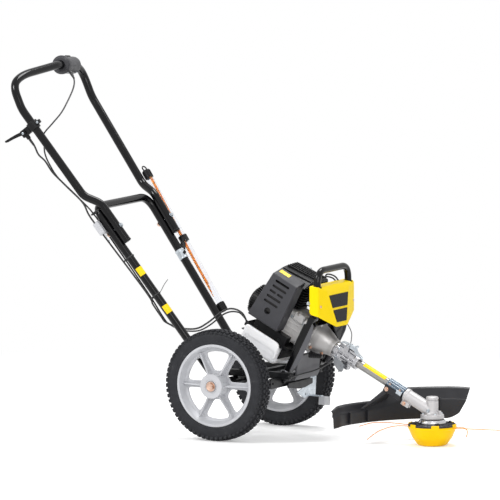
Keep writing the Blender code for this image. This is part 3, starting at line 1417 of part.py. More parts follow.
def guard(frame, shaft):
    """Moulded debris guard: curved wall with a flared rim, ribs and a seat under the tube."""
    first = math.atan2(-0.186 - GUARD_CENTRE[1], 0.396 - GUARD_CENTRE[0])
    last = math.atan2(0.186 - GUARD_CENTRE[1], 0.614 - GUARD_CENTRE[0])
    first += 2 * math.pi if first < 0 else 0.0
    steps = 14
    sections = []
    for i in range(steps + 1):
        share = 1 - i / steps
        sections.append(guard_section(last + (first - last) * i / steps, share))
    wall = loft("guard", frame, sections)
    for i, place in enumerate((0.12, 0.30, 0.66, 0.84)):
        angle = last + (first - last) * place
        centre = (GUARD_CENTRE[0] + (GUARD_RADIUS - 0.003) * math.cos(angle),
                  GUARD_CENTRE[1] + (GUARD_RADIUS - 0.003) * math.sin(angle), 0)
        rib = block("guard_rib_" + str(i), frame, (-0.004, -0.002, 0.0), (0.008, 0.002, 0.062))
        rib.location = (centre[0], centre[1], GUARD_LOW_Z + 0.031 + 0.002)
        rib.rotation_euler = (0, 0, angle)
        fuse(wall, rib)
    right_x, left_x = guard_x(-0.060, -0.0086), guard_x(0.060, 0.0307)
    low = [(right_x, -0.060, 0.108), (left_x, 0.060, 0.128), (left_x + 0.004, 0.060, 0.126),
           (right_x + 0.004, -0.060, 0.106)]
    seat_low = engine_point(0.110, 0, -0.020)
    seat_high = engine_point(0.120, 0, -0.018)
    high = [(seat_low.x, -0.023, seat_low.z), (seat_low.x, 0.023, seat_low.z),
            (seat_high.x, 0.023, seat_high.z - 0.006), (seat_high.x, -0.023, seat_high.z - 0.006)]
    fuse(wall, loft("guard_apron", frame, [low, high]))
    seat = block("guard_seat", shaft, (0.108, -0.023, -0.0230), (0.170, 0.023, -GAP))
    fuse(wall, seat)
    cut(wall, rod("guard_bore", shaft, (0, 0, 0), (0.3, 0, 0), DRIVE_TUBE_RADIUS + GAP, sides=20))
    return finish(wall, "satin_black", smooth=False)


# Gear head and cutting head


def gear_head(frame, shaft):
    """Cast gear case: vertical gearbox, sleeve over the drive tube and bottom flange."""
    top = GEARBOX_TOP_Z
    case = turned("gear_head", frame, [
        (0.0, top), (0.0135, top), (GEARBOX_RADIUS, top - 0.004), (GEARBOX_RADIUS, 0.100), (0.022, 0.095),
        (0.035, 0.094), (0.035, 0.0805), (0.0, 0.0805)], (HEAD_X, 0, 0), steps=20)
    sleeve = rod("tube_sleeve", shaft, (SLEEVE_START, 0, 0), (0.268, 0, 0), 0.0185, 0.0205, 20)
    lug_low = (SLEEVE_START, -0.008, -0.033)
    lug = block("sleeve_lug", shaft, lug_low, (SLEEVE_START + 0.030, 0.008, -0.010), 0.003)
    fuse(case, sleeve, lug)
    depth = SLEEVE_START + SLEEVE_DEPTH
    socket = rod("sleeve_socket", shaft, (0.1, 0, 0), (depth, 0, 0), DRIVE_TUBE_RADIUS + GAP, sides=20)
    bore = rod("sleeve_bore", shaft, (0.1, 0, 0), (SLEEVE_START + SLEEVE_DEPTH + 0.020, 0, 0),
               DRIVE_SHAFT_RADIUS + SLIDE, sides=12)
    out = rod("output_bore", frame, (HEAD_X, 0, 0.05), (HEAD_X, 0, 0.0925), 0.0066, sides=16)
    cut(case, socket, bore, out)
    return finish(case, "aluminium")


def head_axis(frame):
    """Empty on the cutting head's spin axis."""
    return empty("head_axis", (HEAD_X, 0, 0), (0, 0, 0), frame)


def head_collar(axis):
    """Steel collar with the stub of the output shaft."""
    collar = turned("head_collar", axis, [
        (0.0, 0.091), (0.006, 0.091), (0.006, 0.0795), (0.030, 0.0795), (0.038, 0.0770),
        (COLLAR_RADIUS, 0.0690), (COLLAR_RADIUS, 0.0665), (0.0, 0.0665)], steps=20)
    return finish(collar, "steel")


def head_disc(axis):
    """Black disc between the collar and the bowl, with four screw bosses."""
    low = HEAD_TOP_Z + 2 * GAP
    disc = turned("head_disc", axis, [
        (0.0, 0.0662), (HEAD_RADIUS - 0.004, 0.0662), (HEAD_RADIUS, 0.0635), (HEAD_RADIUS, low),
        (0.0, low)], steps=24)
    for i in range(4):
        angle = math.pi / 4 + i * math.pi / 2
        x, y = 0.056 * math.cos(angle), 0.056 * math.sin(angle)
        fuse(disc, rod("disc_boss_" + str(i), axis, (x, y, 0.063), (x, y, 0.0705), 0.0055, sides=8))
    return finish(disc, "satin_black")


def head_bowl(axis):
    """Yellow bowl that rides on the ground, hollow, with four line exits in its rim."""
    wall = HEAD_WALL
    bowl = turned("head_bowl", axis, [
        (0.0, 0.0), (HEAD_FLOOR_RADIUS - 0.004, 0.0), (HEAD_FLOOR_RADIUS, 0.002), (0.060, 0.0240),
        (0.0715, 0.0510), (HEAD_RADIUS, 0.0530), (HEAD_RADIUS, HEAD_TOP_Z), (HEAD_RADIUS - wall, HEAD_TOP_Z),
        (HEAD_RADIUS - wall - 0.002, 0.0530), (0.060 - wall, 0.0250), (HEAD_FLOOR_RADIUS - 0.004, 0.004),
        (0.0, 0.004)], steps=20)
    for i, angle in enumerate(line_angles()):
        mouth = rod("line_mouth_" + str(i), axis, (0, 0, 0.0560), (0.09, 0, 0.0560), 0.0035, sides=8)
        mouth.location = (0.045 * math.cos(angle), 0.045 * math.sin(angle), 0.0560)
        mouth.rotation_euler = (0, math.pi / 2, angle)
        cut(bowl, mouth)
    return finish(bowl, "yellow")


def line_angles():
    """Directions in which the four trimmer lines leave the head."""
    return [math.radians(a) for a in (176, 196, -4, 16)]


def trimmer_line(axis):
    """Wound core ring in the bowl with the four free line ends that show."""
    core = turned("trimmer_line", axis, [
        (0.020, 0.0535), (0.036, 0.0535), (0.036, 0.0585), (0.020, 0.0585)][::-1], steps=20, closed=True)
    shapes = (
        ((0.075, 0.0, 0.0560), (0.150, -0.010, 0.0565), (0.225, -0.026, 0.0500), (0.286, -0.046, 0.0330)),
        ((0.075, 0.0, 0.0560), (0.120, 0.000, 0.0540), (0.165, 0.004, 0.0380), (0.200, 0.008, 0.0120)),
        ((0.075, 0.0, 0.0560), (0.140, 0.010, 0.0570), (0.200, 0.022, 0.0572), (0.262, 0.038, 0.0575)),
        ((0.075, 0.0, 0.0560), (0.098, -0.006, 0.0560), (0.112, -0.020, 0.0480), (0.112, -0.034, 0.0320)),
    )
    for i, (angle, shape) in enumerate(zip(line_angles(), shapes)):
        points = softened([(0.030, 0.0, 0.0560)] + list(shape), 0.022, 1)
        strand = as_mesh(pipe("line_end_" + str(i), axis, points, LINE_RADIUS, 1))
        strand.rotation_euler = (0, 0, angle)
        fuse(core, strand)
    return finish(core, "orange")


def centre_on_ground(frame):
    """Move the whole machine so that its bounding box is centred over the origin."""
    bpy.context.view_layer.update()
    depsgraph = bpy.context.evaluated_depsgraph_get()
    low = Vector((1e9, 1e9, 1e9))
    high = -low
    for obj in bpy.data.collections[PARTS].objects:
        if obj.type not in ("MESH", "CURVE"):
            continue
        shown = obj.evaluated_get(depsgraph)
        for vert in shown.data.vertices:
            place = shown.matrix_world @ vert.co
            low = Vector(map(min, low, place))
            high = Vector(map(max, high, place))
    middle = (low + high) / 2
    frame.location = (-middle.x, -middle.y, -low.z)


def main():
    """Build every piece of the machine."""
    clear_scene()
    frame = empty("machine_origin", (0, 0, 0))
    shaft = empty("shaft_axis", (COUPLING_X, 0, COUPLING_Z), (0, SHAFT_PITCH, 0), frame)
    lower_frame(frame)
    upper_handle(frame)
    handle_bolts(frame)
    control_housing(frame)
    stop_cable(frame)
    throttle_cable(frame)
    cable_clip(frame)
    throttle_control(frame)
    spare_line_holder(frame)
    wheel(frame, -1, "right")
    wheel(frame, 1, "left")
    axle(frame)
    engine_bed(frame)
    undershield(frame)
    tyre_scraper(frame)
    engine_hoop(frame, shaft)
    front_shield(frame)
    engine_plate(shaft)
    crankcase(shaft)
    cylinder(shaft)
    spark_plug_cap(shaft)
    muffler(shaft)
    muffler_cover(shaft)
    top_cover(shaft)
    recoil_housing(shaft)
    starter_handle(shaft)
    tank_bracket(shaft)
    fuel_tank(shaft)
    fuel_cap(shaft)
    carburettor(shaft)
    air_filter_cover(shaft)
    choke_lever(shaft)
    primer_bulb(shaft)
    clutch_bell(shaft)
    coupling_body(shaft)
    coupling_lever(shaft)
    coupling_latch(shaft)
    drive_tube(shaft)
    drive_shaft(shaft)
    guard_clamp(shaft)
    guard(frame, shaft)
    gear_head(frame, shaft)
    spin = head_axis(frame)
    head_collar(spin)
    head_disc(spin)
    head_bowl(spin)
    trimmer_line(spin)
    centre_on_ground(frame)


if __name__ == "__main__":
    main()
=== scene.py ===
"""Looks of a two wheeled petrol string trimmer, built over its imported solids.

Sizes are metres in the machine's own frame: +X forward to the line head, +Y to the
machine's left, +Z up, with the ground at Z 0.
"""

import logging
import math
from dataclasses import dataclass, field
from enum import Enum
from typing import Callable, Iterable, Sequence

import bmesh
import bpy
from mathutils import Matrix, Vector


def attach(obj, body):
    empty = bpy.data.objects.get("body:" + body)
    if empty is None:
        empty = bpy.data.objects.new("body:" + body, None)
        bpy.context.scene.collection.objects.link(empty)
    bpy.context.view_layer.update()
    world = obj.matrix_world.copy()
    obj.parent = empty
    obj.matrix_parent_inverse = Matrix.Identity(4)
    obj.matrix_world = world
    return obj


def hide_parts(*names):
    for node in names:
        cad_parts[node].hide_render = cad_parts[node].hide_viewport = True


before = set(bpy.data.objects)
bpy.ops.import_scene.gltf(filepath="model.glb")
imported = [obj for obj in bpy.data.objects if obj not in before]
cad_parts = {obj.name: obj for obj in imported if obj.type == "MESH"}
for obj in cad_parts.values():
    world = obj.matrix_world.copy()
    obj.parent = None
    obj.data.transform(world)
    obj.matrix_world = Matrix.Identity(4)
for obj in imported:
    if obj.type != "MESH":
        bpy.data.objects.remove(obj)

log = logging.getLogger("string_trimmer")
Point = Sequence[float]
Outline = list[tuple[float, float]]
Mesh = bmesh.types.BMesh
Tree = bpy.types.NodeTree
Socket = bpy.types.NodeSocket

# Where the solids were moved to stand centred over the origin
SHIFT = Vector((-0.07872, 0.0, 0.0))
# The powertrain's own axes, with X down the drive tube
SHAFT_PITCH = math.radians(27.5)
SHAFT_PLACE = Vector((0.3776, 0.0, 0.2298))
SHAFT_AXES = Matrix.Translation(SHAFT_PLACE) @ Matrix.Rotation(SHAFT_PITCH, 4, "Y")
# The plane of the handle's legs
HANDLE_PITCH = math.radians(52.75)
PLANE_NORMAL = Vector((math.sin(HANDLE_PITCH), 0.0, math.cos(HANDLE_PITCH)))
GRIP_MIDDLE = Vector((-0.667, 0.0, 1.095))
AXLE_HEIGHT = 0.17
# Places along X: a leg's start and bend, the handle's start above the laps, and the throttle
LEG_START_X = -0.0575
LEG_END_X = -0.449
HANDLE_START_X = -0.475
THROTTLE_X = -0.6345
# How far the handle's ends lie in front of the legs, and the throttle's pin behind its tube
LAP_OFF = 0.0253
PIN_OFF = 0.0375
STILL = Matrix.Identity(4)
# Turns X and Y of a flat outline into the machine's Y and Z
UPRIGHT = Matrix.Rotation(math.pi / 2, 4, "Z") @ Matrix.Rotation(math.pi / 2, 4, "X")


class Body(str, Enum):
    """Bodies of the machine that pieces ride on."""

    MACHINE = "machine"
    RIGHT_WHEEL = "right_wheel"
    LEFT_WHEEL = "left_wheel"
    HEAD = "cutting_head"
    THROTTLE = "throttle_lever"
    SWITCH = "stop_switch"
    CHOKE = "choke_lever"
    FUEL_CAP = "fuel_cap"
    COUPLING_LEVER = "coupling_lever"
    COUPLING_LATCH = "coupling_latch"
    TUBE_CAP = "tube_top_cap"
    PRIMER = "primer_bulb"


class Side(Enum):
    """The machine's right and left, as signs along Y."""

    RIGHT = -1
    LEFT = 1

    @property
    def word(self) -> str:
        """Name of the side as it stands in the nodes' names."""
        return "right" if self is Side.RIGHT else "left"


# Colour and nodes


def linear(code: str) -> tuple[float, float, float, float]:
    """Turn an sRGB hex value into linear colour.

    Args:
        code: six hex digits after a hash sign.

    Returns:
        Red, green, blue and alpha in linear light.
    """
    parts = [int(code[i:i + 2], 16) / 255 for i in (1, 3, 5)]
    red, green, blue = [p / 12.92 if p <= 0.04045 else ((p + 0.055) / 1.055) ** 2.4 for p in parts]
    return red, green, blue, 1.0


def add_node(tree: Tree, kind: str, settings: dict | None = None,
             links: dict | None = None) -> bpy.types.Node:
    """Add one shader node.

    Args:
        tree: node tree that takes the node.
        kind: Blender's type name of the node.
        settings: attribute names or input names with their values.
        links: input names with the output sockets that feed them.

    Returns:
        The new node.
    """
    node = tree.nodes.new(kind)
    for name, value in (settings or {}).items():
        if isinstance(name, str) and hasattr(node, name):
            setattr(node, name, value)
        else:
            node.inputs[name].default_value = value
    for name, output in (links or {}).items():
        tree.links.new(output, node.inputs[name])
    return node


def ramp(tree: Tree, output: Socket, stops: Sequence[tuple[float, Point]]) -> bpy.types.Node:
    """Add a colour ramp between the given stops.

    Args:
        tree: node tree that takes the ramp.
        output: socket that drives it.
        stops: positions with their linear colours.

    Returns:
        The ramp node.
    """
    node = add_node(tree, "ShaderNodeValToRGB", links={"Fac": output})
    elements = node.color_ramp.elements
    elements[0].position, elements[0].color = stops[0]
    elements[1].position, elements[1].color = stops[-1]
    for place, colour in stops[1:-1]:
        elements.new(place).color = colour
    return node


def shade(colour: Point, factor: float) -> tuple[float, float, float, float]:
    """Linear colour made lighter or darker by a factor, kept within range."""
    red, green, blue = [min(1.0, c * factor) for c in colour[:3]]
    return red, green, blue, 1.0


@dataclass(frozen=True)
class Finish:
    """A surface made in one way, with its mottling and fine grain.

    The mottling is the slow drift of colour and gloss over a moulding or casting. The grain is
    the fine texture that the process leaves: spark eroded mould grain, sand, or orange peel.
    """

    name: str
    tint: str
    slot: str
    metallic: float = 0.0
    roughness: float = 0.5
    ior: float = 1.5
    mottle_mm: float = 40.0
    mottle: float = 0.1
    grain_mm: float = 1.2
    grain_depth_mm: float = 0.02
    roughness_drift: float = 0.06
    specular: float = 0.5

    def base(self, tree: Tree, place: Socket) -> Socket:
        """Colour of the surface: the tint with its slow mottling.

        Args:
            tree: node tree that takes the nodes.
            place: socket with the surface place in metres.

        Returns:
            The colour socket.
        """
        drift = add_node(tree, "ShaderNodeTexNoise", {"Scale": 1000 / self.mottle_mm, "Detail": 4.0},
                         {"Vector": place})
        tint = linear(self.tint)
        stops = ((0.3, shade(tint, 1 - self.mottle)), (0.7, shade(tint, 1 + self.mottle)))
        return ramp(tree, drift.outputs["Fac"], stops).outputs["Color"]

    def relief(self, tree: Tree, place: Socket) -> Socket:
        """Height of the fine grain.

        Args:
            tree: node tree that takes the nodes.
            place: socket with the surface place in metres.

        Returns:
            A height socket from 0 to 1.
        """
        grain = add_node(tree, "ShaderNodeTexNoise", {"Scale": 1000 / self.grain_mm, "Detail": 3.0},
                         {"Vector": place})
        return grain.outputs["Fac"]

    def dress(self, shader: bpy.types.Node, tree: Tree, place: Socket) -> None:
        """Settings that only some finishes have; the plain finish has none."""

    def material(self) -> bpy.types.Material:
        """Build the finish once and hand out the same material after that."""
        found = bpy.data.materials.get(self.name)
        if found:
            return found
        made = bpy.data.materials.new(self.name)
        made.use_nodes = True
        tree = made.node_tree
        shader = tree.nodes["Principled BSDF"]
        place = add_node(tree, "ShaderNodeTexCoord").outputs["Object"]
        tree.links.new(self.base(tree, place), shader.inputs["Base Color"])
        drift = add_node(tree, "ShaderNodeTexNoise", {"Scale": 1700 / self.mottle_mm, "Detail": 5.0},
                         {"Vector": place})
        low = max(0.02, self.roughness - self.roughness_drift)
        high = min(1.0, self.roughness + self.roughness_drift)
        spread = add_node(tree, "ShaderNodeMapRange",
                          {"From Min": 0.3, "From Max": 0.7, "To Min": low, "To Max": high},
                          {"Value": drift.outputs["Fac"]})
        tree.links.new(spread.outputs["Result"], shader.inputs["Roughness"])
        bump = add_node(tree, "ShaderNodeBump", {"Strength": 1.0, "Distance": self.grain_depth_mm / 1000},
                        {"Height": self.relief(tree, place)})
        tree.links.new(bump.outputs["Normal"], shader.inputs["Normal"])
        shader.inputs["Metallic"].default_value = self.metallic
        if not self.metallic:
            shader.inputs["IOR"].default_value = self.ior
        shader.inputs["Specular IOR Level"].default_value = self.specular
        self.dress(shader, tree, place)
        return made


@dataclass(frozen=True)
class TurnedMetal(Finish):
    """Metal with fine lines round its own axis, as a drawn or turned tube has."""

    axis: tuple[float, float, float] = (0.0, SHAFT_PITCH, 0.0)
    line_mm: float = 0.9

    def relief(self, tree: Tree, place: Socket) -> Socket:
        """Height of the turning lines, drawn coarser than they are so that they show."""
        turned = add_node(tree, "ShaderNodeMapping", {"vector_type": "TEXTURE"}, {"Vector": place})
        turned.inputs["Rotation"].default_value = self.axis
        stretched = add_node(tree, "ShaderNodeMapping", links={"Vector": turned.outputs["Vector"]})
        across = 1000 / self.line_mm
        stretched.inputs["Scale"].default_value = (across, across * 0.02, across * 0.02)
        lines = add_node(tree, "ShaderNodeTexNoise", {"Scale": 1.0, "Detail": 2.0},
                         {"Vector": stretched.outputs["Vector"]})
        return lines.outputs["Fac"]


@dataclass(frozen=True)
class CastMetal(Finish):
    """Die cast metal: pebbled skin with shallow flow marks."""

    pebble_mm: float = 1.6

    def relief(self, tree: Tree, place: Socket) -> Socket:
        """Height of the pebbled skin over broader flow marks."""
        cells = add_node(tree, "ShaderNodeTexVoronoi", {"Scale": 1000 / self.pebble_mm}, {"Vector": place})
        flow = add_node(tree, "ShaderNodeTexNoise", {"Scale": 120.0, "Detail": 4.0}, {"Vector": place})
        return add_node(tree, "ShaderNodeMath", {"operation": "MULTIPLY_ADD", 1: 0.5}, {
            0: cells.outputs["Distance"], 2: flow.outputs["Fac"]}).outputs["Value"]


@dataclass(frozen=True)
class TyreRubber(Finish):
    """Moulded tread rubber with patches of grey dust."""

    dust: str = "#5a5854"

    def base(self, tree: Tree, place: Socket) -> Socket:
        """Near black rubber with a faint grey bloom."""
        bloom = add_node(tree, "ShaderNodeTexNoise", {"Scale": 60.0, "Detail": 6.0, "Roughness": 0.7},
                         {"Vector": place})
        tint = linear(self.tint)
        stops = ((0.35, shade(tint, 0.8)), (0.62, shade(tint, 1.25)), (0.92, linear(self.dust)))
        return ramp(tree, bloom.outputs["Fac"], stops).outputs["Color"]


@dataclass(frozen=True)
class SeeThrough(Finish):
    """Clear moulding: light passes it, and its edges stay bright."""

    transmission: float = 1.0

    def dress(self, shader: bpy.types.Node, tree: Tree, place: Socket) -> None:
        """Let light through the shader."""
        shader.inputs["Transmission Weight"].default_value = self.transmission


@dataclass(frozen=True)
class MilkyShell(Finish):
    """Blow moulded polyethylene: light scatters a few millimetres under its skin."""

    depth_mm: float = 6.0
    scatter: float = 0.35

    def dress(self, shader: bpy.types.Node, tree: Tree, place: Socket) -> None:
        """Set the scattering under the skin."""
        shader.inputs["Subsurface Weight"].default_value = self.scatter
        shader.inputs["Subsurface Radius"].default_value = (1.0, 0.95, 0.9)
        shader.inputs["Subsurface Scale"].default_value = self.depth_mm / 1000


# Powder coat over drawn steel tube: deep black with a faint orange peel and thin glints
GLOSS_BLACK = Finish("gloss_black_powder_coat", "#08080a", "gloss_black_steel", roughness=0.15,
                     specular=0.27, mottle=0.15, grain_mm=2.2, grain_depth_mm=0.015,
                     roughness_drift=0.04)
# Satin paint on welded plate: black, slightly uneven, dull highlights
SATIN_BLACK = Finish("satin_black_paint", "#0d0e10", "satin_black_steel", roughness=0.38, specular=0.28,
                     grain_mm=1.6, grain_depth_mm=0.03, mottle=0.18, roughness_drift=0.08)
# Enamelled steel sheet: clean satin lemon yellow
YELLOW_ENAMEL = Finish("yellow_enamel", "#f9d802", "yellow_paint", roughness=0.34, mottle=0.01,
                       specular=0.12, grain_mm=3.0, grain_depth_mm=0.01, roughness_drift=0.03)
# Injection moulded nylon of the bowl: the same yellow, softer gloss
YELLOW_NYLON = Finish("yellow_nylon", "#fbcb02", "yellow_plastic", roughness=0.38, mottle=0.02,
                      specular=0.14, grain_mm=0.9, grain_depth_mm=0.012)
# Glass filled nylon of covers: near black with the fine grain of a spark eroded mould
BLACK_NYLON = Finish("black_glass_filled_nylon", "#0b0b0d", "black_plastic", roughness=0.4,
                     specular=0.26, mottle=0.14, grain_mm=0.8, grain_depth_mm=0.03)
# The same nylon on the control housing and the filter cover, a shade greyer
CHARCOAL_NYLON = Finish("charcoal_glass_filled_nylon", "#2e2e32", "dark_grey_plastic", roughness=0.42,
                        specular=0.38, mottle=0.1, grain_mm=0.9, grain_depth_mm=0.035)
# Moulded polypropylene of the guard: black, waxy, fine leather grain
BLACK_POLYPROPYLENE = Finish("black_polypropylene", "#1e1e22", "black_plastic", roughness=0.38,
                             specular=0.36, mottle=0.12, grain_mm=1.0, grain_depth_mm=0.04)
# Moulded polypropylene of the rims: pale grey, satin
GREY_POLYPROPYLENE = Finish("grey_polypropylene", "#bdbec2", "grey_plastic", roughness=0.4, mottle=0.05,
                            grain_mm=1.0, grain_depth_mm=0.015)
# Rubber of tyres: deep grey black, matt
TYRE = TyreRubber("tread_rubber", "#1d1e22", "tyre_rubber", roughness=0.7, grain_mm=1.0,
                  grain_depth_mm=0.08, specular=0.35)
# Extruded PVC sheath of wires and cables: black with a soft sheen
CABLE_SHEATH = Finish("pvc_cable_sheath", "#151517", "cable_rubber", roughness=0.45, grain_mm=1.5,
                      grain_depth_mm=0.01)
# Die cast aluminium: pale grey, pebbled
CAST_ALUMINIUM = CastMetal("die_cast_aluminium", "#a9a7a6", "cast_aluminium", metallic=0.6,
                           roughness=0.46, mottle=0.08, grain_depth_mm=0.06, roughness_drift=0.08)
# The crankcase casting, with slow blotches; its colour is made paler as painted light that offsets the
# shade the covers cast on it
LIT_CASE_ALUMINIUM = CastMetal("crankcase_casting", "#dedcdb", "cast_aluminium", metallic=0.2,
                           roughness=0.5, mottle=0.14, grain_depth_mm=0.08, roughness_drift=0.08)
# Shot blasted casting of the gear case: nearly white, dry
PALE_ALUMINIUM = CastMetal("shot_blasted_casting", "#bcbabb", "cast_aluminium", metallic=0.55,
                           roughness=0.46, mottle=0.04, grain_depth_mm=0.05, roughness_drift=0.06)
# Grey zinc flake coating of the folded coupling lever
LEVER_GREY = Finish("zinc_flake_coating", "#8d9094", "zinc_steel", metallic=0.6, roughness=0.45,
                    mottle=0.08, grain_depth_mm=0.02)
# Tumbled casting of the coupling: bright, clean, with sharp lights in its pockets
BRIGHT_CASTING = CastMetal("tumbled_casting", "#b4b4b7", "cast_aluminium", metallic=0.95, roughness=0.27,
                           mottle=0.1, grain_depth_mm=0.02, roughness_drift=0.1)
# Painted sheet of the undershield: mid charcoal, dry. On the strut webs the same grey is painted sheen,
# standing in for light on black steel
GREY_SHEET_AND_SHEEN = Finish("charcoal_sheet_and_painted_sheen", "#58585c", "dark_grey_plastic", roughness=0.5,
                    mottle=0.08, grain_mm=1.1, grain_depth_mm=0.02, specular=0.4)
# Heat proof paint of the silencer cover: a darker charcoal, dry
COVER_SHEET = Finish("charcoal_heat_proof_paint", "#3b3b3f", "dark_grey_plastic", roughness=0.52,
                     mottle=0.08, grain_mm=1.1, grain_depth_mm=0.02, specular=0.34)
# Guard clamp saddle: zinc plated steel made a darker blue grey as painted dark reflection between its
# bright beads
SHADED_CLAMP_ZINC = Finish("clamp_zinc_painted_dark_reflection", "#5f6d7c", "zinc_steel", metallic=0.9, roughness=0.32, mottle=0.14,
                     mottle_mm=10.0, grain_depth_mm=0.008)
# Black coated casting of the finned cylinder
BLACK_CASTING = CastMetal("black_coated_casting", "#1d1d1f", "black_cast_aluminium", metallic=0.3,
                          roughness=0.55, mottle=0.15, grain_depth_mm=0.06)
# Drawn and anodised aluminium tube: fine lines round its axis
DRAWN_ALUMINIUM = TurnedMetal("drawn_aluminium_tube", "#989694", "brushed_aluminium", metallic=0.9,
                              roughness=0.34, mottle=0.06, grain_depth_mm=0.01)
# Zinc plated steel: pale blue grey, bright, slightly cloudy
ZINC = Finish("zinc_plated_steel", "#b9c0c6", "zinc_steel", metallic=1.0, roughness=0.3, mottle=0.12,
              mottle_mm=12.0, grain_depth_mm=0.01, roughness_drift=0.1)
# Yellow passivated zinc on the large bolts: a copper and straw sheen
PASSIVATED = Finish("yellow_passivated_bolt", "#cdae9c", "copper_toned_bolt", metallic=1.0,
                    roughness=0.32, mottle=0.2, mottle_mm=9.0, grain_depth_mm=0.01,
                    roughness_drift=0.08)
# Bright ground steel of the axle, shaft and collar
BRIGHT_STEEL = Finish("ground_steel", "#c3c4c6", "bright_steel", metallic=1.0, roughness=0.24,
                      mottle=0.05, grain_depth_mm=0.006)
# Aluminised sheet of the silencer, made near black as painted shade for the dark inside of the cover behind
# its slots
SHADED_MUFFLER_STEEL = Finish("muffler_steel_painted_shade", "#1f1e1e", "bright_steel", metallic=0.4, roughness=0.6,
                       mottle=0.18, mottle_mm=18.0)
# Polyethylene of the tank: milky white
TANK_SHELL = MilkyShell("milky_polyethylene", "#f8f8fa", "white_plastic", roughness=0.36, mottle=0.02,
                        grain_mm=1.4, grain_depth_mm=0.02)
# Clear extruded tube for the spare line
CLEAR_TUBE = SeeThrough("clear_pvc_tube", "#fbfcff", "clear_plastic", roughness=0.1, mottle=0.01,
                        grain_depth_mm=0.004, roughness_drift=0.02, ior=1.45)
# Clear silicone of the primer bulb
CLEAR_BULB = SeeThrough("clear_silicone", "#f4f4f2", "clear_plastic", roughness=0.18, mottle=0.02,
                        grain_depth_mm=0.004, transmission=0.8)
# Nylon trimmer line: translucent orange
ORANGE_LINE = MilkyShell("orange_nylon_line", "#f39322", "orange_line", roughness=0.35, mottle=0.06,
                         grain_depth_mm=0.01, depth_mm=1.0, scatter=0.2)
# Plain yellow film, cut to shape: flat colour with a satin skin
PLAIN_STICKER = Finish("plain_yellow_film", "#f3d112", "yellow_plastic", roughness=0.34, specular=0.3,
                       mottle=0.03, grain_mm=4.0, grain_depth_mm=0.004)
# Polycarbonate plates on the shield: deep black, smooth and dim
BLACK_PLATE = Finish("black_polycarbonate_plate", "#08080a", "black_plastic", roughness=0.25,
                     specular=0.15, mottle=0.1, grain_mm=2.5, grain_depth_mm=0.006)


def paint(names: Sequence[str], finish: Finish) -> None:
    """Give solids of the frame their finish."""
    for name in names:
        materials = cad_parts[name].data.materials
        materials.clear()
        materials.append(finish.material())
        log.info("painted %s", name)


# Places


def facing(start: Point, direction: Point) -> Matrix:
    """Axes that stand at a point with Z along a direction."""
    turn = Vector(direction).to_track_quat("Z", "Y").to_matrix().to_4x4()
    return Matrix.Translation(Vector(start)) @ turn


def spun(degrees: float, axis: str) -> Matrix:
    """Turn by degrees round an axis through the origin."""
    return Matrix.Rotation(math.radians(degrees), 4, axis)


def leg_z(x: float) -> float:
    """Height of the handle plane at a distance along X."""
    return AXLE_HEIGHT + math.tan(HANDLE_PITCH) * (LEG_START_X - x)


def leg_point(x: float, side: Side, off: float = 0.0) -> Vector:
    """Place on a lower leg's centre line, moved off the handle plane if asked."""
    half = 0.113 + 0.142 * (LEG_START_X - x)
    return Vector((x, side.value * half, leg_z(x))) + PLANE_NORMAL * off


def upper_point(x: float, side: Side, off: float = 0.0) -> Vector:
    """Place on the upper handle's straight stretch."""
    half = 0.189 + (0.2215 - 0.189) * (HANDLE_START_X - x) / 0.197
    return Vector((x, side.value * half, leg_z(x))) + PLANE_NORMAL * off


def leg_down(side: Side) -> Vector:
    """Unit vector down a lower leg."""
    return (leg_point(LEG_START_X, side) - leg_point(LEG_END_X, side)).normalized()


def tube_axes(place: Vector, along: Vector) -> Matrix:
    """Axes on a tube of the handle: Z along it, Y out of the handle plane."""
    across = PLANE_NORMAL.cross(along).normalized()
    turn = Matrix((across, along.cross(across), along)).transposed().to_4x4()
    return Matrix.Translation(place) @ turn


def leg_axes(x: float, side: Side) -> Matrix:
    """Axes on a lower leg: Z down the tube, Y out of the handle plane."""
    return tube_axes(leg_point(x, side), leg_down(side))


def shaft_point(x: float, y: float, z: float) -> Vector:
    """Place in the powertrain's axes, given from the ground under the axle."""
    return SHAFT_AXES @ Vector((x, y, z))


# Meshes


def rounded(points: Sequence[Point], radius: float | Sequence[float], steps: int = 5,
            closed: bool = False) -> list[Vector]:
    """Round the corners of a path or an outline.

    Args:
        points: corners in two or three dimensions.
        radius: one radius, or one for each corner that is rounded.
        steps: short edges in each corner.
        closed: whether the last point joins the first.

    Returns:
        The points with their corners rounded.
    """
    spots = [Vector(p) for p in points]
    corners = range(len(spots)) if closed else range(1, len(spots) - 1)
    radii = list(radius) if isinstance(radius, (list, tuple)) else [radius] * len(corners)
    path = [] if closed else [spots[0]]
    for index, bend in zip(corners, radii):
        before, corner, after = spots[index - 1], spots[index], spots[(index + 1) % len(spots)]
        enter = corner + (before - corner).normalized() * min(bend, 0.48 * (before - corner).length)
        leave = corner + (after - corner).normalized() * min(bend, 0.48 * (after - corner).length)
        for step in range(steps + 1):
            t = step / steps
            path.append(enter * (1 - t) ** 2 + corner * 2 * t * (1 - t) + leave * t ** 2)
    return path if closed else path + [spots[-1]]


def mm(rows: Iterable[Point]) -> list[tuple[float, ...]]:
    """Turn rows of millimetres into metres."""
    return [tuple(value / 1000 for value in row) for row in rows]


def flowing(points: Sequence[Point], steps: int = 6) -> list[Vector]:
    """Smooth curve through every point of a cable's route."""
    spots = [Vector(p) for p in points]
    spots = [2 * spots[0] - spots[1]] + spots + [2 * spots[-1] - spots[-2]]
    path = []
    for a, b, c, d in zip(spots, spots[1:], spots[2:], spots[3:]):
        for step in range(steps):
            t = step / steps
            path.append(0.5 * (2 * b + (c - a) * t + (2 * a - 5 * b + 4 * c - d) * t * t
                               + (3 * b - a - 3 * c + d) * t ** 3))
    return path + [spots[-2]]


def circle(radius: float, count: int = 96, middle: Point = (0.0, 0.0)) -> Outline:
    """Points round a circle in its plane."""
    turns = [math.tau * i / count for i in range(count)]
    return [(middle[0] + radius * math.cos(a), middle[1] + radius * math.sin(a)) for a in turns]


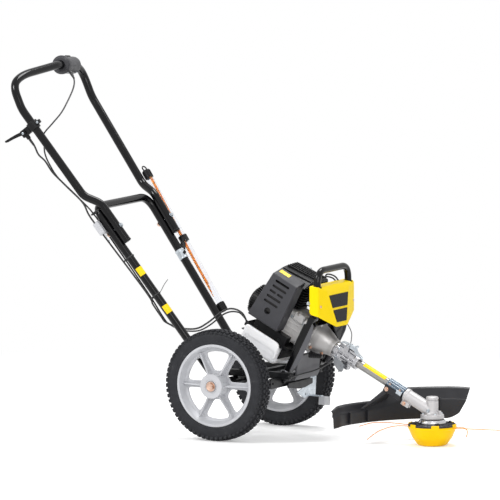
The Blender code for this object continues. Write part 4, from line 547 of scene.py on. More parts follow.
def weld(first: Mesh, *others: Mesh) -> Mesh:
    """Add meshes to the first one and let go of them."""
    for other in others:
        data = bpy.data.meshes.new("welded")
        other.to_mesh(data)
        other.free()
        first.from_mesh(data)
        bpy.data.meshes.remove(data)
    return first


def moved(bm: Mesh, place: Matrix | Point) -> Mesh:
    """Move a mesh by a matrix or by a step."""
    matrix = place if isinstance(place, Matrix) else Matrix.Translation(Vector(place))
    bmesh.ops.transform(bm, matrix=matrix, verts=bm.verts)
    return bm


def stood(bm: Mesh, spot: Point, direction: Point) -> Mesh:
    """Stand a mesh at a spot with its Z along a direction."""
    return moved(bm, facing(spot, direction))


def soften(bm: Mesh, width: float, segments: int = 3, angle_deg: float = 30.0) -> Mesh:
    """Round the sharp edges of a mesh."""
    limit = math.radians(angle_deg)
    edges = [e for e in bm.edges if e.is_manifold and e.calc_face_angle(0.0) > limit]
    bmesh.ops.bevel(bm, geom=edges, offset=width, offset_type="OFFSET", segments=segments, profile=0.5,
                    affect="EDGES", clamp_overlap=True, material=-1)
    return bm


def lathe(profile: Sequence[Point], steps: int = 96, closed: bool = False, arc: float = math.tau) -> Mesh:
    """Spin a half section round Z.

    Args:
        profile: points of (radius, height).
        steps: steps of the spin.
        closed: whether the section is a closed outline.
        arc: how far it turns; a part turn is centred on +X and its ends are filled.

    Returns:
        The turned mesh.
    """
    bm = bmesh.new()
    verts = [bm.verts.new((radius, 0.0, height)) for radius, height in profile]
    pairs = list(zip(verts, verts[1:])) + ([(verts[-1], verts[0])] if closed else [])
    edges = [bm.edges.new(pair) for pair in pairs]
    whole = arc >= math.tau
    bmesh.ops.spin(bm, geom=verts + edges, cent=(0, 0, 0), axis=(0, 0, 1), angle=arc, steps=steps,
                   use_merge=whole)
    bmesh.ops.remove_doubles(bm, verts=bm.verts, dist=1e-6)
    if not whole:
        bmesh.ops.rotate(bm, cent=(0, 0, 0), matrix=Matrix.Rotation(-arc / 2, 3, "Z"), verts=bm.verts)
        bmesh.ops.holes_fill(bm, edges=[e for e in bm.edges if e.is_boundary])
    return bm


def turned(profile: Sequence[Point], edge: float, corner_steps: int, steps: int,
           closed: bool = False) -> Mesh:
    """Spin a half section round Z with its corners rounded first."""
    return lathe(rounded(profile, edge, corner_steps, closed), steps, closed)


def rod(start: Point, end: Point, radius: float, end_radius: float | None = None, edge: float = 0.0008,
        steps: int = 40) -> Mesh:
    """Round bar or cone between two points, with rounded rims."""
    length = (Vector(end) - Vector(start)).length
    top = radius if end_radius is None else end_radius
    profile = [(0.0, 0.0), (radius, 0.0), (top, length), (0.0, length)]
    return stood(turned(profile, edge, 3, steps), start, Vector(end) - Vector(start))


def ring(radius: float, bead: float, steps: int = 64) -> Mesh:
    """Round ring lying in the XY plane."""
    return lathe([(radius + x, z) for x, z in circle(bead, 14)], steps, closed=True)


def soft_box(low: Point, high: Point, edge: float = 0.001, segments: int = 3) -> Mesh:
    """Box between two corners with rounded edges."""
    bm = bmesh.new()
    bmesh.ops.create_cube(bm, size=1.0)
    bmesh.ops.scale(bm, vec=[b - a for a, b in zip(low, high)], verts=bm.verts)
    bmesh.ops.translate(bm, vec=[(a + b) / 2 for a, b in zip(low, high)], verts=bm.verts)
    return soften(bm, edge, segments)


def prism(outline: Sequence[Point], reach: Point) -> Mesh:
    """Push a flat outline along a vector into a closed solid."""
    bm = bmesh.new()
    face = bm.faces.new([bm.verts.new(p) for p in outline])
    made = bmesh.ops.extrude_face_region(bm, geom=[face])["geom"]
    pushed = [v for v in made if isinstance(v, bmesh.types.BMVert)]
    bmesh.ops.translate(bm, vec=reach, verts=pushed)
    bmesh.ops.recalc_face_normals(bm, faces=bm.faces)
    return bm


def upright(outline: Sequence[Vector], low_y: float, thick: float, edge: float, segments: int = 2) -> Mesh:
    """Sheet whose outline lies in X and Z, from a place along Y, with rounded rims."""
    return soften(prism([(p.x, low_y, p.y) for p in outline], (0, thick, 0)), edge, segments, 60)


def loft(sections: Sequence[Sequence[Point]], capped: bool = True) -> Mesh:
    """Skin through a row of closed outlines with the same number of points."""
    bm = bmesh.new()
    loops = []
    for section in sections:
        verts = [bm.verts.new(p) for p in section]
        loops.append([bm.edges.new((a, b)) for a, b in zip(verts, verts[1:] + verts[:1])])
    for first, second in zip(loops, loops[1:]):
        bmesh.ops.bridge_loops(bm, edges=first + second)
    if capped:
        bmesh.ops.holes_fill(bm, edges=[e for e in bm.edges if e.is_boundary])
    bmesh.ops.recalc_face_normals(bm, faces=bm.faces)
    return bm


def curve_mesh(curve: bpy.types.Curve) -> Mesh:
    """Turn curve data into a mesh."""
    holder = bpy.data.objects.new("curve_holder", curve)
    bpy.context.scene.collection.objects.link(holder)
    shown = holder.evaluated_get(bpy.context.evaluated_depsgraph_get())
    data = bpy.data.meshes.new_from_object(shown)
    bm = bmesh.new()
    bm.from_mesh(data)
    bpy.data.objects.remove(holder, do_unlink=True)
    bpy.data.meshes.remove(data)
    bpy.data.curves.remove(curve)
    bmesh.ops.remove_doubles(bm, verts=bm.verts, dist=1e-6)
    bmesh.ops.recalc_face_normals(bm, faces=bm.faces)
    return bm


def hose(path: Sequence[Point], radius: float, sides: int = 12, closed: bool = False) -> Mesh:
    """Round tube, wire or cable along a path."""
    curve = bpy.data.curves.new("hose", "CURVE")
    curve.dimensions = "3D"
    curve.bevel_depth = radius
    curve.bevel_resolution = sides // 2 - 2
    curve.use_fill_caps = not closed
    spline = curve.splines.new("POLY")
    spline.points.add(len(path) - 1)
    for spot, point in zip(spline.points, path):
        spot.co = (*point, 1.0)
    spline.use_cyclic_u = closed
    return curve_mesh(curve)


def plate(outlines: Sequence[Sequence[Point]], depth: float, edge: float = 0.0005) -> Mesh:
    """Flat plate centred on Z 0 with rounded rims.

    Args:
        outlines: the rim first, then the holes, as points of (x, y).
        depth: thickness.
        edge: radius of the rims.

    Returns:
        The closed plate.
    """
    curve = bpy.data.curves.new("plate", "CURVE")
    curve.dimensions = "2D"
    curve.fill_mode = "BOTH"
    curve.extrude = depth / 2 - edge
    curve.bevel_depth = edge
    curve.bevel_resolution = 2
    curve.offset = -edge
    for outline in outlines:
        spline = curve.splines.new("POLY")
        spline.points.add(len(outline) - 1)
        for spot, point in zip(spline.points, outline):
            spot.co = (point[0], point[1], 0.0, 1.0)
        spline.use_cyclic_u = True
    return curve_mesh(curve)


def carved(target: Mesh, *tools: Mesh) -> Mesh:
    """Cut tools out of a mesh with Boolean modifiers whose result is kept."""
    holders = []
    for bm in (target, *tools):
        bmesh.ops.recalc_face_normals(bm, faces=bm.faces)
        data = bpy.data.meshes.new("carving")
        bm.to_mesh(data)
        bm.free()
        holder = bpy.data.objects.new("carving", data)
        bpy.context.scene.collection.objects.link(holder)
        holders.append(holder)
    for tool in holders[1:]:
        cut = holders[0].modifiers.new("cut", "BOOLEAN")
        cut.operation = "DIFFERENCE"
        cut.solver = "EXACT"
        cut.object = tool
    shown = holders[0].evaluated_get(bpy.context.evaluated_depsgraph_get())
    data = bpy.data.meshes.new_from_object(shown)
    bm = bmesh.new()
    bm.from_mesh(data)
    bpy.data.meshes.remove(data)
    for holder in holders:
        mesh = holder.data
        bpy.data.objects.remove(holder, do_unlink=True)
        bpy.data.meshes.remove(mesh)
    bmesh.ops.remove_doubles(bm, verts=bm.verts, dist=1e-6)
    return bm


def repeated(bm: Mesh, count: int, axis: Point = (0, 0, 1)) -> Mesh:
    """Repeat a mesh evenly round an axis through the origin."""
    geometry = bm.verts[:] + bm.edges[:] + bm.faces[:]
    bmesh.ops.spin(bm, geom=geometry, cent=(0, 0, 0), axis=axis, angle=math.tau * (count - 1) / count,
                   steps=count - 1, use_duplicate=True)
    return bm


def hex_bolt(radius: float, height: float, washer: float = 0.0, thick: float = 0.0012) -> Mesh:
    """Hexagon bolt head on its washer, standing on Z 0."""
    base = thick if washer else 0.0
    head = bmesh.new()
    bmesh.ops.create_cone(head, cap_ends=True, segments=6, radius1=radius, radius2=radius, depth=height)
    bmesh.ops.translate(head, vec=(0, 0, base + height / 2), verts=head.verts)
    soften(head, radius * 0.06, 2)
    crown = lathe([(0.0, base + height + radius * 0.06), (radius * 0.7, base + height + radius * 0.05),
                   (radius * 0.84, base + height - 0.0001), (0.0, base + height - 0.0001)], 48)
    weld(head, crown)
    if washer:
        weld(head, turned([(0, 0), (washer, 0), (washer, thick), (0, thick)], 0.0003, 2, 56))
    return head


def cap_screw(radius: float, height: float) -> Mesh:
    """Round screw head with a socket, standing on Z 0."""
    profile = [(0.0, height * 0.35), (radius * 0.45, height * 0.35), (radius * 0.52, height),
               (radius * 0.8, height), (radius, height * 0.7), (radius, 0.0), (0.0, 0.0)]
    return turned(profile, radius * 0.12, 2, 32)


def fasteners(head: Callable[..., Mesh], sizes: Sequence[float], spots: Iterable[Point],
              direction: Point) -> Mesh:
    """Heads of one size at several places.

    Args:
        head: hex_bolt or cap_screw.
        sizes: its radius and height, and a bolt's washer radius and thickness.
        spots: where the heads stand.
        direction: the way that they face.

    Returns:
        The heads in one mesh.
    """
    return weld(bmesh.new(), *[stood(head(*sizes), spot, direction) for spot in spots])


def refined(node: str, width: float, segments: int = 2) -> Mesh:
    """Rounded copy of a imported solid, whose own mesh is left alone.

    Args:
        node: name of the solid.
        width: radius given to its edges.
        segments: short faces across each rounded edge.

    Returns:
        The copy, measured from the ground under the axle.
    """
    bm = bmesh.new()
    bm.from_mesh(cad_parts[node].data)
    bmesh.ops.translate(bm, vec=-SHIFT, verts=bm.verts)
    bmesh.ops.remove_doubles(bm, verts=bm.verts, dist=1e-5)
    bmesh.ops.dissolve_limit(bm, angle_limit=math.radians(1.0), verts=bm.verts, edges=bm.edges)
    return soften(bm, width, segments)


def publish(bm: Mesh, name: str, finish: Finish, body: Body = Body.MACHINE, stands_for: Sequence[str] = (),
            place: Matrix = STILL, sharp_deg: float = 35.0) -> bpy.types.Object:
    """Turn a mesh into a finished piece of the machine.

    Args:
        bm: the piece, measured in the axes of its place.
        name: name of the piece.
        finish: its surface.
        body: body that it rides on.
        stands_for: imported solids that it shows, which get its finish too.
        place: axes that it was made in, from the ground under the axle.
        sharp_deg: edges steeper than this stay crisp.

    Returns:
        The finished object.
    """
    bmesh.ops.remove_doubles(bm, verts=bm.verts, dist=1e-6)
    bmesh.ops.recalc_face_normals(bm, faces=bm.faces)
    moved(bm, Matrix.Translation(SHIFT) @ place)
    data = bpy.data.meshes.new(name)
    bm.to_mesh(data)
    bm.free()
    data.shade_smooth()
    data.set_sharp_from_angle(angle=math.radians(sharp_deg))
    data.materials.append(finish.material())
    piece = bpy.data.objects.new(name, data)
    bpy.context.scene.collection.objects.link(piece)
    piece.modifiers.new("even_shading", "WEIGHTED_NORMAL").keep_sharp = True
    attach(piece, body.value)
    if stands_for:
        paint(stands_for, finish)
        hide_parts(*stands_for)
    log.info("built %s", name)
    return piece


# Wheels


@dataclass
class Wheel:
    """Tyre, spoked rim and axle bolt of one wheel, made round Z with Z outboard."""

    side: Side
    radius: float = AXLE_HEIGHT
    track_half: float = 0.21
    pitches: int = 64
    hub_radius: float = 0.0375
    hub_face: float = 0.047
    web_face: float = 0.0035
    spokes: int = 6
    spoke_half: float = 0.011

    def place(self) -> Matrix:
        """Axes of the wheel, Z outboard."""
        turn = Matrix.Rotation(-self.side.value * math.pi / 2, 4, "X")
        return Matrix.Translation((0.0, self.side.value * self.track_half, self.radius)) @ turn

    def body(self) -> Body:
        """Body that turns on this side of the axle."""
        return Body.RIGHT_WHEEL if self.side is Side.RIGHT else Body.LEFT_WHEEL

    def knobs(self, size: Point, reach: float, height: float, shift: float, lean: float = 0.0) -> Mesh:
        """One row of tread blocks round the tyre.

        Args:
            size: radial, tangential and axial size of a block.
            reach: radius of the block's middle.
            height: place along the axle.
            shift: share of a pitch that the row is turned by.
            lean: tilt of the block towards the sidewall.

        Returns:
            The whole row.
        """
        bm = bmesh.new()
        bmesh.ops.create_cube(bm, size=1.0)
        bmesh.ops.scale(bm, vec=size, verts=bm.verts)
        soften(bm, 0.0009, 1)
        bmesh.ops.rotate(bm, cent=(0, 0, 0), matrix=Matrix.Rotation(lean, 3, "Y"), verts=bm.verts)
        bmesh.ops.translate(bm, vec=(reach, 0, height), verts=bm.verts)
        turn = Matrix.Rotation(math.tau * shift / self.pitches, 3, "Z")
        bmesh.ops.rotate(bm, cent=(0, 0, 0), matrix=turn, verts=bm.verts)
        return repeated(bm, self.pitches)

    def tyre(self) -> None:
        """Solid tyre with staggered tread blocks and scalloped shoulders."""
        half = mm([(166.3, 0), (165.2, 15), (162.2, 22.6), (155.5, 28.2), (146, 30), (137.2, 29.6),
                   (136.2, 28.8), (134.6, 28.8), (133.6, 29.5), (126.45, 28.6), (126.45, 22.9),
                   (118.65, 22.9)])
        section = half[::-1] + [(r, -z) for r, z in half[1:]]
        bm = turned(section, 0.003, 3, 144, closed=True)
        for index, z in enumerate((-0.0165, -0.0055, 0.0055, 0.0165)):
            crown = 0.1671 if abs(z) < 0.01 else 0.1662
            weld(bm, self.knobs((0.0058, 0.0112, 0.0088), crown, z, 0.5 * (index % 2)))
        for sign in (-1, 1):
            lean = -sign * math.radians(32)
            weld(bm, self.knobs((0.015, 0.01, 0.0036), 0.1573, sign * 0.0262, 0.25 + 0.25 * sign, lean))
        publish(bm, self.side.word + "_tyre_shell", TYRE, self.body(), [self.side.word + "_tyre"],
                self.place())

    def window(self, middle: float) -> Outline:
        """Rounded opening between two spokes, centred on an angle."""
        spread = math.pi / self.spokes
        inner, outer = 0.0455, 0.1035
        far = spread - math.asin(self.spoke_half / outer)
        near = spread - math.asin(self.spoke_half / inner)
        points = []
        for share in (-1.0, -0.5, 0.0, 0.5, 1.0):
            angle = middle + share * far
            points.append((outer * math.cos(angle), outer * math.sin(angle)))
        for share in (1, -1):
            angle = middle + share * near
            points.append((inner * math.cos(angle), inner * math.sin(angle)))
        radii = [0.017, 0.012, 0.012, 0.012, 0.017, 0.009, 0.009]
        return [(p.x, p.y) for p in rounded(points, radii, 6, closed=True)]

    def rim(self) -> None:
        """Moulded rim: dished flange, web with six windows, tapering ribs and a deep hub."""
        flange = mm([(126, 28.5), (118.5, 28.5), (110, 5), (105, 3.4), (105, -3.4), (109.5, -4.4),
                     (119, -28.5), (126, -28.5), (126, -23.2), (118.2, -23.2), (118.2, 23.2), (126, 23.2)])
        bm = turned(flange, 0.0016, 3, 144, closed=True)
        windows = [self.window(math.pi / self.spokes * (2 * i + 1)) for i in range(self.spokes)]
        weld(bm, plate([circle(0.107), *windows], 0.007, 0.0016))
        tall = mm([(34.5, -3.8, -6), (34.5, 3.8, -6), (34.5, 2.6, 30), (34.5, -2.6, 30)])
        short = mm([(111.5, -2.5, -5), (111.5, 2.5, -5), (111.5, 1.6, 15), (111.5, -1.6, 15)])
        weld(bm, repeated(soften(loft([tall, short]), 0.0008, 2), self.spokes))
        self.hub(bm)
        publish(bm, self.side.word + "_rim_moulding", GREY_POLYPROPYLENE, self.body(),
                [self.side.word + "_rim"], self.place())

    def hub(self, bm: Mesh) -> None:
        """Add the hub with its ringed face and the small ribs round its side."""
        face = self.hub_face
        section = [(0.0066, face), (0.0156, face), (0.0159, face - 0.003), (0.0172, face - 0.003),
                   (0.0175, face), (0.02, face), (0.0205, face - 0.0012), (0.0212, face - 0.0012),
                   (0.0217, face - 0.0004), (self.hub_radius - 0.0006, face - 0.0004),
                   (self.hub_radius + 0.002, self.web_face), (self.hub_radius + 0.002, -0.0035),
                   (0.0265, -0.007), (0.022, -0.042), (0.0066, -0.042)]
        weld(bm, turned(section, 0.0007, 3, 96, closed=True))
        rib = soft_box((self.hub_radius - 0.002, -0.0011, self.web_face - 0.001),
                       (self.hub_radius + 0.0017, 0.0011, 0.04), 0.0005, 2)
        weld(bm, repeated(rib, 18))

    def bolt(self) -> None:
        """Passivated hexagon bolt on a washer in the middle of the hub."""
        bm = moved(hex_bolt(0.012, 0.0068, 0.0152, 0.0018), (0, 0, self.hub_face + 0.0003))
        weld(bm, rod((0, 0, self.hub_face - 0.018), (0, 0, self.hub_face + 0.001), 0.0058))
        publish(bm, self.side.word + "_hub_bolt", PASSIVATED, Body.MACHINE, [self.side.word + "_axle_bolt"],
                self.place())

    def build(self) -> None:
        """Build tyre, rim and bolt."""
        self.tyre()
        self.rim()
        self.bolt()


# Handle


@dataclass
class HandleFrame:
    """Lower frame and upper handle of bent tube, with their bolts, plugs and yellow bands."""

    tube_radius: float = 0.0125
    foot_x: float = -0.0515
    axle_tube_radius: float = 0.016
    axle_tube_half: float = 0.167
    bolt_x: float = -0.392
    band_length: float = 0.028
    band_places: tuple[float, float] = (-0.302, -0.217)

    def lower_path(self) -> list[Vector]:
        """Centre line of the lower inverted U."""
        places = ((self.foot_x, Side.RIGHT), (LEG_END_X, Side.RIGHT), (LEG_END_X, Side.LEFT),
                  (self.foot_x, Side.LEFT))
        points = [leg_point(x, side) for x, side in places]
        return rounded(points, 0.05, 14)

    def upper_path(self) -> list[Vector]:
        """Centre line of the handle, from the right lap round the grip to the left lap."""
        right = [leg_point(-0.362, Side.RIGHT, LAP_OFF), leg_point(-0.447, Side.RIGHT, LAP_OFF),
                 upper_point(HANDLE_START_X, Side.RIGHT), upper_point(-0.672, Side.RIGHT),
                 Vector((-0.703, -0.2215, 1.05)), Vector((-0.698, -0.172, 1.077))]
        left = [Vector((p.x, -p.y, p.z)) for p in reversed(right)]
        bends = [0.016, 0.016, 0.018] + [0.045, 0.045, 0.018, 0.018, 0.045] + [0.018, 0.016, 0.016]
        return rounded(right + [GRIP_MIDDLE] + left, bends, 10)

    def frame_tube(self) -> None:
        """Lower tube welded to the cross tube that holds the axle."""
        bm = hose(self.lower_path(), self.tube_radius, 32)
        half = self.axle_tube_half
        weld(bm, rod((0, -half, AXLE_HEIGHT), (0, half, AXLE_HEIGHT), self.axle_tube_radius, edge=0.0012,
                     steps=48))
        for side in Side:
            foot = leg_point(self.foot_x, side)
            low = (foot.x - 0.012, foot.y - 0.004, 0.157)
            weld(bm, soft_box(low, (0.004, foot.y + 0.004, 0.183), 0.0015))
            bead = ring(self.tube_radius + 0.0004, 0.002)
            weld(bm, stood(bead, leg_point(-0.062, side), leg_down(side)))
        publish(bm, "lower_frame_tube", GLOSS_BLACK, stands_for=["lower_frame"])

    def handle_tube(self) -> None:
        """Upper handle with plugs in its lapped ends."""
        path = self.upper_path()
        publish(hose(path, self.tube_radius, 32), "handle_tube", GLOSS_BLACK, stands_for=["upper_handle"])
        plugs = bmesh.new()
        for tip, inner in ((path[0], path[1]), (path[-1], path[-2])):
            dome = turned(mm([(0, 3.5), (9.5, 3.2), (13.1, 1.2), (13.1, -3), (0, -3)]), 0.001, 3, 40)
            weld(plugs, stood(dome, tip, tip - inner))
        publish(plugs, "handle_end_plugs", BLACK_NYLON)

    def bolts(self) -> None:
        """Zinc bolt and copper toned nut through each lap."""
        for side in Side:
            back = leg_point(self.bolt_x, side, -self.tube_radius)
            front = leg_point(self.bolt_x, side, LAP_OFF + self.tube_radius)
            bm = rod(back, front, 0.003)
            weld(bm, stood(hex_bolt(0.0062, 0.0042, 0.0078, 0.001), front, PLANE_NORMAL))
            publish(bm, side.word + "_lap_bolt", ZINC, stands_for=[side.word + "_handle_bolt"])
            nut = stood(hex_bolt(0.0064, 0.0048, 0.0078, 0.001), back, -PLANE_NORMAL)
            publish(nut, side.word + "_lap_nut", PASSIVATED)

    def bands(self) -> None:
        """Plain yellow bands round the front of the right leg."""
        bm = bmesh.new()
        for x in self.band_places:
            r = self.tube_radius
            section = [(r + 0.0001, 0), (r + 0.0005, 0), (r + 0.0005, self.band_length),
                       (r + 0.0001, self.band_length)]
            band = lathe(section, 30, closed=True, arc=math.radians(140))
            moved(band, spun(118, "Z"))
            moved(band, (0, 0, -self.band_length / 2))
            weld(bm, moved(band, leg_axes(x, Side.RIGHT)))
        publish(bm, "leg_bands", PLAIN_STICKER)

    def build(self) -> None:
        """Build the tubes and what is on them."""
        self.frame_tube()
        self.handle_tube()
        self.bolts()
        self.bands()


@dataclass
class GripControls:
    """Control housing with its stop switch, and the throttle lever on the right tube."""

    housing_radius: float = 0.0265
    collar_radius: float = 0.029
    start: float = 0.02
    end: float = 0.152
    switch_length: float = 0.022
    switch_width: float = 0.013

    def axes(self) -> Matrix:
        """Axes at the middle of the grip bar, Z along its left half."""
        return facing(GRIP_MIDDLE, Vector((-0.698, 0.172, 1.077)) - GRIP_MIDDLE)

    def housing(self) -> None:
        """Two half shells with grooves behind the collar and a pocket for the switch."""
        r, c, long = self.housing_radius, self.collar_radius, self.end - self.start
        section = [(0.0132, long), (r - 0.009, long), (r - 0.003, long - 0.003), (r, long - 0.012),
                   (r, 0.03), (r - 0.0012, 0.0292), (r - 0.0012, 0.0276), (r + 0.0005, 0.0268),
                   (c - 0.0004, 0.0215), (c, 0.019), (c, 0.015), (c - 0.001, 0.0143), (c - 0.001, 0.0127),
                   (c, 0.012), (c, 0.0065), (r - 0.0042, 0.0), (0.0132, 0.0)]
        lowered = [(radius, height + self.start) for radius, height in section]
        wide, far = 0.06, 0.2
        start = (self.start + self.end - self.switch_length) / 2
        pocket = soft_box((-0.0072, r - 0.006, start - 0.0007),
                          (0.0072, r + 0.02, start + self.switch_length + 0.0067), 0.0008)
        lower = turned(lowered, 0.0012, 4, 96, closed=True)
        lower = carved(lower, soft_box((-wide, -0.0002, 0), (wide, wide, far), 0.0001, 1))
        publish(soften(lower, 0.0007, 2, 60), "housing_lower_shell", CHARCOAL_NYLON,
                stands_for=["control_housing_bottom"], place=self.axes())
        upper = turned(lowered, 0.0012, 4, 96, closed=True)
        upper = carved(upper, soft_box((-wide, -wide, 0), (wide, 0.0002, far), 0.0001, 1), pocket)
        publish(soften(upper, 0.0007, 2, 60), "housing_upper_shell", CHARCOAL_NYLON,
                stands_for=["control_housing_top"], place=self.axes())

    def housing_screws(self) -> None:
        """Screws that hold the half shells together, under the housing."""
        corners = [(x, z) for z in (0.052, 0.134) for x in (-0.015, 0.015)]
        screws = [stood(cap_screw(0.0032, 0.0022), (x, -0.0212, z), (x * 0.3, -1.0, 0.0)) for x,
                  z in corners]
        publish(weld(*screws), "housing_screws", ZINC, place=self.axes())

    def switch(self) -> None:
        """Sliding stop switch with a ribbed thumb pad."""
        start = (self.start + self.end - self.switch_length) / 2
        half = self.switch_width / 2
        r = self.housing_radius
        bm = soft_box((-half, r - 0.005, start), (half, r + 0.0022, start + self.switch_length), 0.001)
        for index in range(6):
            z = start + 0.003 + index * 0.0032
            weld(bm, soft_box((-half + 0.001, r + 0.0016, z - 0.0009),
                              (half - 0.001, r + 0.0032, z + 0.0009), 0.0005, 2))
        publish(bm, "stop_slider", BLACK_NYLON, Body.SWITCH, ["stop_switch"], self.axes())

    def throttle_axes(self) -> Matrix:
        """Axes on the right tube: Z down the tube, Y out of the handle plane."""
        place = upper_point(THROTTLE_X, Side.RIGHT)
        return tube_axes(place, (upper_point(HANDLE_START_X, Side.RIGHT) - place).normalized())

    def bracket(self) -> None:
        """Clamp bracket with its arm, ear, cable nose and pin."""
        back = PIN_OFF
        section = mm([(12.8, -13), (18, -13), (18, 13), (12.8, 13)])
        bm = turned(section, 0.0012, 3, 64, closed=True)
        weld(bm, soft_box((-0.008, -back - 0.012, -0.011), (0.008, -0.012, 0.013), 0.0035, 4))
        weld(bm, soft_box((-0.006, 0.014, -0.006), (0.006, 0.028, 0.006), 0.002))
        for z in (0.0145, 0.018, 0.0215):
            weld(bm, moved(ring(0.006, 0.001, 32), (0, -back, z)))
        weld(bm, rod((0, -back, 0.01), (0, -back, 0.024), 0.0068, 0.0052))
        weld(bm, rod((0, -back, 0), (-0.0155, -back, 0), 0.0034))
        publish(bm, "throttle_clamp", BLACK_NYLON, stands_for=["throttle_bracket"],
                place=self.throttle_axes())
        screws = stood(cap_screw(0.0038, 0.0028), (0.006, 0.021, 0.0), (1, 0, 0))
        weld(screws, stood(hex_bolt(0.0044, 0.0028), (-0.006, 0.021, 0.0), (-1, 0, 0)))
        weld(screws, stood(cap_screw(0.004, 0.002), (-0.015, -back, 0.0), (-1, 0, 0)))
        publish(screws, "throttle_screws", ZINC, place=self.throttle_axes())

    def lever(self) -> None:
        """Throttle lever: a disc on the pin with a blade that narrows to a curled tip."""
        bm = rod((-0.0003, 0, 0), (-0.0045, 0, 0), 0.0085)
        sections = []
        for share, width, drop, thick in ((0.0, 0.0075, 0.0, 0.004), (0.3, 0.0062, 0.001, 0.004),
                                          (0.6, 0.0052, 0.004, 0.0038), (0.9, 0.0046, 0.008, 0.0038),
                                          (1.0, 0.0028, 0.009, 0.0034)):
            y, z = -share * 0.06, -share * 0.045 + drop
            sections.append([(-0.0003, y, z - width), (-0.0003, y, z + width), (-thick, y, z + width),
                             (-thick, y, z - width)])
        weld(bm, soften(loft(sections), 0.0011, 3, 25))
        moved(bm, spun(-20, "X"))
        place = self.throttle_axes() @ Matrix.Translation((-0.0085, -PIN_OFF, 0.0))
        publish(bm, "throttle_blade", BLACK_NYLON, Body.THROTTLE, ["throttle_lever"], place)

    def build(self) -> None:
        """Build the housing, switch, bracket and lever."""
        self.housing()
        self.housing_screws()
        self.switch()
        self.bracket()
        self.lever()


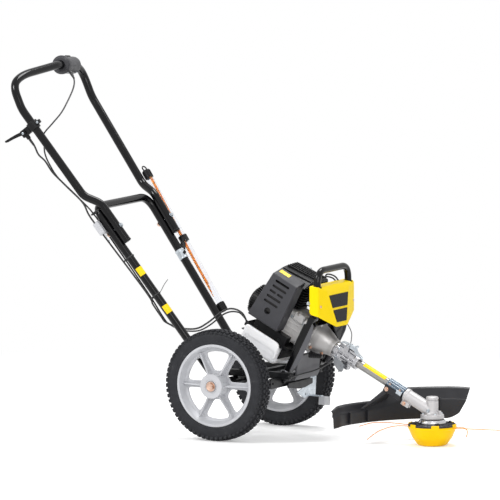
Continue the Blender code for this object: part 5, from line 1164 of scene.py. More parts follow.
@dataclass
class CableRun:
    """Stop wire and throttle cable with their ties, boots and clip."""

    stop_radius: float = 0.0024
    throttle_radius: float = 0.0028

    def stop_path(self) -> list[Vector]:
        """Route of the stop wire from the control housing to the engine."""
        points = mm([(-637, 35, 1067), (-622, 20, 1045), (-610, -10, 1024), (-595, -70, 994),
                     (-588, -125, 962), (-595, -170, 932), (-613, -192, 900), (-608, -196.5, 872),
                     (-602, -203, 845), (-585, -205, 812), (-552, -200, 766), (-475, -176, 690),
                     (-455, -160, 660), (-425, -153, 619), (-286, -130, 428), (-242, -114, 354),
                     (-229, -98, 331), (-196, -78, 312), (-156, -48, 309), (-129, -19, 326),
                     (-100, 1, 354), (-78, 11, 365), (-54, 12, 366), (-37, 12, 359)])
        return points + [shaft_point(-0.39, 0.012, -0.091), shaft_point(-0.39, 0.012, -0.1003)]

    def throttle_path(self) -> list[Vector]:
        """Route of the throttle cable from the lever to the engine."""
        pin = upper_point(THROTTLE_X, Side.RIGHT)
        along = (upper_point(HANDLE_START_X, Side.RIGHT) - pin).normalized()
        nose = pin - PLANE_NORMAL * PIN_OFF
        points = [nose + along * 0.0249, nose + along * 0.05, (-0.618, -0.214, 0.841),
                  (-0.594, -0.2155, 0.822), (-0.569, -0.213, 0.788), (-0.531, -0.207, 0.753),
                  (-0.475, -0.198, 0.701), (-0.457, -0.19, 0.663), (-0.425, -0.184, 0.62),
                  (-0.286, -0.14, 0.43), (-0.265, -0.135, 0.393), (-0.242, -0.125, 0.356),
                  (-0.233, -0.11, 0.337), (-0.196, -0.09, 0.32), (-0.156, -0.06, 0.317),
                  (-0.131, -0.03, 0.334), (-0.1, -0.01, 0.363), (-0.078, 0.0, 0.375),
                  (-0.054, 0.0, 0.376), (-0.033, 0.0, 0.368), (-0.021, 0.0, 0.355)]
        return points + [shaft_point(-0.39, 0.0, -0.091), shaft_point(-0.39, 0.0, -0.0999)]

    def ribbed_sleeve(self, wide: float, narrow: float, length: float, ribs: int) -> Mesh:
        """Tapered strain relief with rings, standing on Z 0."""
        profile = [(0.0, 0.0), (wide, 0.0)]
        for index in range(ribs):
            share = (index + 0.5) / ribs
            radius = wide + (narrow - wide) * share
            z = length * share
            profile += [(radius, z - length * 0.22 / ribs), (radius - 0.0006, z - length * 0.14 / ribs),
                        (radius - 0.0006, z + length * 0.14 / ribs), (radius, z + length * 0.22 / ribs)]
        return lathe(profile + [(narrow, length), (0.0, length)], 28)

    def grommet(self, radius: float, path: Sequence[Vector]) -> Mesh:
        """Short tapered grommet at the end of a cable's path."""
        profile = [(0, 0), (radius, 0), (radius - 0.0006, 0.009), (0, 0.009)]
        return stood(turned(profile, 0.001, 3, 28), path[-1], path[-2] - path[-1])

    def cables(self) -> None:
        """The two cables with their boots, ferrule and end grommets."""
        stop, throttle = self.stop_path(), self.throttle_path()
        bm = hose(flowing(stop), self.stop_radius, 12)
        start, tip = Vector((-0.6455, 0.035, 1.0719)), Vector((-0.63, 0.0275, 1.0567))
        weld(bm, stood(self.ribbed_sleeve(0.0052, 0.003, (tip - start).length + 0.006, 5), start,
                       tip - start))
        weld(bm, rod(start + Vector((-0.012, -0.001, 0.0)), start + Vector((0.0, 0.004, 0.0)), 0.0016))
        weld(bm, self.grommet(0.0046, stop))
        publish(bm, "stop_wire", CABLE_SHEATH, stands_for=["stop_cable"])
        bm = hose(flowing(throttle), self.throttle_radius, 12)
        weld(bm, stood(self.ribbed_sleeve(0.0045, 0.0036, 0.022, 4), throttle[0],
                       throttle[1] - throttle[0]))
        weld(bm, self.grommet(0.005, throttle))
        publish(bm, "bowden_cable", CABLE_SHEATH, stands_for=["throttle_cable"])

    def tie(self, x: float, reach: float, tail: float) -> Mesh:
        """Nylon tie round the right leg and the cables behind it.

        Args:
            x: place along the leg.
            reach: how far behind the tube the loop goes.
            tail: length of the cut end that stands off.

        Returns:
            The tie with its lock.
        """
        r = 0.0138
        loop = [(r * math.cos(a), r * math.sin(a)) for a in [math.pi * i / 12 for i in range(13)]]
        loop += [(-0.01, -r * 0.5 - reach), (0.01, -r * 0.5 - reach)]
        bm = hose(rounded([Vector((*p, 0)) for p in loop], 0.004, 3, closed=True), 0.0009, 8, closed=True)
        bmesh.ops.scale(bm, vec=(1.0, 1.0, 2.6), verts=bm.verts)
        weld(bm, soft_box((0.0125, -0.003, -0.0032), (0.017, 0.004, 0.0032), 0.0008, 2))
        if tail:
            route = rounded([(0.015, 0.0, 0.0), (0.02, 0.012, -0.004), (0.012, tail * 0.6, -0.012),
                             (0.004, tail, -0.016)], 0.01, 4)
            weld(bm, hose(route, 0.001, 8))
        return moved(bm, leg_axes(x, Side.RIGHT))

    def ties(self) -> None:
        """Three ties that hold the cables to the right leg."""
        bm = weld(self.tie(-0.44, 0.014, 0.0), self.tie(-0.335, 0.012, 0.0), self.tie(-0.25, 0.012, 0.06))
        publish(bm, "cable_ties", CABLE_SHEATH)

    def clip(self) -> None:
        """Grey moulded clip that both cables run through, and the spring end that stands out of it."""
        bm = refined("cable_clip", 0.0006, 2)
        publish(bm, "cable_guide", GREY_POLYPROPYLENE, stands_for=["cable_clip"])
        wire = flowing(mm([(12, -30, 30), (14, -31, 46), (10, -30, 60), (4, -27, 74)]))
        publish(hose(wire, 0.0009, 10), "clip_spring_end", ZINC, place=leg_axes(-0.424, Side.RIGHT))

    def build(self) -> None:
        """Build cables, ties and clip."""
        self.cables()
        self.ties()
        self.clip()


@dataclass
class SpareLine:
    """Clear tube of spare line with its caps, its strands, clip and strap on the left leg."""

    top: Vector = field(default_factory=lambda: Vector((-0.475, 0.211, 0.754)))
    bottom: Vector = field(default_factory=lambda: Vector((-0.1785, 0.157, 0.352)))
    radius: float = 0.011
    wall: float = 0.0015
    cap_radius: float = 0.0135
    clip_share: float = 0.487

    def axes(self) -> Matrix:
        """Axes at the tube's top, Z down the tube."""
        return facing(self.top, self.bottom - self.top)

    def length(self) -> float:
        """Length of the tube."""
        return (self.bottom - self.top).length

    def tube(self) -> None:
        """Clear extruded tube."""
        inner, long = self.radius - self.wall, self.length()
        section = [(inner, 0.0), (self.radius, 0.0), (self.radius, long), (inner, long)]
        publish(lathe(section, 48, closed=True), "clear_tube", CLEAR_TUBE, stands_for=["spare_line_tube"],
                place=self.axes())

    def cap(self) -> Mesh:
        """Push on cap with fine grip ribs, open towards +Z."""
        r = self.cap_radius
        section = [(0.0, -0.001), (self.radius + 0.0003, -0.001), (self.radius + 0.0003, 0.022),
                   (r, 0.022), (r, 0.0195), (r - 0.0006, 0.019), (r - 0.0006, -0.003),
                   (r - 0.002, -0.0058), (0.0, -0.0058)]
        bm = turned(section, 0.0008, 3, 48)
        rib = soft_box((r - 0.001, -0.0005, -0.002), (r + 0.0001, 0.0005, 0.0185), 0.0002, 1)
        return weld(bm, repeated(rib, 28))

    def caps(self) -> None:
        """Top cap with its carrying loop, and the bottom cap."""
        top = weld(self.cap(), moved(ring(0.0085, 0.0021, 40),
                                     Matrix.Translation((0, 0, -0.0125)) @ spun(90, "X")))
        publish(top, "top_cap_with_loop", BLACK_NYLON, Body.TUBE_CAP, ["tube_top_cap"], self.axes())
        flipped = Matrix.Translation((0, 0, self.length())) @ spun(180, "X")
        publish(moved(self.cap(), flipped), "bottom_cap", BLACK_NYLON, stands_for=["tube_bottom_cap"],
                place=self.axes())

    def strands(self) -> None:
        """Folded orange strands that lie on the wall and bow across the tube."""
        bm = bmesh.new()
        reach = self.radius - self.wall - 0.0022
        long = self.length()
        for lane, phase in enumerate((0.0, 0.35, 0.8, 1.3)):
            side = (lane - 1.5) * 0.0034
            end = 0.88 - 0.03 * lane
            path = []
            for step in range(33):
                share = step / 32
                bow = (reach - 0.002) * math.cos(math.pi * 1.2 * share + 0.25 * math.sin(phase + 5 * share))
                limit = math.sqrt(max(1e-9, reach ** 2 - side ** 2))
                path.append(Vector((side, max(-limit, min(limit, bow)), 0.01 + share * end * long)))
            weld(bm, hose(path, 0.00125, 10))
        publish(bm, "spare_strands", ORANGE_LINE, stands_for=["spare_line"], place=self.axes())

    def clip(self) -> None:
        """Black clip on a zinc strap with its thumb screw."""
        publish(refined("tube_clip", 0.0008, 2), "tube_holder", BLACK_NYLON, stands_for=["tube_clip"])
        place = self.top.lerp(self.bottom, self.clip_share)
        start = leg_point(place.x + 0.012, Side.LEFT) - leg_down(Side.LEFT) * 0.016
        r = 0.0125
        section = [(r + 0.0003, 0), (r + 0.0022, 0), (r + 0.0022, 0.004), (r + 0.0016, 0.005),
                   (r + 0.0016, 0.027), (r + 0.0022, 0.028), (r + 0.0022, 0.032), (r + 0.0003, 0.032)]
        band = turned(section, 0.0004, 2, 64, closed=True)
        publish(band, "leg_strap", ZINC, stands_for=["tube_strap"],
                place=facing(start, leg_down(Side.LEFT)))
        axes = leg_axes(place.x + 0.012, Side.LEFT)
        screw = stood(cap_screw(0.0052, 0.004), (-0.004, 0.014, 0.0), (-0.2, 1.0, 0.0))
        publish(screw, "strap_screw", BLACK_NYLON, place=axes)

    def build(self) -> None:
        """Build tube, caps, strands and clip."""
        self.tube()
        self.caps()
        self.strands()
        self.clip()


# Chassis


@dataclass
class Chassis:
    """Engine bed on the axle tube, undershield, cross bar and the scraper by the left tyre."""

    rail_low: float = 0.1863
    rail_size: float = 0.02
    rail_y: float = 0.1
    rail_rear: float = -0.02
    rail_front: float = 0.192
    bar_x: float = 0.14
    bar_half: float = 0.14
    scraper_x: float = 0.1443
    scraper_y: float = 0.132
    shelf_z: float = 0.106

    def bed(self) -> None:
        """Two square rails with open ends, two ties and the wide cross bar, welded together."""
        low, high = self.rail_low, self.rail_low + self.rail_size
        bm = bmesh.new()
        ends = ((self.rail_rear, 0.03), (self.rail_front, 0.0015))
        for side in Side:
            y = side.value * self.rail_y
            rail = soft_box((self.rail_rear, y - 0.01, low), (self.rail_front, y + 0.01, high), 0.0025)
            bores = [soft_box((x - reach, y - 0.008, low + 0.002), (x + reach, y + 0.008, high - 0.002),
                              0.001, 1) for x, reach in ends]
            weld(bm, carved(rail, *bores))
            seam = y - side.value * 0.0105
            for x in (0.055, 0.075):
                weld(bm, hose([(x, seam, low + 0.004), (x, seam, high - 0.004)], 0.0014, 10))
        weld(bm, soft_box((self.rail_front - 0.016, -0.092, low + 0.003),
                          (self.rail_front - 0.001, 0.092, high - 0.003)))
        weld(bm, soft_box((0.055, -0.092, low + 0.004), (0.075, 0.092, high - 0.004)))
        half = self.bar_half
        outline = rounded([(-half, low - 0.03), (half, low - 0.03), (half, low + 0.002),
                           (-half, low + 0.002)], 0.006, 5, closed=True)
        holes = [circle(0.0042, 24, (y, low - 0.014)) for y in (-0.127, -0.06, 0.06, 0.114)]
        weld(bm, moved(plate([outline, *holes], 0.008, 0.001), Matrix.Translation((self.bar_x, 0, 0))
                       @ UPRIGHT))
        publish(bm, "engine_bed_frame", SATIN_BLACK, stands_for=["engine_bed"])

    def bed_bolts(self) -> None:
        """Painted bolts through the cross bar and on top of the rails."""
        bar_spots = [(self.bar_x + 0.004, y, self.rail_low - 0.014) for y in (-0.06, 0.06)]
        rail_spots = [(x, side.value * self.rail_y, self.rail_low + self.rail_size)
                      for side in Side for x in (0.02, 0.165)]
        publish(weld(fasteners(hex_bolt, (0.0065, 0.0048, 0.0085), bar_spots, (1, 0, 0)),
                     fasteners(hex_bolt, (0.0055, 0.0042, 0.0075), rail_spots, (0, 0, 1))), "bed_bolts",
                SATIN_BLACK)

    def undershield(self) -> None:
        """Folded sheet below the clutch bell, its stiffener and the thin rod in front of it."""
        publish(refined("undershield", 0.0009, 3), "undershield_sheet", GREY_SHEET_AND_SHEEN,
                stands_for=["undershield"])
        bm = hose(flowing(mm([(208, -140, 196.5), (208.5, -50, 199), (209, 35, 201.9),
                              (210, 138, 217.4)])), 0.0026, 12)
        knob = turned(mm([(0, -7), (5.5, -6), (6.6, 0), (5, 6), (0, 7)]), 0.0015, 3, 32)
        weld(bm, stood(knob, (0.208, -0.142, 0.1965), (0, 1, 0)))
        outline = rounded(mm([(-50, 166), (110, 166), (110, 150), (60, 142), (20, 142), (-50, 152)]),
                          0.003, 4, closed=True)
        weld(bm, moved(plate([outline], 0.004, 0.0008), Matrix.Translation((0.154, 0, 0)) @ UPRIGHT))
        weld(bm, rod((0.2035, -0.0735, 0.256), (0.2035, 0.0735, 0.256), 0.0034))
        publish(bm, "front_rod_and_stiffener", SATIN_BLACK)

    def scraper(self) -> None:
        """Zinc bracket with its bolt, and the ribbed grey block under its shelf."""
        x, y, z = self.scraper_x, self.scraper_y, self.shelf_z
        radii = [0.004, 0.004, 0.004, 0.003, 0.006, 0.003, 0.002, 0.004, 0.004]
        outline = rounded(mm([(-20, 75), (20, 75), (12, 0), (-4, 0), (-30, 4), (-59, 0), (-108, 23),
                              (-34, 44), (-21, 54)]), radii, 5, closed=True)
        holes = [circle(0.003, 24, (0.0, 0.064)), circle(0.0035, 32, (-0.052, 0.012))]
        place = Matrix.Translation((x + 0.0015, y, z + 0.001)) @ UPRIGHT
        bm = moved(plate([outline, *holes], 0.003, 0.0005), place)
        weld(bm, soft_box((x, y, z), (x + 0.03, y + 0.012, z + 0.004), 0.0012))
        weld(bm, stood(hex_bolt(0.006, 0.0045, 0.008), (x + 0.003, y, z + 0.065), (1, 0, 0)))
        publish(bm, "scraper_bracket_sheet", ZINC, stands_for=["scraper_bracket"])
        top = z - 0.0003
        x, y = x + 0.006, y + 0.006
        block = soft_box((x + 0.006, y + 0.01, top - 0.0262), (x + 0.028, y + 0.048, top), 0.0022)
        for index in range(5):
            side = y + 0.0135 + index * 0.0072
            weld(block, soft_box((x + 0.0052, side, top - 0.024),
                                 (x + 0.0288, side + 0.0024, top - 0.002), 0.0008, 2))
        pivot = Matrix.Translation((0, y + 0.012, top))
        moved(block, pivot @ spun(-9, "X") @ pivot.inverted())
        publish(block, "scraper_pad", GREY_POLYPROPYLENE, stands_for=["scraper_block"])

    def build(self) -> None:
        """Build bed, bolts, undershield and scraper."""
        self.bed()
        self.bed_bolts()
        self.undershield()
        self.scraper()


# Engine


@dataclass
class EngineShell:
    """Crankcase, cylinder, silencer, covers and starter, in the powertrain's axes."""

    front: float = -0.1803
    case_length: float = 0.16
    case_half: float = 0.05
    cylinder_x: float = -0.285
    cover_front: float = -0.25
    cover_length: float = 0.098
    cover_top: float = 0.1375
    cover_bottom: float = -0.018
    cover_side: float = -0.115
    cover_depth: float = 0.048
    cover_wall: float = 0.002
    slot_length: float = 0.052
    slot_width: float = 0.0075
    slot_pitch: float = 0.0177
    well: tuple[float, float] = (-0.3052, 0.024)
    fan_radius: float = 0.0495
    recoil_radius: float = 0.046
    recoil_length: float = 0.068

    def crankcase(self) -> None:
        """Cast case in two halves with a parting flange, ribs, bosses and ears."""
        front, half = self.front, self.case_half
        bosses = mm(((-248, 32), (-206, 30), (-248, -34)))
        ears = [(y, z) for y in (-0.052, 0.052) for z in (0.036, -0.034)]
        bm = soft_box((front - self.case_length, -half, -0.046), (front, half, 0.044), 0.011, 4)
        weld(bm, soft_box((-0.266, -half - 0.0025, -0.0485), (-0.258, half + 0.0025, 0.0439), 0.002))
        weld(bm, rod((front - 0.03, 0, 0), (front - 0.0004, 0, 0), 0.0485, edge=0.002, steps=72))
        weld(bm, *[rod((front - 0.022, y, z), (front - 0.0008, y, z), 0.011, edge=0.0015) for y, z in ears])
        for z in (-0.022, -0.006, 0.01):
            weld(bm, soft_box((-0.254, -half - 0.0018, z), (-0.206, -half + 0.004, z + 0.003), 0.001))
        for x, z in bosses:
            weld(bm, rod((x, -half + 0.004, z), (x, -half - 0.0045, z), 0.007, 0.0064))
        weld(bm, carved(soft_box((-0.242, -half - 0.012, 0.027), (-0.206, -half + 0.02, 0.054), 0.004),
                        rod((-0.23, -half - 0.02, 0.05), (-0.23, -half + 0.004, 0.05), 0.0048)))
        weld(bm, rod((-0.24, -half - 0.006, -0.035), (-0.22, -half - 0.006, -0.035), 0.0105, edge=0.002))
        # The case's paler colour is painted light against the shade under the covers
        publish(bm, "crankcase_casting", LIT_CASE_ALUMINIUM, stands_for=["crankcase"], place=SHAFT_AXES)
        side_spots = [(x, -half - 0.0044, z) for x, z in bosses]
        ear_spots = [(front - 0.0218, y, z) for y, z in ears]
        screws = weld(fasteners(cap_screw, (0.0044, 0.004), side_spots, (0, -1, 0)),
                      fasteners(cap_screw, (0.005, 0.0045), ear_spots, (-1, 0, 0)))
        publish(screws, "case_screws", ZINC, place=SHAFT_AXES)

    def cylinder(self) -> None:
        """Finned barrel with its ports."""
        x, low = self.cylinder_x, 0.0443
        bm = rod((x, 0, low), (x, 0, 0.1455), 0.029, steps=64)
        for index in range(11):
            reach = 0.0395 if index else 0.0345
            z = low + 0.0085 + index * 0.0083
            outline = rounded([(-reach, -reach), (reach, -reach), (reach, reach), (-reach, reach)], 0.012,
                              6, closed=True)
            weld(bm, moved(plate([outline], 0.002, 0.0006), (x, 0, z)))
        weld(bm, soft_box((x - 0.016, -0.0635, 0.062), (x + 0.016, 0.0, 0.09), 0.002))
        weld(bm, soft_box((x - 0.014, 0.0, 0.062), (x + 0.014, 0.0533, 0.088), 0.002))
        publish(bm, "finned_cylinder", BLACK_CASTING, stands_for=["cylinder"], place=SHAFT_AXES)

    def plug_cap(self) -> None:
        """Ribbed rubber cap on the plug with its lead."""
        start, z = self.cylinder_x + 0.0403, 0.1245
        section = mm([(0, 0), (10.5, 0), (10.5, 4), (9.6, 5), (9.6, 8), (10.3, 9), (10, 12), (9.2, 13),
                      (9, 22), (7.8, 24), (0, 24)])
        bm = stood(turned(section, 0.0006, 2, 40), (start, 0, z), (1, 0, 0))
        lead = rounded([(start + 0.014, 0, z), (start + 0.018, 0.02, z + 0.004),
                        (start + 0.01, 0.048, z - 0.01), (start + 0.002, 0.062, z - 0.04),
                        (start, 0.058, z - 0.07)], 0.016, 8)
        publish(weld(bm, hose(lead, 0.0033, 14)), "plug_cap_and_lead", CABLE_SHEATH,
                stands_for=["spark_plug_cap"], place=SHAFT_AXES)

    def muffler(self) -> None:
        """Pressed silencer box with a rolled seam and stiffening beads."""
        rear, front = self.cover_front - self.cover_length + 0.01, self.cover_front - 0.01
        bm = soft_box((rear, -0.111, 0.015), (front, -0.064, 0.12), 0.01, 4)
        weld(bm, soft_box((rear - 0.0015, -0.089, 0.0135), (front + 0.0015, -0.087, 0.1215), 0.0008, 2))
        for z in (0.045, 0.068, 0.091):
            weld(bm, soft_box((rear + 0.012, -0.1122, z - 0.002), (front - 0.012, -0.108, z + 0.002),
                              0.001))
        # The silencer's near black colour is painted shade behind the cover's slots
        publish(bm, "silencer_box", SHADED_MUFFLER_STEEL, stands_for=["muffler"], place=SHAFT_AXES)

    def slot(self, middle: float, z: float, length: float) -> Mesh:
        """Cutter for one round ended slot in the cover's side."""
        r, half = self.slot_width / 2, length / 2 - self.slot_width / 2
        outline = [(middle + half + x, z + y) for x, y in circle(r, 24)[18:] + circle(r, 24)[:7]]
        outline += [(middle - half + x, z + y) for x, y in circle(r, 24)[6:19]]
        return prism([(x, self.cover_side - 0.008, y) for x, y in outline], (0, 0.016, 0))

    def silencer_cover(self) -> None:
        """Slotted guard with a bevelled top edge, a split middle slot and a screw well."""
        rear, front, side = self.cover_front - self.cover_length, self.cover_front, self.cover_side
        top, bottom, wall = self.cover_top, self.cover_bottom, self.cover_wall
        inside = side + self.cover_depth
        shell = [(side, bottom + 0.004), (side, top), (side + 0.037, top + 0.0125), (inside, top + 0.0125),
                 (inside, bottom), (side + 0.004, bottom)]
        bm = soften(prism([(rear, y, z) for y, z in shell], (front - rear, 0, 0)), 0.0024, 4, 20)
        for vert in bm.verts:
            if vert.co.x < rear + 0.004:
                vert.co.x += 0.006 - 0.019 * (1.0 - (vert.co.z - bottom) / (top - bottom))
        room = [(side + wall, bottom + 0.004 + wall), (side + wall, top - 0.001),
                (side + 0.037, top + 0.0105), (inside + 0.01, top + 0.0105),
                (inside + 0.01, bottom + wall), (side + 0.006, bottom + wall)]
        tools = [prism([(rear + wall + 0.006, y, z) for y, z in room],
                       (front - rear - 2 * wall - 0.006, 0, 0))]
        for index in range(5):
            middle = -0.298 - index * 0.0019
            z = 0.1215 - index * self.slot_pitch
            if index == 2:
                share = self.slot_length * 0.44
                tools += [self.slot(middle - 0.28 * self.slot_length, z, share),
                          self.slot(middle + 0.26 * self.slot_length, z, share)]
            else:
                tools.append(self.slot(middle, z, self.slot_length))
        well = prism([(self.well[0] + x, side - 0.01, self.well[1] + z) for x, z in circle(0.0105, 48)],
                     (0, 0.02, 0))
        bm = carved(bm, *tools, well)
        tube = lathe(mm([(10.5, 0), (10.5, 20), (0, 20), (0, 21.5), (12, 21.5), (12, 0)]), 48, closed=True)
        weld(bm, stood(tube, (self.well[0], side + 0.0006, self.well[1]), (0, 1, 0)))
        publish(bm, "silencer_cover_shell", COVER_SHEET, stands_for=["muffler_cover"], place=SHAFT_AXES)
        screw = stood(cap_screw(0.005, 0.004), (self.well[0], side + 0.0204, self.well[1]), (0, -1, 0))
        publish(screw, "silencer_cover_screw", SATIN_BLACK, place=SHAFT_AXES)

    def cover_sticker(self) -> None:
        """Plain yellow film on the bevelled edge of the silencer cover."""
        slope = Vector((0.0, 0.037, 0.0125)).normalized()
        out = Vector((0.0, -0.0125, 0.037)).normalized()
        turn = Matrix((Vector((1, 0, 0)), slope, out)).transposed().to_4x4()
        middle = Vector((-0.3155, self.cover_side + 0.027, self.cover_top + 0.0091)) + out * 0.0003
        outline = rounded(mm([(-18.5, -7.5), (18.5, -7.5), (18.5, 7.5), (-18.5, 7.5)]), 0.0015, 3,
                          closed=True)
        bm = plate([outline], 0.0005, 0.0001)
        publish(moved(bm, Matrix.Translation(middle) @ turn), "cover_film", PLAIN_STICKER, place=SHAFT_AXES)

    def top_cover(self) -> None:
        """Cooling cover over the cylinder head with its ribs and front lip."""
        rear, front = self.cover_front - self.cover_length, self.cover_front + 0.012
        top = self.cover_top + 0.0003
        section = [(-0.088, top), (-0.06, 0.1545), (-0.03, 0.161), (0.026, 0.164), (0.058, 0.154),
                   (0.066, 0.13), (0.066, 0.1), (0.062, 0.1), (0.062, 0.129), (0.054, 0.15),
                   (-0.03, 0.15), (-0.066, top)]
        radii = [0.001, 0.012, 0.014, 0.014, 0.014, 0.01, 0.001, 0.001, 0.01, 0.006, 0.006, 0.001]
        outline = rounded(section, radii, 6, closed=True)
        bm = soften(prism([(rear, p.x, p.y) for p in outline], (front - rear, 0, 0)), 0.0012, 3, 60)
        for y, z in ((-0.058, 0.1552), (-0.03, 0.1618), (-0.017, 0.1626), (-0.004, 0.1634), (0.009, 0.164),
                     (0.022, 0.164), (0.04, 0.159)):
            weld(bm, soft_box((rear + 0.004, y, z - 0.01), (front - 0.003, y + 0.0034, z + 0.0034), 0.0014))
        for vert in bm.verts:
            if vert.co.z > 0.135:
                far = max(0.0, (rear + 0.03 - vert.co.x) / 0.03)
                vert.co.z -= 0.011 * far ** 1.5
        weld(bm, soft_box((front - 0.006, -0.052, 0.15), (front + 0.0005, 0.05, 0.1575), 0.0015))
        publish(bm, "ribbed_top_cover", BLACK_NYLON, stands_for=["top_cover"], place=SHAFT_AXES)
        spots = [(x, 0.05, 0.1558) for x in (-0.305, -0.252)]
        publish(fasteners(cap_screw, (0.0045, 0.003), spots, (0, 0.33, 1)), "top_cover_screws", ZINC,
                place=SHAFT_AXES)

    def recoil(self) -> None:
        """Fan housing with cooling ribs round it, a stepped face and the rope guide."""
        front = self.front - self.case_length - 0.0003
        r, f, long = self.recoil_radius, self.fan_radius, self.recoil_length
        section = [(0.0, long - 0.003), (0.012, long - 0.003), (0.013, long), (0.028, long),
                   (r - 0.004, long - 0.008), (r - 0.0025, 0.036), (f, 0.031), (f, 0.004),
                   (f - 0.006, 0.0), (0.0, 0.0)]
        bm = turned(section, 0.002, 4, 96)
        rib = soft_box((r - 0.01, -0.0012, 0.033), (r + 0.0018, 0.0012, long - 0.0075), 0.0006, 2)
        weld(bm, repeated(rib, 36))
        spoke = soft_box((0.014, -0.0016, long - 0.0055), (0.031, 0.0016, long + 0.0012), 0.0007, 2)
        weld(bm, repeated(spoke, 12))
        weld(bm, moved(ring(0.031, 0.0012, 72), (0, 0, long - 0.0006)))
        bm = stood(bm, (front, 0, 0), (-1, 0, 0))
        middle = front - long + 0.02
        weld(bm, rod((middle, r - 0.01, 0), (middle, f + 0.004, 0), 0.008, edge=0.0012))
        publish(bm, "recoil_starter_housing", BLACK_NYLON, stands_for=["recoil_housing"], place=SHAFT_AXES)
        angles = [math.pi / 4 + index * math.pi / 2 for index in range(4)]
        spots = [(front - 0.0025, 0.0435 * math.cos(a) * 1.07, 0.0435 * math.sin(a) * 1.07) for a in angles]
        publish(fasteners(cap_screw, (0.0036, 0.0036), spots, (-1, 0, 0)), "recoil_screws", ZINC,
                place=SHAFT_AXES)

    def starter_grip(self) -> None:
        """Grip of the pull starter with its finger ridges."""
        start = (self.front - self.case_length - 0.0003 - self.recoil_length + 0.02,
                 self.fan_radius + 0.0043, 0)
        section = mm([(0, 28), (8.5, 28), (11.8, 25.5), (12, 23), (10, 18.5), (10.6, 16), (9, 13),
                      (9.5, 10.5), (7.8, 6), (7.5, 0), (0, 0)])
        bm = turned(section, 0.0016, 4, 48)
        bmesh.ops.scale(bm, vec=(1.0, 1.6, 1.0), verts=bm.verts)
        publish(stood(bm, start, (0, 1, 0)), "pull_grip", BLACK_NYLON, stands_for=["starter_handle"],
                place=SHAFT_AXES)

    def build(self) -> None:
        """Build the engine block and its covers."""
        for step in (self.crankcase, self.cylinder, self.plug_cap, self.muffler, self.silencer_cover,
                     self.cover_sticker, self.top_cover, self.recoil, self.starter_grip):
            step()


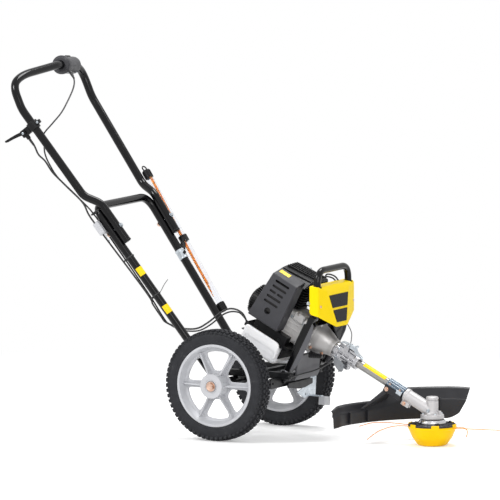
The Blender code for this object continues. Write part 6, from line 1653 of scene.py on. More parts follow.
@dataclass
class FuelAndAir:
    """Tank on its tray, cap, carburettor, filter, choke and primer."""

    tank_low: tuple[float, float, float] = (-0.358, -0.105, -0.1215)
    tank_high: tuple[float, float, float] = (-0.216, 0.06, -0.0625)
    tank_edge: float = 0.02
    neck: tuple[float, float] = (-0.3, -0.092)
    cylinder_x: float = -0.285
    intake: float = 0.0535
    carburettor_depth: float = 0.026

    def tank(self) -> None:
        """Blow moulded tank with its parting ridge and neck."""
        low, high = self.tank_low, self.tank_high
        bm = soft_box(low, high, self.tank_edge, 9)
        x, z = self.neck
        weld(bm, rod((x, high[1] - 0.006, z), (x, high[1] + 0.01, z), 0.017, steps=64))
        middle = (low[2] + high[2]) / 2
        loop = [(low[0], low[1]), (high[0], low[1]), (high[0], high[1]), (low[0], high[1])]
        path = [Vector((p.x, p.y, middle)) for p in rounded(loop, self.tank_edge, 10, closed=True)]
        weld(bm, hose(path, 0.0007, 8, closed=True))
        shoulder = rounded([(low[0] + 0.003, low[2] + 0.018), (high[0] - 0.004, low[2] + 0.018),
                            (high[0] - 0.01, high[2] + 0.013), (low[0] + 0.003, high[2] + 0.013)],
                           [0.01, 0.01, 0.017, 0.012], 8, closed=True)
        near = low[1] + 0.0005
        weld(bm, upright(shoulder, near, 0.0088, 0.004, 4))
        publish(bm, "milky_tank", TANK_SHELL, stands_for=["fuel_tank"], place=SHAFT_AXES)

    def cap(self) -> None:
        """Screw cap with a knurled rim and a raised middle bar."""
        section = mm([(0, 15), (8, 15), (19.5, 14), (21.2, 12), (21.2, 1.5), (20, 0), (0, 0)])
        bm = turned(section, 0.0008, 3, 72)
        weld(bm, repeated(soft_box((0.02, -0.001, 0.0015), (0.0226, 0.001, 0.0122), 0.0006, 2), 28))
        weld(bm, soft_box((-0.0165, -0.0025, 0.013), (0.0165, 0.0025, 0.0168), 0.001))
        place = facing((self.neck[0], self.tank_high[1] + 0.0103, self.neck[1]), (0, 1, 0))
        publish(bm, "tank_cap", BLACK_NYLON, Body.FUEL_CAP, ["fuel_cap"], SHAFT_AXES @ place)

    def tray(self) -> None:
        """Moulded tray between engine and tank with the cable stop."""
        tray = refined("tank_bracket", 0.0012, 3)
        skirt = soft_box((self.tank_high[0] + 0.0008, self.tank_low[1] + 0.004, -0.094),
                         (self.tank_high[0] + 0.0038, -0.01, -0.06), 0.001)
        weld(tray, moved(skirt, SHAFT_AXES))
        publish(tray, "tank_tray", BLACK_NYLON, stands_for=["tank_bracket"])
        spots = [(x, -0.095, -0.042) for x in (-0.24, -0.32)]
        publish(fasteners(cap_screw, (0.004, 0.003), spots, (0, -1, 0)), "tray_screws", SATIN_BLACK,
                place=SHAFT_AXES)

    def carburettor(self) -> None:
        """Carburettor casting with its screws and fuel pipe."""
        bm = refined("carburettor", 0.001, 3)
        publish(bm, "carburettor_casting", CAST_ALUMINIUM, stands_for=["carburettor"])
        y = self.intake + self.carburettor_depth / 2
        spots = [(self.cylinder_x + 0.02, y - 0.006, z) for z in (0.064, 0.086)]
        publish(fasteners(cap_screw, (0.003, 0.0024), spots, (1, 0, 0)), "carburettor_screws", PASSIVATED,
                place=SHAFT_AXES)
        pipe = rounded(mm([(-262, 62, 60), (-240, 63, 50), (-222, 60, 0), (-222, 52, -50),
                           (-235, 45, -66)]), 0.02, 8)
        publish(hose(pipe, 0.0026, 14), "fuel_pipe", CABLE_SHEATH, place=SHAFT_AXES)

    def filter_cover(self) -> None:
        """Filter cover with cut louvres and a winged knob."""
        start = self.intake + self.carburettor_depth + 0.0006
        x = self.cylinder_x
        bm = soft_box((x - 0.038, start, 0.035), (x + 0.038, start + 0.03, 0.112), 0.01, 5)
        for index in range(4):
            z = 0.0465 + index * 0.012
            louvre = soft_box((x - 0.027, start + 0.0255, z - 0.0028),
                              (x + 0.027, start + 0.04, z + 0.0028), 0.0015)
            bm = carved(bm, louvre)
        knob = turned(mm([(0, -2), (12.5, -2), (12.5, 1.2), (7.5, 2.6), (0, 2.6)]), 0.0008, 3, 48)
        weld(knob, soft_box((-0.0105, -0.0016, 0.0), (0.0105, 0.0016, 0.0062), 0.001))
        weld(bm, stood(knob, (x, start + 0.03, 0.0975), (0, 1, 0)))
        publish(bm, "filter_cover", CHARCOAL_NYLON, stands_for=["air_filter_cover"], place=SHAFT_AXES)

    def small_controls(self) -> None:
        """Choke lever and primer bulb."""
        publish(refined("choke_lever", 0.0008, 3), "choke_arm", BLACK_NYLON, Body.CHOKE, ["choke_lever"])
        section = mm([(0, 11), (4.5, 10.3), (8, 7.2), (9.2, 3), (9.5, 0), (0, 0)])
        place = facing((self.cylinder_x, self.intake + 0.0003 + self.carburettor_depth / 2, 0.0557),
                       (0, 0, -1))
        publish(turned(section, 0.002, 4, 48), "primer_dome", CLEAR_BULB, Body.PRIMER, ["primer_bulb"],
                SHAFT_AXES @ place)

    def build(self) -> None:
        """Build the tank side and the intake side."""
        for step in (self.tank, self.cap, self.tray, self.carburettor, self.filter_cover,
                     self.small_controls):
            step()


# Hoop and shield


@dataclass
class EngineShield:
    """Carrying hoop with its struts and gusset, and the yellow folded shield."""

    hoop_x: float = 0.2815
    hoop_radius: float = 0.0105
    hoop_top: float = 0.52
    bend: float = 0.042
    half: float = 0.1
    face_lean: float = 0.131
    sheet: float = 0.002

    def hoop(self) -> None:
        """Hoop tube welded to two square struts, with the cross plate and V gusset."""
        knee = shaft_point(-0.164, 0, 0.08)
        x, half, top = self.hoop_x, self.half, self.hoop_top
        points = [(knee.x, -half, knee.z), (x, -half, 0.405), (x, -half, top), (x, half, top),
                  (x, half, 0.405), (knee.x, half, knee.z)]
        bm = hose(rounded(points, self.bend, 14), self.hoop_radius, 28)
        for side in Side:
            y = side.value * half
            strut = soft_box((-0.1742, y - 0.015, -0.1055), (-0.1542, y + 0.015, 0.086), 0.0028)
            weld(bm, moved(strut, SHAFT_AXES))
        weld(bm, soft_box((x - 0.012, -half, 0.352), (x - 0.006, half, 0.44), 0.001))
        weld(bm, soft_box((x - 0.01, -0.034, 0.3545), (x + 0.02, 0.034, 0.3575), 0.001))
        outline = rounded(mm([(-40, 48), (40, 48), (7, -3), (-7, -3)]), 0.004, 5, closed=True)
        gusset = plate([outline], 0.003, 0.0006)
        weld(bm, moved(gusset, Matrix.Translation((x + 0.02, 0, 0.31)) @ UPRIGHT))
        publish(bm, "hoop_weldment", GLOSS_BLACK, stands_for=["engine_hoop"])
        self.webs()

    def webs(self) -> None:
        """Tapering flat webs that stiffen the front of both struts, coloured grey as painted sheen on their
        black steel.
        """
        bm = bmesh.new()
        outline = rounded(mm([(-156.5, -100), (-148, -96), (-139, -60), (-139, 26), (-148, 62),
                              (-156.5, 70)]), 0.006, 5, closed=True)
        for side in Side:
            low = side.value * (self.half + 0.0125) - 0.0015
            weld(bm, upright(outline, low, 0.003, 0.0006))
        # The webs' grey is painted sheen standing in for light on the black weldment
        publish(bm, "strut_webs_painted_sheen", GREY_SHEET_AND_SHEEN, place=SHAFT_AXES)

    def strut_bolts(self) -> None:
        """Painted bolts through the struts, and a zinc bolt on each side behind the shield."""
        spots = [shaft_point(-0.1542, side.value * self.half, z) for side in Side
                 for z in (-0.09, -0.03, 0.03)]
        forward = SHAFT_AXES.to_3x3() @ Vector((1, 0, 0))
        publish(fasteners(hex_bolt, (0.0055, 0.0042, 0.0075), spots, forward), "strut_bolts", SATIN_BLACK)
        bright = [stood(hex_bolt(0.0042, 0.0036, 0.0055), (0.262, side.value * 0.1215, 0.4235),
                        (0, side.value, 0)) for side in Side]
        publish(weld(*bright), "hoop_bolts", ZINC)

    def rings(self) -> list[list[Vector]]:
        """Corners of the shield from its face to its rear edge."""
        sizes = mm(((299, 313.7, 71, 36, 460, 346), (294, 294, 118, 118, 472, 383),
                    (266, 266, 122, 122, 476, 390)))
        return [[Vector((xt, -ht, top)), Vector((xt, ht, top)), Vector((xl, hl, low)),
                 Vector((xl, -hl, low))] for xt, xl, ht, hl, top, low in sizes]

    def shield(self) -> None:
        """Sheet with a tapering face, folded flanks and top, and notches for the hoop."""
        rings = self.rings()
        bm = bmesh.new()
        corners = [bm.verts.new(p) for p in rings[0]]
        bm.faces.new(corners)
        edges = [e for e in bm.edges if {v for v in e.verts} != {corners[2], corners[3]}]
        for before, after in zip(rings, rings[1:]):
            made = bmesh.ops.extrude_edge_only(bm, edges=edges)["geom"]
            for vert in [g for g in made if isinstance(g, bmesh.types.BMVert)]:
                index = min(range(4), key=lambda i: (before[i] - vert.co).length)
                vert.co = after[index]
            edges = [g for g in made if isinstance(g, bmesh.types.BMEdge)]
        bmesh.ops.recalc_face_normals(bm, faces=bm.faces)
        ends = [v for v in bm.verts if v.is_boundary and v.co.z < 0.4 and v.co.x < 0.27]
        bmesh.ops.bevel(bm, geom=ends, offset=0.008, segments=5, profile=0.5, affect="VERTICES",
                        material=-1, offset_type="OFFSET")
        folds = [e for e in bm.edges if e.is_manifold and e.calc_face_angle(0.0) > math.radians(6)]
        bmesh.ops.bevel(bm, geom=folds, offset=0.0045, segments=4, profile=0.5, affect="EDGES", material=-1,
                        offset_type="OFFSET", clamp_overlap=True)
        bmesh.ops.recalc_face_normals(bm, faces=bm.faces)
        front = max(bm.faces, key=lambda f: f.calc_center_median().x)
        if front.normal.x < 0:
            bmesh.ops.reverse_faces(bm, faces=bm.faces)
        bmesh.ops.solidify(bm, geom=bm.faces[:], thickness=self.sheet)
        x, half = self.hoop_x, self.half
        notches = [rod((x, side.value * half, 0.385), (x, side.value * half, 0.51), 0.0135)
                   for side in Side]
        bm = carved(bm, *notches)
        publish(bm, "yellow_shield", YELLOW_ENAMEL, stands_for=["front_shield"], sharp_deg=28)

    def face_axes(self, z: float) -> Matrix:
        """Axes on the shield's face: X across, Y up the face, Z out of it."""
        up = Vector((-self.face_lean, 0.0, 1.0)).normalized()
        turn = Matrix((Vector((0, 1, 0)), up, Vector((0, 1, 0)).cross(up))).transposed().to_4x4()
        return Matrix.Translation((0.301 + (0.443 - z) * self.face_lean, 0.0, z)) @ turn

    def plates(self) -> None:
        """Two bare black plates on the face."""
        for name, top, low, wide, narrow in (("upper_face_plate", 0.443, 0.404, 0.062, 0.0478),
                                             ("lower_face_plate", 0.3973, 0.3593, 0.0458, 0.0308)):
            tall = (top - low) / math.cos(math.atan(self.face_lean))
            outline = rounded([(-wide, tall / 2), (wide, tall / 2), (narrow, -tall / 2),
                               (-narrow, -tall / 2)], 0.002, 4, closed=True)
            bm = moved(plate([outline], 0.0014, 0.0004), (0, 0, 0.0006))
            publish(bm, name, BLACK_PLATE, place=self.face_axes((top + low) / 2))

    def shield_screws(self) -> None:
        """Screws on the flanks of the shield."""
        screws = [stood(cap_screw(0.004, 0.0026), (0.2956, side.value * 0.106, 0.413),
                        (1.0, side.value * 0.1, 0.0)) for side in Side]
        publish(weld(*screws), "shield_screws", PASSIVATED)

    def leads(self) -> None:
        """Ignition leads that run behind the shield, and the thin wire to the coupling catch."""
        bm = bmesh.new()
        for shift, rise in ((0.0, 0.0), (0.009, 0.006)):
            points = [shaft_point(-0.24, 0.03 + shift, 0.148), (0.232, 0.045 + shift, 0.486 + rise),
                      (0.255, 0.05 + shift, 0.483 + rise), (0.27, 0.052 + shift, 0.466 + rise),
                      (0.2735, 0.055 + shift, 0.446), (0.2735, 0.055 + shift, 0.424)]
            weld(bm, hose(flowing(points), 0.0024, 12))
        wire = flowing(mm([(296, 30, 368), (312, 40, 345), (328, 34, 322), (336, 18, 304), (340, 6, 294)]))
        weld(bm, hose(wire, 0.0013, 10))
        publish(bm, "engine_leads", CABLE_SHEATH)
        stub = rounded(mm([(268, -94, 462), (284, -86, 464), (296, -78, 459.5)]), 0.006, 4)
        publish(hose(stub, 0.0034, 12), "hoop_bumper", BLACK_NYLON)

    def build(self) -> None:
        """Build hoop, shield and leads."""
        for step in (self.hoop, self.strut_bolts, self.shield, self.plates, self.shield_screws, self.leads):
            step()


# Coupling, drive tube, guard and head


@dataclass
class Coupling:
    """Engine plate, clutch bell, split coupling, its lever and its sprung catch."""

    start: float = -0.1742
    bell_large: float = 0.052
    bell_small: float = 0.0275
    bell_length: float = 0.079
    body_end: float = -0.008
    boss_reach: float = 0.047
    boss_degrees: float = 22.5

    def bell(self) -> None:
        """Cast cone with a bolting flange and four bosses."""
        long = self.bell_length
        section = [(0.0, long), (self.bell_small - 0.002, long), (self.bell_small, long - 0.002),
                   (self.bell_small + 0.0018, long - 0.015), (0.033, long - 0.024), (0.042, 0.03),
                   (0.0468, 0.0105), (0.048, 0.0068), (self.bell_large, 0.006), (self.bell_large, 0.0),
                   (0.0, 0.0)]
        bm = turned(section, 0.0035, 5, 112)
        boss = rod((self.boss_reach, 0, 0.0), (self.boss_reach, 0, 0.0105), 0.0062, edge=0.001)
        moved(boss, spun(self.boss_degrees, "Z"))
        weld(bm, repeated(boss, 4))
        publish(bm, "bell_casting", CAST_ALUMINIUM, stands_for=["clutch_bell"],
                place=SHAFT_AXES @ facing((self.start, 0, 0), (1, 0, 0)))

    def bell_bolts(self) -> None:
        """Passivated bolts on the bell's right side, and the screws of its flange."""
        spots = ((-0.1585, -0.038, -0.027), (-0.123, -0.022, -0.029))
        publish(fasteners(hex_bolt, (0.004, 0.004, 0.0056), spots, (0.35, -1, -0.5)), "bell_bolts",
                PASSIVATED, place=SHAFT_AXES)
        bolt = moved(cap_screw(0.0042, 0.004), (self.boss_reach, 0, 0.0105))
        moved(bolt, spun(self.boss_degrees, "Z"))
        publish(stood(repeated(bolt, 4), (self.start, 0, 0), (1, 0, 0)), "bell_flange_screws",
                LIT_CASE_ALUMINIUM, place=SHAFT_AXES)

    def engine_plate(self) -> None:
        """Mounting plate between engine and struts with its bolts."""
        publish(refined("engine_plate", 0.001, 3), "mounting_plate", SATIN_BLACK,
                stands_for=["engine_plate"])
        spots = [(self.start - 0.0003, side.value * 0.072, z) for side in Side for z in (0.04, -0.026)]
        publish(fasteners(hex_bolt, (0.005, 0.004, 0.007), spots, (1, 0, 0)), "plate_bolts", SATIN_BLACK,
                place=SHAFT_AXES)

    def body(self) -> None:
        """Split casting with windows, a clamp lug, a spine and end rings."""
        start, end = self.start + self.bell_length + 0.0003, self.body_end
        long = end - start
        section = [(0.0, 0.0), (0.026, 0.0), (0.026, 0.01), (0.0218, 0.012), (0.0208, 0.03),
                   (0.0188, long - 0.016), (0.0215, long - 0.013), (0.0215, long), (0.0133, long),
                   (0.0133, 0.0435), (0.0, 0.0435)]
        bm = stood(turned(section, 0.0012, 3, 80), (start, 0, 0), (1, 0, 0))
        tools = []
        for side in Side:
            y = side.value * 0.0265
            tools += [soft_box((-0.078, y - 0.01, -0.012), (-0.062, y + 0.01, 0.0085), 0.003),
                      soft_box((-0.056, y - 0.01, -0.006), (-0.04, y + 0.01, 0.0105), 0.003),
                      soft_box((-0.034, y - 0.009, -0.009), (-0.026, y + 0.009, 0.007), 0.002)]
        bm = carved(bm, *tools)
        weld(bm, soft_box((-0.06, -0.011, -0.036), (-0.03, -0.0015, -0.01), 0.002))
        weld(bm, soft_box((-0.06, 0.0015, -0.036), (-0.03, 0.011, -0.01), 0.002))
        weld(bm, soft_box((-0.086, -0.007, 0.01), (-0.018, 0.007, 0.025), 0.002))
        for side in Side:
            ear = rounded(mm([(-70, 10), (-50, 10), (-54.5, 37.5), (-65.5, 37.5)]), 0.0045, 5, closed=True)
            y = side.value * 0.0118
            weld(bm, upright(ear, y - 0.0016, 0.0032, 0.0006))
        for side in Side:
            weld(bm, soft_box((-0.093, side.value * 0.0215 - 0.0018, -0.003),
                              (-0.018, side.value * 0.0215 + 0.0018, 0.001), 0.001))
        corners = [(y, z) for z in (0.014, -0.014) for y in (-0.019, 0.019)]
        weld(bm, *[rod((-0.0948, y, z), (-0.08, y, z), 0.0052, edge=0.001) for y, z in corners])
        publish(bm, "coupling_casting", BRIGHT_CASTING, stands_for=["coupling_body"], place=SHAFT_AXES)
        spots = [(-0.08, y, z) for y, z in corners]
        publish(fasteners(cap_screw, (0.0038, 0.0034), spots, (1, 0, 0)), "coupling_screws", ZINC,
                place=SHAFT_AXES)

    def lever(self) -> None:
        """Folded clamping lever on its pin, with a stiffening bead."""
        blade = rounded(mm([(-26, 29), (-4, 17), (7, 6), (6, -8), (1, -17), (-11, -15), (-19, -6),
                            (-28.5, 9)]), 0.004, 4, closed=True)
        flat = Matrix.Translation((0, -0.0235, 0)) @ spun(90, "X")
        bm = moved(plate([blade], 0.0026, 0.0007), flat)
        weld(bm, soft_box((-0.019, -0.0256, -0.004), (-0.015, -0.0243, 0.017), 0.0006, 2))
        weld(bm, moved(soft_box((-0.006, -0.007, -0.0012), (0.0055, 0.0, 0.0012), 0.0006, 2),
                       (-0.005, -0.0225, -0.0158)))
        weld(bm, rod((0, -0.0262, 0), (0, 0.016, 0), 0.0031))
        weld(bm, stood(cap_screw(0.0052, 0.0024), (0, -0.0247, 0), (0, -1, 0)))
        weld(bm, stood(hex_bolt(0.0058, 0.0042), (0, 0.0121, 0), (0, 1, 0)))
        place = SHAFT_AXES @ Matrix.Translation((-0.045, 0, -0.028)) @ Matrix.Rotation(-SHAFT_PITCH, 4, "Y")
        publish(bm, "coupling_lever_sheet", LEVER_GREY, Body.COUPLING_LEVER, ["coupling_lever"], place)

    def latch(self) -> None:
        """Sprung catch with rolled cheeks, a spring and a turned up thumb end."""
        side = mm([(-26, -5.8), (-25.5, 1), (-14, 3.6), (14, 4.6), (23, 3), (30, -4), (44, -9.8),
                   (56, -13), (58.5, -15), (42, -12.2), (28, -7.2), (21, -0.4), (12, 2), (-12, 1),
                   (-22, -2)])
        outline = rounded(side, 0.0014, 3, closed=True)
        bm = upright(outline, -0.009, 0.018, 0.0006)
        for y in (-0.0098, 0.0082):
            cheek = rounded(mm([(-6, -4.2), (16, -4.2), (24, 1), (20, 4.8), (-5, 4.6)]), 0.003, 4,
                            closed=True)
            weld(bm, upright(cheek, y, 0.0016, 0.0003, 1))
        weld(bm, rod((0, -0.0142, 0), (0, 0.0142, 0), 0.0032))
        coil = [Vector((0.0052 * math.cos(a), -0.006 + 0.012 * a / (5 * math.tau), 0.0052 * math.sin(a)))
                for a in [5 * math.tau * i / 90 for i in range(91)]]
        weld(bm, hose(coil, 0.0006, 8))
        weld(bm, rod((0.021, -0.012, 0.007), (0.021, 0.012, 0.007), 0.0042))
        wire = flowing(mm([(48, -4, -11), (62, -4, -11), (76, -4, -6)]))
        weld(bm, hose(wire, 0.0008, 8))
        place = SHAFT_AXES @ Matrix.Translation((-0.06, 0, 0.0325))
        publish(bm, "coupling_catch_sheet", ZINC, Body.COUPLING_LATCH, ["coupling_latch"], place)

    def boot(self) -> None:
        """Ribbed boot under the bell where the control wire enters."""
        profile = [(0.0, 0.0), (0.0095, 0.0)]
        for index in range(6):
            z, r = 0.003 + index * 0.006, 0.0098 - index * 0.0006
            profile += [(r, z), (r, z + 0.0028), (r - 0.0016, z + 0.0036), (r - 0.0016, z + 0.0052)]
        profile += [(0.0055, 0.042), (0.0, 0.042)]
        bm = stood(lathe(profile, 40), (-0.152, -0.033, -0.05), (0.92, 0.06, 0.36))
        publish(bm, "control_boot", CABLE_SHEATH, place=SHAFT_AXES)

    def build(self) -> None:
        """Build bell, plate, coupling and its moving parts."""
        for step in (self.bell, self.bell_bolts, self.engine_plate, self.body, self.lever, self.latch,
                     self.boot):
            step()


@dataclass
class DriveTube:
    """Aluminium tube with its plain yellow film and the guard clamp."""

    radius: float = 0.013
    wall: float = 0.0018
    start: float = -0.052
    end: float = 0.2147
    film: tuple[float, float] = (0.012, 0.096)
    clamp: tuple[float, float] = (0.108, 0.17)

    def tube(self) -> None:
        """Drawn tube, open at both ends."""
        inner, long = self.radius - self.wall, self.end - self.start
        section = [(inner, 0.0), (self.radius, 0.0), (self.radius, long), (inner, long)]
        publish(lathe(section, 72, closed=True), "drawn_tube", DRAWN_ALUMINIUM, stands_for=["drive_tube"],
                place=SHAFT_AXES @ facing((self.start, 0, 0), (1, 0, 0)))

    def film_strip(self) -> None:
        """Plain yellow film on top of the tube."""
        r, long = self.radius, self.film[1] - self.film[0]
        band = lathe([(r + 0.0001, 0), (r + 0.0004, 0), (r + 0.0004, long), (r + 0.0001, long)], 30,
                     closed=True, arc=math.radians(125))
        axes = facing((self.film[0], 0, 0), (1, 0, 0))
        up = axes.inverted().to_3x3() @ Vector((0, 0, 1))
        moved(band, Matrix.Rotation(math.atan2(up.y, up.x), 4, "Z"))
        publish(band, "tube_film", PLAIN_STICKER, place=SHAFT_AXES @ axes)

    def guard_clamp(self) -> None:
        """Pressed saddle with bright zinc beads, four bolts on top and one on each side; the saddle's
        darker blue grey is painted dark reflection.
        """
        low, high = self.clamp
        over = [math.radians(degrees) for degrees in range(14, 167, 8)]
        back = [math.radians(degrees) for degrees in range(178, 0, -8)]
        arch = [(0.0172 * math.cos(a), 0.0178 * math.sin(a)) for a in over]
        inner = [(0.0134 * math.cos(a), 0.0134 * math.sin(a)) for a in back]
        outline = [(0.023, 0.0004), (0.023, 0.0042)] + arch + [(-0.023, 0.0042), (-0.023, 0.0004)] + inner
        bm = soften(prism([(low, y, z) for y, z in outline], (high - low, 0, 0)), 0.0008, 2, 50)
        # The saddle's darker blue grey is painted dark reflection on zinc plated steel
        publish(bm, "clamp_saddle", SHADED_CLAMP_ZINC, stands_for=["guard_clamp"], place=SHAFT_AXES)
        beads = bmesh.new()
        for degrees in (38, 64, 90, 116, 142):
            angle = math.radians(degrees)
            y, z = 0.0174 * math.cos(angle), 0.0174 * math.sin(angle)
            weld(beads, soft_box((low + 0.002, y - 0.0012, z - 0.0014),
                                 (high - 0.002, y + 0.0012, z + 0.0012), 0.0009))
        for side in Side:
            y = side.value * 0.0196
            weld(beads, soft_box((low + 0.001, y - 0.0034, 0.0038), (high - 0.001, y + 0.0034, 0.005),
                                 0.0005))
        weld(beads, soft_box((high - 0.02, -0.024, -0.007), (high - 0.001, -0.023, 0.005), 0.0005))
        publish(beads, "clamp_beads", ZINC, place=SHAFT_AXES)
        spots = [(x, y, 0.005) for x in (low + 0.012, high - 0.012) for y in (-0.0198, 0.0198)]
        bolts = fasteners(hex_bolt, (0.0038, 0.0034), spots, (0, 0, 1))
        for side in Side:
            spot = (low + 0.01, side.value * 0.0232, -0.012)
            weld(bolts, stood(hex_bolt(0.0052, 0.0044, 0.007), spot, (0, side.value, 0)))
        publish(bolts, "clamp_bolts", PASSIVATED, place=SHAFT_AXES)

    def build(self) -> None:
        """Build the tube and what is clamped to it."""
        self.tube()
        self.film_strip()
        self.guard_clamp()


@dataclass
class Guard:
    """Moulded debris guard: curved wall, flared rim, ribs, apron and seat."""

    radius: float = 0.3805
    centre: tuple[float, float] = (0.7739, -0.1576)
    low_z: float = 0.06
    wall: float = 0.003
    steps: int = 56

    def angles(self) -> tuple[float, float]:
        """Angles of the near and the far end round the guard's own centre."""
        x, y = self.centre
        near = math.atan2(-0.186 - y, 0.396 - x) % math.tau
        far = math.atan2(0.186 - y, 0.614 - x) % math.tau
        return near, far

    def section(self, angle: float, share: float) -> list[Vector]:
        """Rounded outline of the wall at an angle.

        Args:
            angle: direction from the guard's centre.
            share: 0 at the near end and 1 at the far end.

        Returns:
            Points of the closed outline.
        """
        near, far = max(0.0, 1 - share / 0.07), max(0.0, (share - 0.92) / 0.08)
        rise = min(1.0, max(0.0, (share - 0.42) / 0.22))
        rise = rise * rise * (3 - 2 * rise)
        flare = min(1.0, share / 0.15) * (0.45 + 0.55 * rise)
        high = 0.1235 + 0.0325 * rise - 0.012 * near ** 2 - 0.003 * far ** 3
        low = self.low_z + 0.016 * far ** 2 - 0.004 * near
        lean = 0.004 + 0.018 * flare
        curl = 0.009 * near ** 2
        w, fold = self.wall, high - 0.005 - (0.012 + 0.014 * flare)
        rows = [(curl, low), (0.0015 + curl, fold - 0.005), (0.005 + curl, fold),
                (lean + curl, high - 0.005), (lean + 0.007 + curl, high - 0.0012),
                (lean + 0.007 + curl, high - 0.0035), (lean + w + curl, high - 0.0075),
                (0.008 + curl, fold - 0.0035), (0.0045 + curl, fold - 0.008), (w + curl, low)]
        outline = rounded([Vector((out, z)) for out, z in rows],
                          [0.001, 0.003, 0.003, 0.003, 0.001, 0.001, 0.003, 0.003, 0.003, 0.001], 3,
                          closed=True)
        points = []
        for p in outline:
            reach = self.radius + p.x
            turn = angle - 0.088 * far ** 1.3 * max(0.0, (p.y - low) / (high - low)) ** 0.5
            points.append(Vector((self.centre[0] + reach * math.cos(turn),
                                  self.centre[1] + reach * math.sin(turn), p.y)))
        return points

    def ribs(self) -> Mesh:
        """Upright ribs on the inner side of the wall."""
        near, far = self.angles()
        bm = bmesh.new()
        for place in (0.12, 0.24, 0.66, 0.84):
            angle = far + (near - far) * place
            tall = 0.06 if place < 0.5 else 0.035
            rib = soft_box((-0.0045, -0.0014, 0.0), (0.004, 0.0014, tall), 0.0008, 2)
            turn = Matrix.Rotation(angle, 4, "Z")
            spot = (self.centre[0] + (self.radius - 0.002) * math.cos(angle),
                    self.centre[1] + (self.radius - 0.002) * math.sin(angle), self.low_z + 0.004)
            weld(bm, moved(rib, Matrix.Translation(spot) @ turn))
        return bm

    def apron(self) -> Mesh:
        """Sloping plate from the wall up to the seat under the drive tube."""
        right = self.centre[0] - math.sqrt((self.radius - 0.003) ** 2 - (-0.06 - self.centre[1]) ** 2)
        left = self.centre[0] - math.sqrt((self.radius + 0.0307) ** 2 - (0.06 - self.centre[1]) ** 2)
        low, high = shaft_point(0.11, 0, -0.02), shaft_point(0.12, 0, -0.018)
        seat_step = Vector((high.x - low.x, 0, high.z - 0.006 - low.z))
        sections = []
        for share in [i / 10 for i in range(11)]:
            half = 0.06 + (0.023 - 0.06) * share
            back_right = Vector((right, -0.06, 0.106)).lerp(Vector((low.x, -0.023, low.z)), share)
            back_left = Vector((left, 0.06, 0.118)).lerp(Vector((low.x, 0.023, low.z)), share)
            step = Vector((0.004, 0, -0.002)).lerp(seat_step, share)
            back_right.y, back_left.y = -half, half
            sections.append([back_right, back_left, back_left + step, back_right + step])
        return soften(loft(sections), 0.0012, 3, 40)

    def build(self) -> None:
        """Build the whole guard as one moulding."""
        near, far = self.angles()
        bm = loft([self.section(near + (far - near) * i / self.steps, i / self.steps)
                   for i in range(self.steps + 1)])
        weld(bm, self.ribs(), self.apron())
        seat = soft_box((0.108, -0.023, -0.023), (0.17, 0.023, -0.0003), 0.0015)
        bore = rod((0.0, 0, 0), (0.3, 0, 0), 0.0133, edge=0.0001)
        weld(bm, moved(carved(seat, bore), SHAFT_AXES))
        publish(bm, "guard_moulding", BLACK_POLYPROPYLENE, stands_for=["guard"], sharp_deg=40)


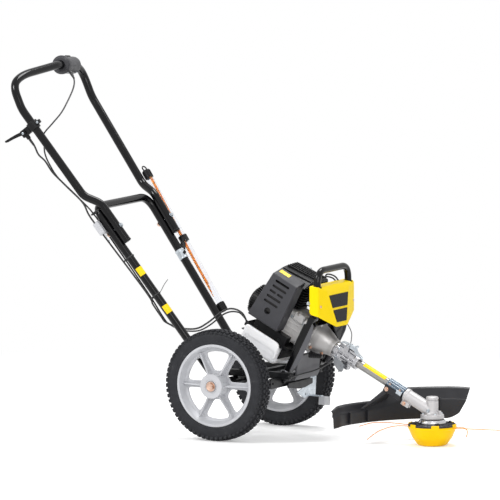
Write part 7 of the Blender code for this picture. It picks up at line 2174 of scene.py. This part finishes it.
@dataclass
class LineHead:
    """Gear case, steel collar, black disc, yellow bowl and the orange line."""

    x: float = 0.621
    case_radius: float = 0.018
    case_top: float = 0.148
    sleeve: tuple[float, float] = (0.173, 0.268)
    collar_radius: float = 0.0425
    head_radius: float = 0.0735
    head_top: float = 0.059
    line_radius: float = 0.00125
    flange_reach: float = 0.029
    screw_reach: float = 0.056
    line_degrees: tuple[float, float, float, float] = (176, 196, -4, 16)

    def axes(self) -> Matrix:
        """Axes on the ground under the head, Z along its spin axis."""
        return Matrix.Translation((self.x, 0, 0))

    def flange_spots(self, z: float) -> list[tuple[float, float, float]]:
        """Places of the four flange screws at a height."""
        angles = [math.radians(45 + 90 * index) for index in range(4)]
        return [(self.x + self.flange_reach * math.cos(a), self.flange_reach * math.sin(a), z)
                for a in angles]

    def gear_case(self) -> None:
        """Upright case with a capped top, flange, sleeve over the tube and clamp lug."""
        r, top = self.case_radius, self.case_top
        section = [(0.0, top), (r - 0.002, top), (r + 0.0006, top - 0.0022), (r + 0.0006, top - 0.0085),
                   (r - 0.0022, top - 0.0095), (r - 0.0022, top - 0.0115), (r + 0.0004, top - 0.0125),
                   (r + 0.0004, 0.102), (0.0225, 0.095),
                   (0.035, 0.094), (0.0356, 0.0905), (0.0356, 0.083), (0.0345, 0.0805), (0.0, 0.0805)]
        bm = moved(turned(section, 0.0014, 4, 88), self.axes())
        start, end = self.sleeve
        sleeve = [(0.0133, 0.0), (0.02, 0.0), (0.0205, 0.003), (0.0205, 0.01), (0.0188, 0.012),
                  (0.0196, 0.06), (0.0206, end - start), (0.0, end - start), (0.0, 0.0417),
                  (0.0133, 0.0417)]
        weld(bm, moved(turned(sleeve, 0.001, 3, 72, closed=True),
                       SHAFT_AXES @ facing((start, 0, 0), (1, 0, 0))))
        for side in Side:
            y = side.value * 0.0048
            weld(bm, moved(soft_box((start, y - 0.0036, -0.033), (start + 0.028, y + 0.0036, -0.012),
                                    0.0018), SHAFT_AXES))
        for spot in self.flange_spots(0.0925):
            weld(bm, rod(spot, Vector(spot) + Vector((0, 0, 0.0032)), 0.005, edge=0.0008))
        weld(bm, soft_box((self.x + 0.01, -0.0016, 0.094), (self.x + 0.03, 0.0016, 0.106), 0.001))
        publish(bm, "gear_case", PALE_ALUMINIUM, stands_for=["gear_head"])

    def case_screws(self) -> None:
        """Clamp bolt, grease screw and flange screws."""
        copper = stood(hex_bolt(0.005, 0.0042, 0.0066), (self.sleeve[0] + 0.01, -0.0086, -0.026),
                       (0, -1, 0))
        weld(copper, rod((self.sleeve[0] + 0.01, -0.009, -0.026), (self.sleeve[0] + 0.01, 0.012, -0.026),
                         0.0028))
        publish(copper, "sleeve_clamp_bolt", PASSIVATED, place=SHAFT_AXES)
        spot = Vector((self.x - 0.005, -0.0176, 0.106))
        bm = stood(hex_bolt(0.0046, 0.0036, 0.0058), spot, (-0.25, -1.0, 0.0))
        weld(bm, *[stood(cap_screw(0.0034, 0.0028), spot, (0, 0, 1)) for spot in self.flange_spots(0.0956)])
        publish(bm, "case_fittings", ZINC)

    def collar(self) -> None:
        """Turned steel collar with a locking hole and the shaft's stub."""
        section = [(0.0, 0.091), (0.006, 0.091), (0.006, 0.0797), (0.03, 0.0797), (0.0375, 0.0778),
                   (0.0412, 0.074), (self.collar_radius, 0.0705), (self.collar_radius, 0.0666),
                   (0.0, 0.0666)]
        bm = turned(section, 0.0012, 4, 96)
        hole = rod((0, 0, 0), (0.012, 0, 0), 0.0022)
        stood(hole, (-0.03, -0.0265, 0.073), (-0.75, -0.66, 0.0))
        publish(carved(bm, hole), "turned_collar", BRIGHT_STEEL, Body.HEAD, ["head_collar"], self.axes())

    def disc(self) -> None:
        """Black disc with ribs and four screw bosses."""
        r, low = self.head_radius, self.head_top + 0.0006
        section = [(0.0, 0.0662), (0.05, 0.0662), (0.06, 0.0655), (r - 0.003, 0.0652), (r, 0.063),
                   (r, low), (0.0, low)]
        bm = turned(section, 0.0008, 3, 112)
        rib = soft_box((0.044, -0.001, 0.064), (0.07, 0.001, 0.0668), 0.0005, 2)
        weld(bm, repeated(rib, 24))
        reach = self.screw_reach
        boss = moved(rod((reach, 0, 0.063), (reach, 0, 0.07), 0.0055, edge=0.0008), spun(45, "Z"))
        weld(bm, repeated(boss, 4))
        screw = moved(moved(cap_screw(0.0042, 0.0026), (reach, 0, 0.0698)), spun(45, "Z"))
        weld(bm, repeated(screw, 4))
        publish(bm, "head_plate", BLACK_POLYPROPYLENE, Body.HEAD, ["head_disc"], self.axes())

    def bowl(self) -> None:
        """Hollow bowl with a lip, latch tabs round its rim and eyelets for the line."""
        r, top = self.head_radius, self.head_top
        section = [(0.0, 0.0012), (0.01, 0.0012), (0.012, 0.0), (0.0385, 0.0), (0.044, 0.0025),
                   (0.06, 0.024), (0.069, 0.044), (0.0712, 0.05), (r, 0.052), (r, top), (r - 0.003, top),
                   (r - 0.005, 0.053), (0.057, 0.025), (0.04, 0.005), (0.0, 0.005)]
        bm = turned(section, 0.003, 5, 128)
        tab = soft_box((r - 0.0035, -0.012, 0.0535), (r + 0.0012, 0.012, 0.0672), 0.0022)
        moved(tab, spun(-56, "Z"))
        weld(bm, repeated(tab, 6))
        for degrees in self.line_degrees:
            angle = math.radians(degrees)
            out = Vector((math.cos(angle), math.sin(angle), 0))
            weld(bm, stood(ring(0.0032, 0.0011, 28), out * (r + 0.0002) + Vector((0, 0, 0.056)), out))
        publish(bm, "head_bowl_moulding", YELLOW_NYLON, Body.HEAD, ["head_bowl"], self.axes())

    def line(self) -> None:
        """Wound core of line in the bowl and the four free ends."""
        bm = bmesh.new()
        for layer, z in enumerate((0.044, 0.0466, 0.0492, 0.0518, 0.0544)):
            for turn in range(5):
                weld(bm, moved(ring(0.024 + turn * 0.0026 + 0.0013 * (layer % 2), self.line_radius, 48),
                               (0, 0, z)))
        shapes = (mm(((150, -10, 56.5), (225, -26, 50), (286, -46, 33))),
                  mm(((120, 0, 54), (165, 4, 38), (200, 8, 12))),
                  mm(((140, 10, 57), (200, 22, 57.2), (262, 38, 57.5))),
                  mm(((98, -6, 56), (112, -20, 48), (112, -34, 32))))
        for degrees, shape in zip(self.line_degrees, shapes):
            route = flowing([(0.036, 0.0, 0.0545), (0.075, 0.0, 0.056), *shape], 8)
            weld(bm, moved(hose(route, self.line_radius, 10), spun(degrees, "Z")))
        publish(bm, "head_line", ORANGE_LINE, Body.HEAD, ["trimmer_line"], self.axes())

    def build(self) -> None:
        """Build gear case, collar, disc, bowl and line."""
        for step in (self.gear_case, self.case_screws, self.collar, self.disc, self.bowl, self.line):
            step()


# Studio


@dataclass
class Studio:
    """Camera, floor and soft lights of the photograph."""

    azimuth_deg: float = 28.0
    elevation_deg: float = 6.49
    pixels_per_metre: float = 329.0
    focal_pixels: float = 12000.0
    picture_pixels: float = 500.0
    sensor_mm: float = 36.0
    paper_glow: float = 0.3
    target: Vector = field(default_factory=lambda: Vector((-0.0811, 0.0, 0.5598)))

    def camera(self) -> None:
        """Long lens at the photograph's angle, which keeps its near parallel lines."""
        azimuth = math.radians(self.azimuth_deg)
        rise = math.radians(self.elevation_deg)
        back = Vector((math.sin(azimuth) * math.cos(rise), -math.cos(azimuth) * math.cos(rise),
                       math.sin(rise)))
        data = bpy.data.cameras.new("camera")
        data.sensor_width = self.sensor_mm
        data.lens = self.focal_pixels / self.picture_pixels * self.sensor_mm
        data.clip_end = 500.0
        seat = bpy.data.objects.new("camera", data)
        bpy.context.scene.collection.objects.link(seat)
        seat.location = self.target + back * (self.focal_pixels / self.pixels_per_metre)
        seat.rotation_mode = "QUATERNION"
        seat.rotation_quaternion = (-back).to_track_quat("-Z", "Y")
        bpy.context.scene.camera = seat

    def floor(self) -> None:
        """Plain pale floor that keeps the shadow and fades to white away from the machine."""
        bm = bmesh.new()
        bmesh.ops.create_grid(bm, x_segments=1, y_segments=1, size=60.0)
        data = bpy.data.meshes.new("floor")
        bm.to_mesh(data)
        bm.free()
        ground = bpy.data.objects.new("floor", data)
        bpy.context.scene.collection.objects.link(ground)
        ground.location = (0.0, 0.0, -0.0002)
        made = bpy.data.materials.new("matt_white_paper")
        made.use_nodes = True
        tree = made.node_tree
        shader = tree.nodes["Principled BSDF"]
        shader.inputs["Base Color"].default_value = (0.9, 0.9, 0.9, 1.0)
        shader.inputs["Roughness"].default_value = 0.9
        shader.inputs["Specular IOR Level"].default_value = 0.1
        white = add_node(tree, "ShaderNodeEmission", {"Color": (1.0, 1.0, 1.0, 1.0), "Strength": 1.0})
        place = add_node(tree, "ShaderNodeTexCoord").outputs["Object"]
        away = add_node(tree, "ShaderNodeVectorMath", {"operation": "LENGTH"}, {"Vector": place})
        fade = add_node(tree, "ShaderNodeMapRange", {"From Min": 0.85, "From Max": 2.2},
                        {"Value": away.outputs["Value"]})
        rays = add_node(tree, "ShaderNodeLightPath")
        seen = self.seen_rays(tree, rays)
        glow = add_node(tree, "ShaderNodeMath", {"operation": "MULTIPLY", 1: self.paper_glow}, {0: seen})
        tree.links.new(glow.outputs["Value"], shader.inputs["Emission Strength"])
        shader.inputs["Emission Color"].default_value = (1.0, 1.0, 1.0, 1.0)
        share = add_node(tree, "ShaderNodeMath", {"operation": "MULTIPLY"},
                         {0: fade.outputs["Result"], 1: seen})
        mixed = add_node(tree, "ShaderNodeMixShader", links={0: share.outputs["Value"]})
        tree.links.new(shader.outputs["BSDF"], mixed.inputs[1])
        tree.links.new(white.outputs["Emission"], mixed.inputs[2])
        output = next(n for n in tree.nodes if n.type == "OUTPUT_MATERIAL")
        tree.links.new(mixed.outputs["Shader"], output.inputs["Surface"])
        data.materials.append(made)

    def seen_rays(self, tree: Tree, rays: bpy.types.Node) -> Socket:
        """Camera, glossy and transmission rays together.

        Args:
            tree: node tree that takes the nodes.
            rays: Light Path node.

        Returns:
            A socket that is 1 for a ray of these kinds.
        """
        first = add_node(tree, "ShaderNodeMath", {"operation": "MAXIMUM"}, {
            0: rays.outputs["Is Camera Ray"], 1: rays.outputs["Is Glossy Ray"]})
        second = add_node(tree, "ShaderNodeMath", {"operation": "MAXIMUM"}, {
            0: first.outputs["Value"], 1: rays.outputs["Is Transmission Ray"]})
        return second.outputs["Value"]

    def world(self) -> None:
        """White surround for the eye and for reflections, softer as a light."""
        world = bpy.data.worlds.new("white_studio")
        bpy.context.scene.world = world
        world.use_nodes = True
        tree = world.node_tree
        surround = tree.nodes["Background"]
        surround.inputs["Color"].default_value = (1.0, 1.0, 1.0, 1.0)
        seen = self.seen_rays(tree, add_node(tree, "ShaderNodeLightPath"))
        level = add_node(tree, "ShaderNodeMapRange", {"To Min": 0.56, "To Max": 1.0}, {"Value": seen})
        tree.links.new(level.outputs["Result"], surround.inputs["Strength"])

    def lamp(self, name: str, place: Point, size: float, power: float) -> None:
        """One soft square lamp that looks at the machine's middle.

        Args:
            name: name of the lamp.
            place: where it hangs.
            size: its width in metres.
            power: its power in watts.
        """
        data = bpy.data.lights.new(name, "AREA")
        data.size = size
        data.energy = power
        seat = bpy.data.objects.new(name, data)
        bpy.context.scene.collection.objects.link(seat)
        seat.location = place
        seat.rotation_euler = (self.target - Vector(place)).to_track_quat("-Z", "Y").to_euler()

    def build(self) -> None:
        """Set up camera, floor, surround and lamps."""
        self.camera()
        self.floor()
        self.world()
        self.lamp("key_softbox", (-1.6, -2.6, 2.8), 0.9, 62.0)
        self.lamp("fill_softbox", (2.4, -2.6, 1.7), 1.8, 43.0)
        self.lamp("top_softbox", (0.2, 0.8, 3.2), 1.2, 54.0)
        view = bpy.context.scene.view_settings
        view.view_transform = "Standard"


def main() -> None:
    """Build the studio and dress the machine."""
    logging.basicConfig(level=logging.INFO)
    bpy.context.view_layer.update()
    Studio().build()
    paint(["axle", "drive_shaft"], BRIGHT_STEEL)
    for assembly in (Wheel(Side.RIGHT), Wheel(Side.LEFT), HandleFrame(), GripControls(), CableRun(),
                     SpareLine(), Chassis(), EngineShell(), FuelAndAir(), EngineShield(), Coupling(),
                     DriveTube(), Guard(), LineHead()):
        assembly.build()
        log.info("finished %s", type(assembly).__name__)


if __name__ == "__main__":
    main()
